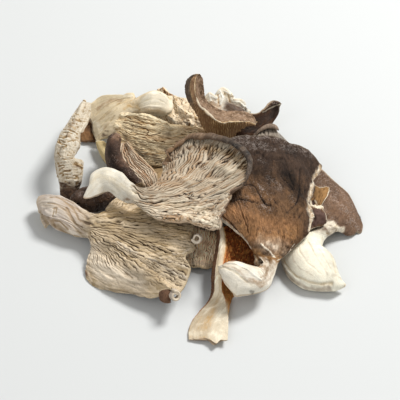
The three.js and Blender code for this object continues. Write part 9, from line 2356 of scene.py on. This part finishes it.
        top_d, bot_d, top_r, bot_r, top_s, bot_s = skin_d, skin_d, skin_r, skin_r, 1, 1
    elif front_gill:
        top_d, bot_d, top_r, bot_r, top_s, bot_s = gill_d, skin_d, gill_r, skin_r, 0, 1
    else:
        top_d, bot_d, top_r, bot_r, top_s, bot_s = skin_d, gill_d, skin_r, gill_r, 1, 0
    # relief dies out at the very outline so that both faces meet cleanly
    rr_, cc_ = M.shape[0], M.shape[1]
    iu = np.minimum(np.arange(rr_), np.arange(rr_)[::-1])[:, None] / 2.0
    iv = np.minimum(np.arange(cc_), np.arange(cc_)[::-1])[None] / 2.0
    die = np.clip(np.minimum(iu, iv) + 0.45, 0, 1)
    stem_both = st
    # cracks are painted darker as shade in the crack, and raised h folds lighter as painted highlight, besides their
    # relief
    top_d = top_d + hh - 0.7 * crack
    top_r = np.clip(top_r + 0.75 * hh - 1.2 * crack, 0, 1.1)
    top = M + n * (T / 2 + top_d * die)[..., None]
    bot = M - n * (T / 2 + bot_d * die)[..., None]
    edge_near = (1 - np.clip(np.minimum(iu, iv) / 1.2, 0, 1)) * (1 - 0.85 * (rolled > 0)) * c.get("edge_amt", 1.0)
    B = B or Builder()
    Ur, Vr = M.shape[:2]
    uvt = np.stack([0.02 + 0.45 * (np.arange(Vr) / (Vr - 1))[None] + np.zeros((Ur, 1)), 0.03 + 0.94 * (np.arange(Ur) / (Ur - 1))[:, None] + np.zeros((1, Vr))], -1)
    ku, kv = kt
    assert (Ur - 1) % ku == 0 and (Vr - 1) % kv == 0, (name, Ur, Vr, kt)
    su, sv = slice(None, None, ku), slice(None, None, kv)
    paint = {k: np.clip(np.maximum(sk_.get(k, zero), c.get("all_" + k, 0.0)), 0, 1) for k in ("warm", "bloom", "ochre")}
    at = dict(ridge=top_r, skin=top_s + 0 * U, stem=stem_both, edge=edge_near, dark=np.maximum(dark, sk_.get("dark", zero)),
              spot=np.maximum(spot, sk_.get("spot", zero)), tone=tone, leaf=leafy, along=lx_, across=ly_, shade=sk_.get("shade", zero) + c.get("shade", 0.0), **paint)
    bt = B.add(top[su, sv], uvt[su, sv], **{k: x[su, sv] for k, x in at.items()})
    TU, TV = (Ur - 1) // ku + 1, (Vr - 1) // kv + 1
    ku2, kv2 = kb
    assert (Ur - 1) % ku2 == 0 and (Vr - 1) % kv2 == 0, (name, Ur, Vr, kb)
    su2, sv2 = slice(None, None, ku2), slice(None, None, kv2)
    back_dark = np.maximum(dark, c.get("back_dark", 0.0))
    if c.get("roll_dark"):
        rd = np.interp(vs * (len(c["roll_dark"]) - 1), np.arange(len(c["roll_dark"])), c["roll_dark"])[None]
        back_dark = np.maximum(dark, rd * (rolled > 0) * (0.75 + 0.5 * fbm(sx / 4, sy / 5, seed + 97, 3)))
    back_warm = np.zeros_like(U)
    if c.get("roll_warm"):
        rd = np.interp(vs * (len(c["roll_warm"]) - 1), np.arange(len(c["roll_warm"])), c["roll_warm"])[None]
        back_warm = rd * (rolled > 0) * (0.75 + 0.5 * fbm(sx / 4, sy / 5, seed + 98, 3))
    # dust on the rolled margin, with painted sheen
    back_dust_sheen = c.get("roll_dust_sheen", 0.0) * (rolled > 0) * smooth(-0.2, 0.5, fbm(sx / 3, sy / 3, seed + 96, 3))
    at2 = dict(ridge=bot_r, skin=bot_s + 0 * U, stem=stem_both, edge=edge_near, dark=np.clip(back_dark, 0, 1), spot=spot, tone=0.5 + 0.5 * (tone - 0.5), leaf=leafy, warm=np.clip(back_warm, 0, 1), bloom=np.clip(back_dust_sheen, 0, 1), along=sx + 37.0, across=sy + 11.0, shade=c.get("back_shade", 0.0) * (rolled > 0))
    # the underside under the ochre patches is darkened too: painted shade inside the hollow under the cap
    if c.get("paint_back"):
        at2["ochre"] = paint["ochre"]
        at2["dark"] = np.maximum(at2["dark"], 0.6 * np.clip(paint["ochre"] * 1.4, 0, 1) * smooth(-0.3, 0.3, lump))
    uvb = uvt + np.array([0.5, 0])
    bb = B.add(bot[su2, sv2], uvb[su2, sv2], **{k: x[su2, sv2] for k, x in at2.items()})
    BU, BV = (Ur - 1) // ku2 + 1, (Vr - 1) // kv2 + 1
    B.grid(bt, TU, TV)
    B.grid(bb, BU, BV, flip=True)
    # band round the outline, at full resolution
    lp = loop_of(Ur, Vr)
    I = np.array([i for i, j in lp])
    J = np.array([j for i, j in lp])
    o = np.zeros((len(lp), 3))
    o -= du[I, J] * (I == 0)[:, None]
    o += du[I, J] * (I == Ur - 1)[:, None]
    o -= dv[I, J] * (J == 0)[:, None]
    o += dv[I, J] * (J == Vr - 1)[:, None]
    o = unit(o)
    tp, bp = top[I, J], bot[I, J]
    mid, half = (tp + bp) / 2, (tp - bp) / 2
    hl = np.linalg.norm(half, axis=-1, keepdims=True)
    bulge = np.where(hl < 1.3, hl * 0.8, 0.35 + 0.1 * hl)
    nb = c.get("band", 2)
    rings = []
    kk = np.arange(len(lp)) / len(lp)
    for k in range(1, nb + 1):
        a = math.pi * k / (nb + 1)
        jit = 0.18 * perlin(sx[I, J] / 0.9 + 9 * k, sy[I, J] / 0.9, seed + 99)[:, None] * np.minimum(hl, 1.0)
        P = mid + half * math.cos(a) + o * (bulge * math.sin(a) + jit)
        uvr = np.stack([np.full(len(lp), 0.975 + 0.02 * k / (nb + 1)), 0.02 + 0.96 * kk], -1)
        rings.append(B.add(P, uvr, ridge=0.75 + 0 * sx[I, J], skin=np.where(rolled[I, J] > 0, 1.0, 0.5), stem=stem_both[I, J], edge=(1 - 0.85 * (rolled[I, J] > 0)) * c.get("edge_amt", 1.0), dark=at["dark"][I, J] * 0.7, spot=at["spot"][I, J] * 0.8, tone=tone[I, J], leaf=leafy[I, J], warm=at["warm"][I, J] * 0.6, ochre=at["ochre"][I, J] * 0.7, along=sx[I, J], across=sy[I, J], shade=at["shade"][I, J]))
    m = len(lp)
    ar = np.arange(m)
    nx = (ar + 1) % m
    for r0, r1 in zip(rings[:-1], rings[1:]):
        B.quads(np.stack([r0 + nx, r0 + ar, r1 + ar, r1 + nx], -1))

    def side(ring, base, W, ku_, kv_, flip):
        onI, onJ = I // ku_, J // kv_
        keep = ((I % ku_ == 0) & (J % kv_ == 0))
        keys = np.nonzero(keep)[0]
        for a_, b_ in zip(keys, np.roll(keys, -1)):
            n_ = (b_ - a_) % m
            va = base + onI[a_] * W + onJ[a_]
            vb = base + onI[b_] * W + onJ[b_]
            h = n_ // 2
            tri = []
            for s_ in range(n_):
                p0, p1 = ring + (a_ + s_) % m, ring + (a_ + s_ + 1) % m
                if s_ == h:
                    tri.append((va, p0, vb))
                    tri.append((vb, p0, p1))
                elif s_ < h:
                    tri.append((va, p0, p1))
                else:
                    tri.append((vb, p0, p1))
            tri = np.array(tri)
            B.tris(tri[:, ::-1] if flip else tri)

    side(rings[0], bt, TV, ku, kv, False)
    side(rings[-1], bb, BV, ku2, kv2, True)
    return B


def ringloft(name, c):
    """Body between a front and a back surface that share their side edges."""
    F, Kb = np.array(c["front_rows"], float), np.array(c["back_rows"], float)
    U, V1, V2 = c["res"]
    seed = c["seed"]
    us = np.linspace(0, 1, U)
    A = tensor(F, us, np.linspace(0, 1, V1))
    Bk = tensor(Kb, us, np.linspace(0, 1, V2))
    ring = np.concatenate([A, Bk[:, ::-1][:, 1:-1]], 1)
    R = ring.shape[1]
    # the position round the ring: 0..1 on the front, 1..2 on the back
    w = np.concatenate([np.linspace(0, 1, V1), 1 + np.linspace(0, 1, V2)[1:-1]])[None] + np.zeros((U, 1))
    uu = us[:, None] + np.zeros((1, R))
    du = np.gradient(ring, axis=0)
    dv = np.roll(ring, -1, 1) - np.roll(ring, 1, 1)
    n = unit(np.cross(du, dv))
    n = n * c["sign"]
    sx = lengths(ring)
    seg = np.linalg.norm(np.roll(ring, -1, 1) - ring, axis=-1)
    sy = np.concatenate([np.zeros((U, 1)), np.cumsum(seg, 1)[:, :-1]], 1)
    if c.get("foot"):
        ext = np.interp(ring[..., 0], [p[0] for p in c["foot"]], [p[1] for p in c["foot"]])
        ring = ring - unit(du) * (ext * (1 - smooth(0.0, 0.075, uu)))[..., None]
    attrs, d = c["paint"](uu, w, sx, sy, seed, us, V1)
    # move the ring along its normals by the relief from the paint function
    P = ring + n * d[..., None]
    B = Builder()
    uv = np.stack([0.02 + 0.9 * np.arange(R)[None] / (R - 1) + np.zeros((U, 1)), 0.03 + 0.94 * us[:, None] + np.zeros((1, R))], -1)
    b = B.add(P, uv, along=sx, across=sy, **attrs)
    i, k = np.meshgrid(np.arange(U - 1), np.arange(R), indexing="ij")
    a = b + i * R + k
    a2 = b + i * R + (k + 1) % R
    B.quads(np.stack([a, a + R, a2 + R, a2], -1).reshape(-1, 4))
    for i, flip in ((0, False), (U - 1, True)):
        # caps: concentric rings so that the cut end can carry relief
        cen = P[i].mean(0)
        prev = b + i * R + np.arange(R)
        steps = 6
        for s in range(1, steps):
            f = 1 - s / steps
            Q = cen + (P[i] - cen) * f
            nb_ = B.add(Q, np.stack([0.95 + 0.04 * np.cos(np.arange(R) / R * 2 * math.pi) * f, (0.25 if i == 0 else 0.75) + 0.2 * np.sin(np.arange(R) / R * 2 * math.pi) * f], -1),
                        ridge=0.7 + 0.3 * perlin(Q[:, 0] / 1.5, Q[:, 1] / 1.5, seed), skin=0.0, stem=np.ones(R) * attrs["stem"][i].mean(), edge=0.6, dark=0.0, spot=0.0, tone=0.5)
            cur = nb_ + np.arange(R)
            q = np.stack([prev, np.roll(prev, -1), np.roll(cur, -1), cur], -1)
            B.quads(q if not flip else q[:, ::-1])
            prev = cur
        ce = B.add(cen[None], [[0.95, 0.25 if i == 0 else 0.75]], ridge=0.7, skin=0.0, stem=float(attrs["stem"][i].mean()), edge=0.6, dark=0.0, spot=0.0, tone=0.5)
        t = np.stack([np.full(R, ce), prev, np.roll(prev, -1)], -1)
        B.tris(t if not flip else t[:, ::-1])
    return B


# ------------------------------------------------------------------ materials
def lin(h):
    h = h.lstrip("#")
    out = []
    for k in (0, 2, 4):
        s = int(h[k:k + 2], 16) / 255
        out.append(s / 12.92 if s <= 0.04045 else ((s + 0.055) / 1.055) ** 2.4)
    return (*out, 1.0)


def material(name, col, rough=0.82, bloom=0.0, speck=0.0, bump=0.35, gloss=0.25, fibres=1.0):
    """Mushroom flesh: gill, skin and stem colours mixed by the relief written on the mesh, with the low parts painted
    darker as shade, and the painted shade, highlights and sheen that the attributes carry.
    """
    m = bpy.data.materials.new(name)
    m.use_nodes = True
    nt = m.node_tree
    N, Lk = nt.nodes, nt.links
    N.clear()
    out = N.new("ShaderNodeOutputMaterial")
    bs = N.new("ShaderNodeBsdfPrincipled")
    Lk.new(bs.outputs[0], out.inputs["Surface"])
    bs.inputs["Roughness"].default_value = rough
    bs.inputs["Specular IOR Level"].default_value = gloss
    tc = N.new("ShaderNodeTexCoord")

    def attr(k):
        a = N.new("ShaderNodeAttribute")
        a.attribute_type = "GEOMETRY"
        a.attribute_name = k
        return a.outputs["Fac"]

    def noise(scale, detail=5.0, rough_=0.55, stretch=None):
        t = N.new("ShaderNodeTexNoise")
        t.inputs["Scale"].default_value = scale
        t.inputs["Detail"].default_value = detail
        t.inputs["Roughness"].default_value = rough_
        Lk.new(tc.outputs["Object"], t.inputs["Vector"])
        return t.outputs["Fac"]

    def math_(op, a, b=None, clamp=False):
        x = N.new("ShaderNodeMath")
        x.operation = op
        x.use_clamp = clamp
        for k, y in enumerate((a, b)):
            if y is None:
                continue
            if isinstance(y, (int, float)):
                x.inputs[k].default_value = y
            else:
                Lk.new(y, x.inputs[k])
        return x.outputs[0]

    def ramp(x, a, b, lo=0.0, hi=1.0, soft=True):
        r = N.new("ShaderNodeMapRange")
        r.interpolation_type = "SMOOTHSTEP" if soft else "LINEAR"
        Lk.new(x, r.inputs["Value"])
        for k, y in (("From Min", a), ("From Max", b), ("To Min", lo), ("To Max", hi)):
            r.inputs[k].default_value = y
        return r.outputs["Result"]

    def mix(f, a, b, mode="MIX"):
        x = N.new("ShaderNodeMix")
        x.data_type = "RGBA"
        x.blend_type = mode
        if isinstance(f, (int, float)):
            x.inputs[0].default_value = f
        else:
            Lk.new(f, x.inputs[0])
        for k, y in ((6, a), (7, b)):
            if isinstance(y, tuple):
                x.inputs[k].default_value = y
            else:
                Lk.new(y, x.inputs[k])
        return x.outputs[2]

    C = {k: lin(v) for k, v in col.items()}
    ridge, skin, stem, edge, dark, spot, tone, warm, dust_sheen, leaf, ochre, along, across, shade = (attr(k) for k in ATTRS)

    def strand(lx, ly, detail=3.0, twist=0.0):
        """Noise laid along the piece: cells lx mm long and ly mm wide."""
        cb = N.new("ShaderNodeCombineXYZ")
        Lk.new(math_("MULTIPLY", along, 1.0 / lx), cb.inputs[0])
        Lk.new(math_("MULTIPLY", across, 1.0 / ly), cb.inputs[1])
        t = N.new("ShaderNodeTexNoise")
        t.inputs["Scale"].default_value = 1.0
        t.inputs["Detail"].default_value = detail
        t.inputs["Roughness"].default_value = 0.55
        t.inputs["Distortion"].default_value = twist
        Lk.new(cb.outputs[0], t.inputs["Vector"])
        return t.outputs["Fac"]

    nf = noise(1500, 4)
    hide = math_("MULTIPLY", skin, math_("SUBTRACT", 1.0, math_("MULTIPLY", stem, 0.85)))
    fibre = strand(7.0, 0.42, 3.0, 0.25)
    fold = strand(5.5, 2.3, 3.0, 0.9)
    fold2 = strand(2.6, 1.5, 2.0, 0.7)
    crinkle = strand(2.4, 0.95, 2.0, 0.8)
    line1 = ramp(math_("ABSOLUTE", math_("SUBTRACT", fold, 0.5)), 0.0, 0.020, 1.0, 0.0)
    line2 = ramp(math_("ABSOLUTE", math_("SUBTRACT", fold2, 0.5)), 0.0, 0.030, 1.0, 0.0)
    nm = noise(420, 6, 0.6)
    nb = noise(95, 5, 0.6)
    seam = math_("MULTIPLY", math_("ADD", line1, math_("MULTIPLY", line2, 0.45), True), ramp(nb, 0.38, 0.56))
    fv = math_("SUBTRACT", fibre, 0.5)
    r2 = math_("ADD", math_("ADD", ridge, math_("MULTIPLY", math_("SUBTRACT", nm, 0.5), 0.12)), math_("MULTIPLY", fv, 0.30))
    # gill colour: the low parts of the relief take the dark gill colour as painted shade in the gaps between gills, and
    # the crests take the light colour
    crest = mix(ramp(leaf, 0.15, 0.75), C["gill_t"], C["gill_l"])
    g = mix(ramp(r2, 0.10, 0.80), C["gill_d"], crest)
    g = mix(math_("MULTIPLY", ramp(nb, 0.46, 0.70), 0.38), g, mix(ramp(r2, 0.2, 0.9), C["gill_d"], C["gill_t"]))
    sr = math_("ADD", ridge, math_("MULTIPLY", math_("SUBTRACT", nm, 0.5), 0.5))
    s = mix(ramp(sr, 0.10, 0.95), C["skin_d"], C["skin_l"])
    s = mix(math_("MULTIPLY", ramp(nb, 0.45, 0.66), 0.45), s, mix(0.45, C["skin_d"], C["skin_l"]))
    s = mix(ramp(fv, 0.02, 0.16, 0.0, 0.30), s, C["skin_l"])
    # fold lines and the low ground of the creases darkened: painted shade in the creases
    s = mix(math_("MULTIPLY", seam, 0.62), s, tuple(0.45 * v for v in C["skin_d"][:3]) + (1.0,))
    s = mix(ramp(ridge, 0.34, 0.04, 0.0, 0.8), s, tuple(0.38 * v for v in C["skin_d"][:3]) + (1.0,))
    # white flecks on the skin: dust, and painted sheen on the upper edges
    if bloom > 0:
        bl = math_("MULTIPLY", math_("MULTIPLY", ramp(nf, 0.54, 0.62), ramp(nb, 0.44, 0.62, 0.15, 1.0)), bloom)
        s = mix(bl, s, C["bloom"])
    sl = math_("ADD", math_("ADD", math_("MULTIPLY", nm, 0.30), ridge), math_("MULTIPLY", fv, 0.55 * fibres))
    st = mix(ramp(sl, 0.40, 1.06), C["stem_d"], C["stem_l"])
    c1 = mix(skin, g, s)
    if "neck" in C:
        c1 = mix(ramp(stem, 0.0, 0.45, 0.0, 0.9), c1, mix(ramp(sr, 0.1, 0.95), tuple(0.55 * v for v in C["neck"][:3]) + (1.0,), C["neck"]))
        c2 = mix(ramp(stem, 0.5, 1.0), c1, st)
    else:
        c2 = mix(stem, c1, st)
    c2 = mix(warm, c2, mix(ramp(r2, 0.15, 0.85), C["warm2"], C["warm"]))
    c2 = mix(math_("MULTIPLY", ochre, ramp(nm, 0.30, 0.62, 0.35, 1.0)), c2, mix(ramp(r2, 0.2, 0.9), C["ochre2"], C["ochre"]))
    c3 = mix(math_("MULTIPLY", ramp(edge, 0.2, 1.0), 0.75), c2, C["edge"])
    # dark patches: the flesh's own dark colour, and painted shadow where strokes put it
    c4 = mix(dark, c3, mix(ramp(nm, 0.35, 0.65), C["dark"], C["dark2"]))
    # dust and painted sheen where the strokes or the rolled margin put them
    c4 = mix(math_("MULTIPLY", math_("MULTIPLY", dust_sheen, math_("MULTIPLY", hide, 0.48)), ramp(math_("ADD", math_("MULTIPLY", nm, 0.45), math_("MULTIPLY", nf, 0.62)), 0.515, 0.60)), c4, C["bloom"])
    # pale patches: the flesh's own paler colour, and painted highlights where strokes put them
    c5 = mix(spot, c4, mix(ramp(r2, 0.2, 0.8), C["spot2"], C["spot"]))
    tn = ramp(tone, 0.25, 0.75, 0.86, 1.1, False)
    hs = N.new("ShaderNodeHueSaturation")
    Lk.new(c5, hs.inputs["Color"])
    val = math_("MULTIPLY", tn, ramp(nf, 0.3, 0.7, 0.92, 1.07, False))
    # the fine wrinkles of the bump also lighten and darken the skin colour: painted shading of those wrinkles
    cr_ = math_("MULTIPLY", math_("SUBTRACT", crinkle, 0.5), math_("MULTIPLY", hide, 1.1))
    val = math_("MULTIPLY", val, math_("ADD", cr_, 1.0))
    val = math_("MULTIPLY", val, math_("MAXIMUM", math_("ADD", shade, 1.0), 0.25))
    Lk.new(val, hs.inputs["Value"])
    fin = hs.outputs[0]
    if speck > 0:
        vo = N.new("ShaderNodeTexVoronoi")
        vo.inputs["Scale"].default_value = 520
        Lk.new(tc.outputs["Object"], vo.inputs["Vector"])
        sp = math_("MULTIPLY", math_("MULTIPLY", ramp(vo.outputs["Distance"], 0.28, 0.12), ramp(nm, 0.5, 0.62)), speck)
        fin = mix(sp, fin, C["dark"])
    Lk.new(fin, bs.inputs["Base Color"])
    bp = N.new("ShaderNodeBump")
    bp.inputs["Strength"].default_value = bump
    bp.inputs["Distance"].default_value = 0.0005
    hgt = math_("ADD", math_("MULTIPLY", nm, 0.7), math_("MULTIPLY", nf, 0.5))
    hgt = math_("ADD", hgt, math_("MULTIPLY", math_("MULTIPLY", fibre, math_("SUBTRACT", 1.0, math_("MULTIPLY", stem, 1.0 - fibres))), 0.9))
    hgt = math_("ADD", hgt, math_("MULTIPLY", math_("MULTIPLY", crinkle, hide), 1.6))
    hgt = math_("SUBTRACT", hgt, math_("MULTIPLY", math_("MULTIPLY", seam, hide), 0.8))
    Lk.new(hgt, bp.inputs["Height"])
    Lk.new(bp.outputs[0], bs.inputs["Normal"])
    return m


# ------------------------------------------------------------------ pieces with two shaped faces
def paint_cup(u, w, sx, sy, seed, us, V1):
    """front 0..0.5 is the brown top of the cup, 0.5 the pale torn rim, 0.5..1 the gills below it."""
    lump = fbm(sx / 5, sy / 5, seed + 4, 4)
    fine = fbm(sx / 1.8, sy / 1.8, seed + 6, 3)
    w2 = w + 0.018 * fbm(sx / 4, sy / 4, seed, 3)
    top = (1 - smooth(0.44, 0.5, w2)) * (w < 1.001)
    back = smooth(1.02, 1.1, w)
    ear = smooth(0.56, 0.68, u)
    gill = smooth(0.5, 0.56, w2) * (1 - back)
    x = u * 58
    R = ridge_of(x + 0.5 * fbm(sx / 6, sy / 9, seed + 1, 3) + 0.25 * perlin(sx / 2.5, sy / 4, seed + 2), 0.8) * (0.7 + 0.5 * perlin(sx / 1.5, sy / 7, seed + 3))
    rag = fbm(sx / 2.2, sy / 2.2, seed + 7, 3)
    band = smooth(0.36, 0.44, u) * (1 - smooth(0.60, 0.68, u))
    wide = (0.010 + 0.040 * band) * (1 + 1.2 * rag)
    rimline = np.exp(-((w2 - 0.5 + 0.02 * band) / np.maximum(wide, 0.006)) ** 4) * (w < 1.2)
    ga = gill * (1 - 0.8 * ear)
    Rb = 0.42 + 0.5 * ridge_of(u * 46 + 0.9 * fbm(sx / 6, sy / 9, seed + 11, 3), 0.8)
    groove = 1 - smooth(0.0, 0.12, np.abs(fbm(sx / 5, sy / 2.4, seed + 12, 3)))
    d = ga * 0.85 * (R - 0.5) + 0.4 * lump + back * 0.6 * (Rb - 0.5) + 0.22 * fine + rimline * 0.45 - 0.3 * groove * (top + ear * gill)
    ridge = np.clip(ga * R + (1 - ga) * (0.55 + 0.45 * lump + 0.40 * fine - 0.18 * groove), 0, 1)
    ridge = np.where(back > 0.5, np.clip(Rb, 0, 1), ridge)
    khaki = ear * smooth(0.5, 0.54, w2) * (1 - smooth(0.66, 0.76, w2 + 0.06 * lump)) * (1 - back) * 0.95
    outer = ear * smooth(0.68, 0.78, w2 + 0.06 * lump) * (1 - back) * 0.9
    # painted shade on the gills under the cup, and painted light on the gill ends to the left and right of it (the pale
    # mask)
    shade_under_cup = smooth(0.12, 0.2, u) * (1 - smooth(0.40, 0.5, u)) * smooth(0.60, 0.80, w2) * (1 - back)
    dark = np.clip(outer + top * 0.45 * smooth(0.1, 0.5, lump + 0.3 * fine) + shade_under_cup * 0.12, 0, 1)
    pale = gill * (1 - ear) * (1 - shade_under_cup) * (smooth(0.38, 0.46, u) + 1 - smooth(0.14, 0.2, u)) * 0.55
    return dict(ridge=ridge, skin=np.clip(top, 0, 1), stem=0 * u, edge=np.clip(rimline * 1.3, 0, 1), dark=dark,
                spot=np.clip(khaki + pale + 0.25 * gill * (1 - ear) * shade_under_cup, 0, 1), tone=0.5 + 0.5 * lump, leaf=0.55 + 0.4 * lump,
                bloom=np.clip(top * smooth(0.05, 0.4, fine) * 0.8 + outer * 0.35 * smooth(0, 0.4, lump), 0, 1)), d


def paint_split(u, w, sx, sy, seed, us, V1):
    """front 0..0.4 is the pale cut face, 0.4..1 the gill side in the hollow; the back is the dark skin."""
    w2 = w + 0.010 * fbm(sx / 3, sy / 3, seed, 3)
    strip = (1 - smooth(0.385, 0.42, w2)) * (w < 1.001)
    back = smooth(1.0, 1.06, w)
    gill = smooth(0.4, 0.45, w2) * (1 - smooth(1.0, 1.05, w))
    q = (w2 - 0.4) / 0.6
    R = ridge_of(q * 17 + 1.4 * fbm(sx / 4, sy / 3, seed + 1, 3), 0.8) * (0.6 + 0.6 * smooth(-0.3, 0.3, fbm(sx / 3, sy / 2, seed + 9, 3)))
    lump = fbm(sx / 6, sy / 5, seed + 4, 4)
    fine = fbm(sx / 2.2, sy / 2.0, seed + 7, 3)
    fib = fbm(sx / 14, sy / 1.0, seed + 6, 4)
    up = smooth(0.30, 0.48, u)
    grain = fbm(sx / 9, sy / 0.8, seed + 8, 4)
    low_ = 1 - smooth(0.20, 0.40, u)
    d = gill * 0.8 * (R - 0.5) * up + 0.3 * lump + strip * 0.3 * fib + 0.16 * fine + (1 - up) * 0.12 * grain
    ridge = np.clip(gill * R * up + (1 - gill * up) * (0.70 + (0.14 + 0.4 * up) * fib + 0.3 * lump * (1 - 0.6 * low_) + 0.2 * fine * (1 - 0.6 * low_)), 0, 1)
    rim = np.exp(-((w2 - 0.0) / 0.022) ** 2) + np.exp(-((w2 - 2.0) / 0.03) ** 2)
    low = 1 - smooth(0.20, 0.40, u + 0.05 * lump)
    stem = np.clip(strip + low * (1 - back * 0.3), 0, 1)
    hair = np.exp(-((w2 - 0.47) / 0.05) ** 2) * smooth(0.2, 0.27, u) * (1 - smooth(0.42, 0.47, u)) * (w < 1.001)
    mott = gill * smooth(0.62, 0.72, u) * (1 - smooth(0.90, 0.97, u)) * (1 - smooth(0.74, 0.9, w2)) * smooth(0.0, 0.3, fine + 0.4 * lump + 0.1)
    hollow = gill * up * smooth(0.42, 0.6, u) * (1 - mott)
    foot = (1 - smooth(0.02, 0.06, u)) * (w < 1.001)
    # painted shade: the gill side in the hollow darkens towards its far side, under the margin of the cap above; the
    # rim and hair lines are the skin's own dark colour
    dark = np.clip(rim * up * 0.35 + hair * 0.55 + hollow * (0.0 + 0.62 * smooth(0.35, 0.85, q + 0.25 * lump) * (1 - smooth(0.86, 0.98, u))), 0, 1)
    line = np.exp(-((w2 - 0.395) / 0.022) ** 2) * smooth(0.68, 0.76, u)
    ochre = np.clip(line * 0.9 + mott * 0.55 + 0.55 * strip * smooth(0.15, 0.45, fib - 0.2 * lump) * (1 - up) + 0.5 * foot * smooth(0, 0.3, fine) + 0.09 * low * smooth(-0.5, 0.3, lump) + 0.5 * (w < 1.001) * np.exp(-((w2 - 0.16 - 0.1 * u) / 0.05) ** 2) * smooth(0.05, 0.14, u) * (1 - smooth(0.30, 0.42, u)), 0, 1)
    spot = np.clip(0.55 * low * smooth(0.2, 0.27, w2) * (w < 0.6) + 0.5 * strip * smooth(0.0, 0.4, lump + 0.3 * fib) + 0.5 * strip * np.exp(-((u - 0.5) / 0.12) ** 2), 0, 1)
    web = gill * smooth(0.16, 0.24, u) * (1 - smooth(0.46, 0.54, u))
    dark = dark * (1 - 0.75 * web)
    ochre = np.maximum(ochre, 0.75 * web * (0.6 + 0.8 * np.clip(grain + 0.4, 0, 1)))
    warm = np.clip(mott * 0.8, 0, 1)
    return dict(ridge=ridge, skin=back * (1 - low), stem=stem, edge=0 * u, dark=dark, spot=spot, warm=warm, ochre=ochre, tone=0.5 + 0.5 * lump * (1 - 0.7 * low), leaf=0.5 + 0.4 * lump,
                shade=0.35 * strip * up - 0.03 * low * (1 - back)), d


PAINT = {"cupped_cap_top": paint_cup, "split_mushroom_edge": paint_split}

for name, c in PIECES.items():
    lk = LOOKS[name]
    spec = {**c, **lk}
    mat = material(name, lk["col"], lk.get("roughness", 0.85), lk.get("bloom", 0.0), lk.get("speck", 0.0), lk.get("bump", 0.35), lk.get("gloss", 0.25), lk.get("fibres", 1.0))
    if "front_rows" in c:
        spec["paint"] = PAINT[name]
        ringloft(name, spec).object(name, mat)
    else:
        B = Builder()
        more = lk.get("extra", []) and EXTRAS[name]
        if more:
            B.box = (0.0, 0.0, 1.0, 0.84)
        sheet(name, spec, B)
        for k, e in enumerate(more):
            B.box = (k / len(more), 0.86, (k + 0.96) / len(more), 1.0)
            sheet(name, {**e, **lk["extra"][k]}, B)
        B.object(name, mat)

# ------------------------------------------------------------------ floor, light, camera
floor_me = bpy.data.meshes.new("floor")
s = 4.0
floor_me.from_pydata([(-s, -s, 0), (s, -s, 0), (s, s, 0), (-s, s, 0)], [], [(0, 1, 2, 3)])
floor = bpy.data.objects.new("floor", floor_me)
bpy.context.scene.collection.objects.link(floor)
fm = bpy.data.materials.new("floor")
fm.use_nodes = True
fb = fm.node_tree.nodes["Principled BSDF"]
fb.inputs["Base Color"].default_value = (0.625, 0.645, 0.65, 1)
fb.inputs["Roughness"].default_value = 0.9
fb.inputs["Specular IOR Level"].default_value = 0.1
floor_me.materials.append(fm)


def area(name, loc, target, size, power, colour=(1, 1, 1)):
    d = bpy.data.lights.new(name, "AREA")
    d.shape = "DISK"
    d.size = size
    d.energy = power
    d.color = colour
    o = bpy.data.objects.new(name, d)
    o.location = loc
    o.rotation_euler = (Vector(target) - Vector(loc)).to_track_quat("-Z", "Y").to_euler()
    bpy.context.scene.collection.objects.link(o)
    return o


area("key", (0.75, 0.55, 1.25), (0, 0, 0.02), 0.5, 26.5, (1.0, 0.985, 0.96))
area("fill", (-0.9, -0.9, 1.1), (0, 0, 0.02), 1.4, 6.0, (1.0, 0.99, 0.98))
w = bpy.data.worlds.new("world")
w.use_nodes = True
w.node_tree.nodes["Background"].inputs["Color"].default_value = (1.0, 0.985, 0.965, 1)
w.node_tree.nodes["Background"].inputs["Strength"].default_value = 0.42
bpy.context.scene.world = w

cam_d = bpy.data.cameras.new("camera")
cam_d.sensor_width = 36.0
cam_d.lens = 36.0 * CAM_F / 400.0
cam_d.clip_end = 20
cam = bpy.data.objects.new("camera", cam_d)
elev = math.radians(CAM_ELEV)
tgt = Vector(CAM_TARGET) * SCALE
back = Vector((0, -math.cos(elev), math.sin(elev)))
cam.location = tgt + back * CAM_DIST * SCALE
cam.rotation_euler = (-back).to_track_quat("-Z", "Y").to_euler()
bpy.context.scene.collection.objects.link(cam)
bpy.context.scene.camera = cam
bpy.context.scene.view_settings.view_transform = "Standard"
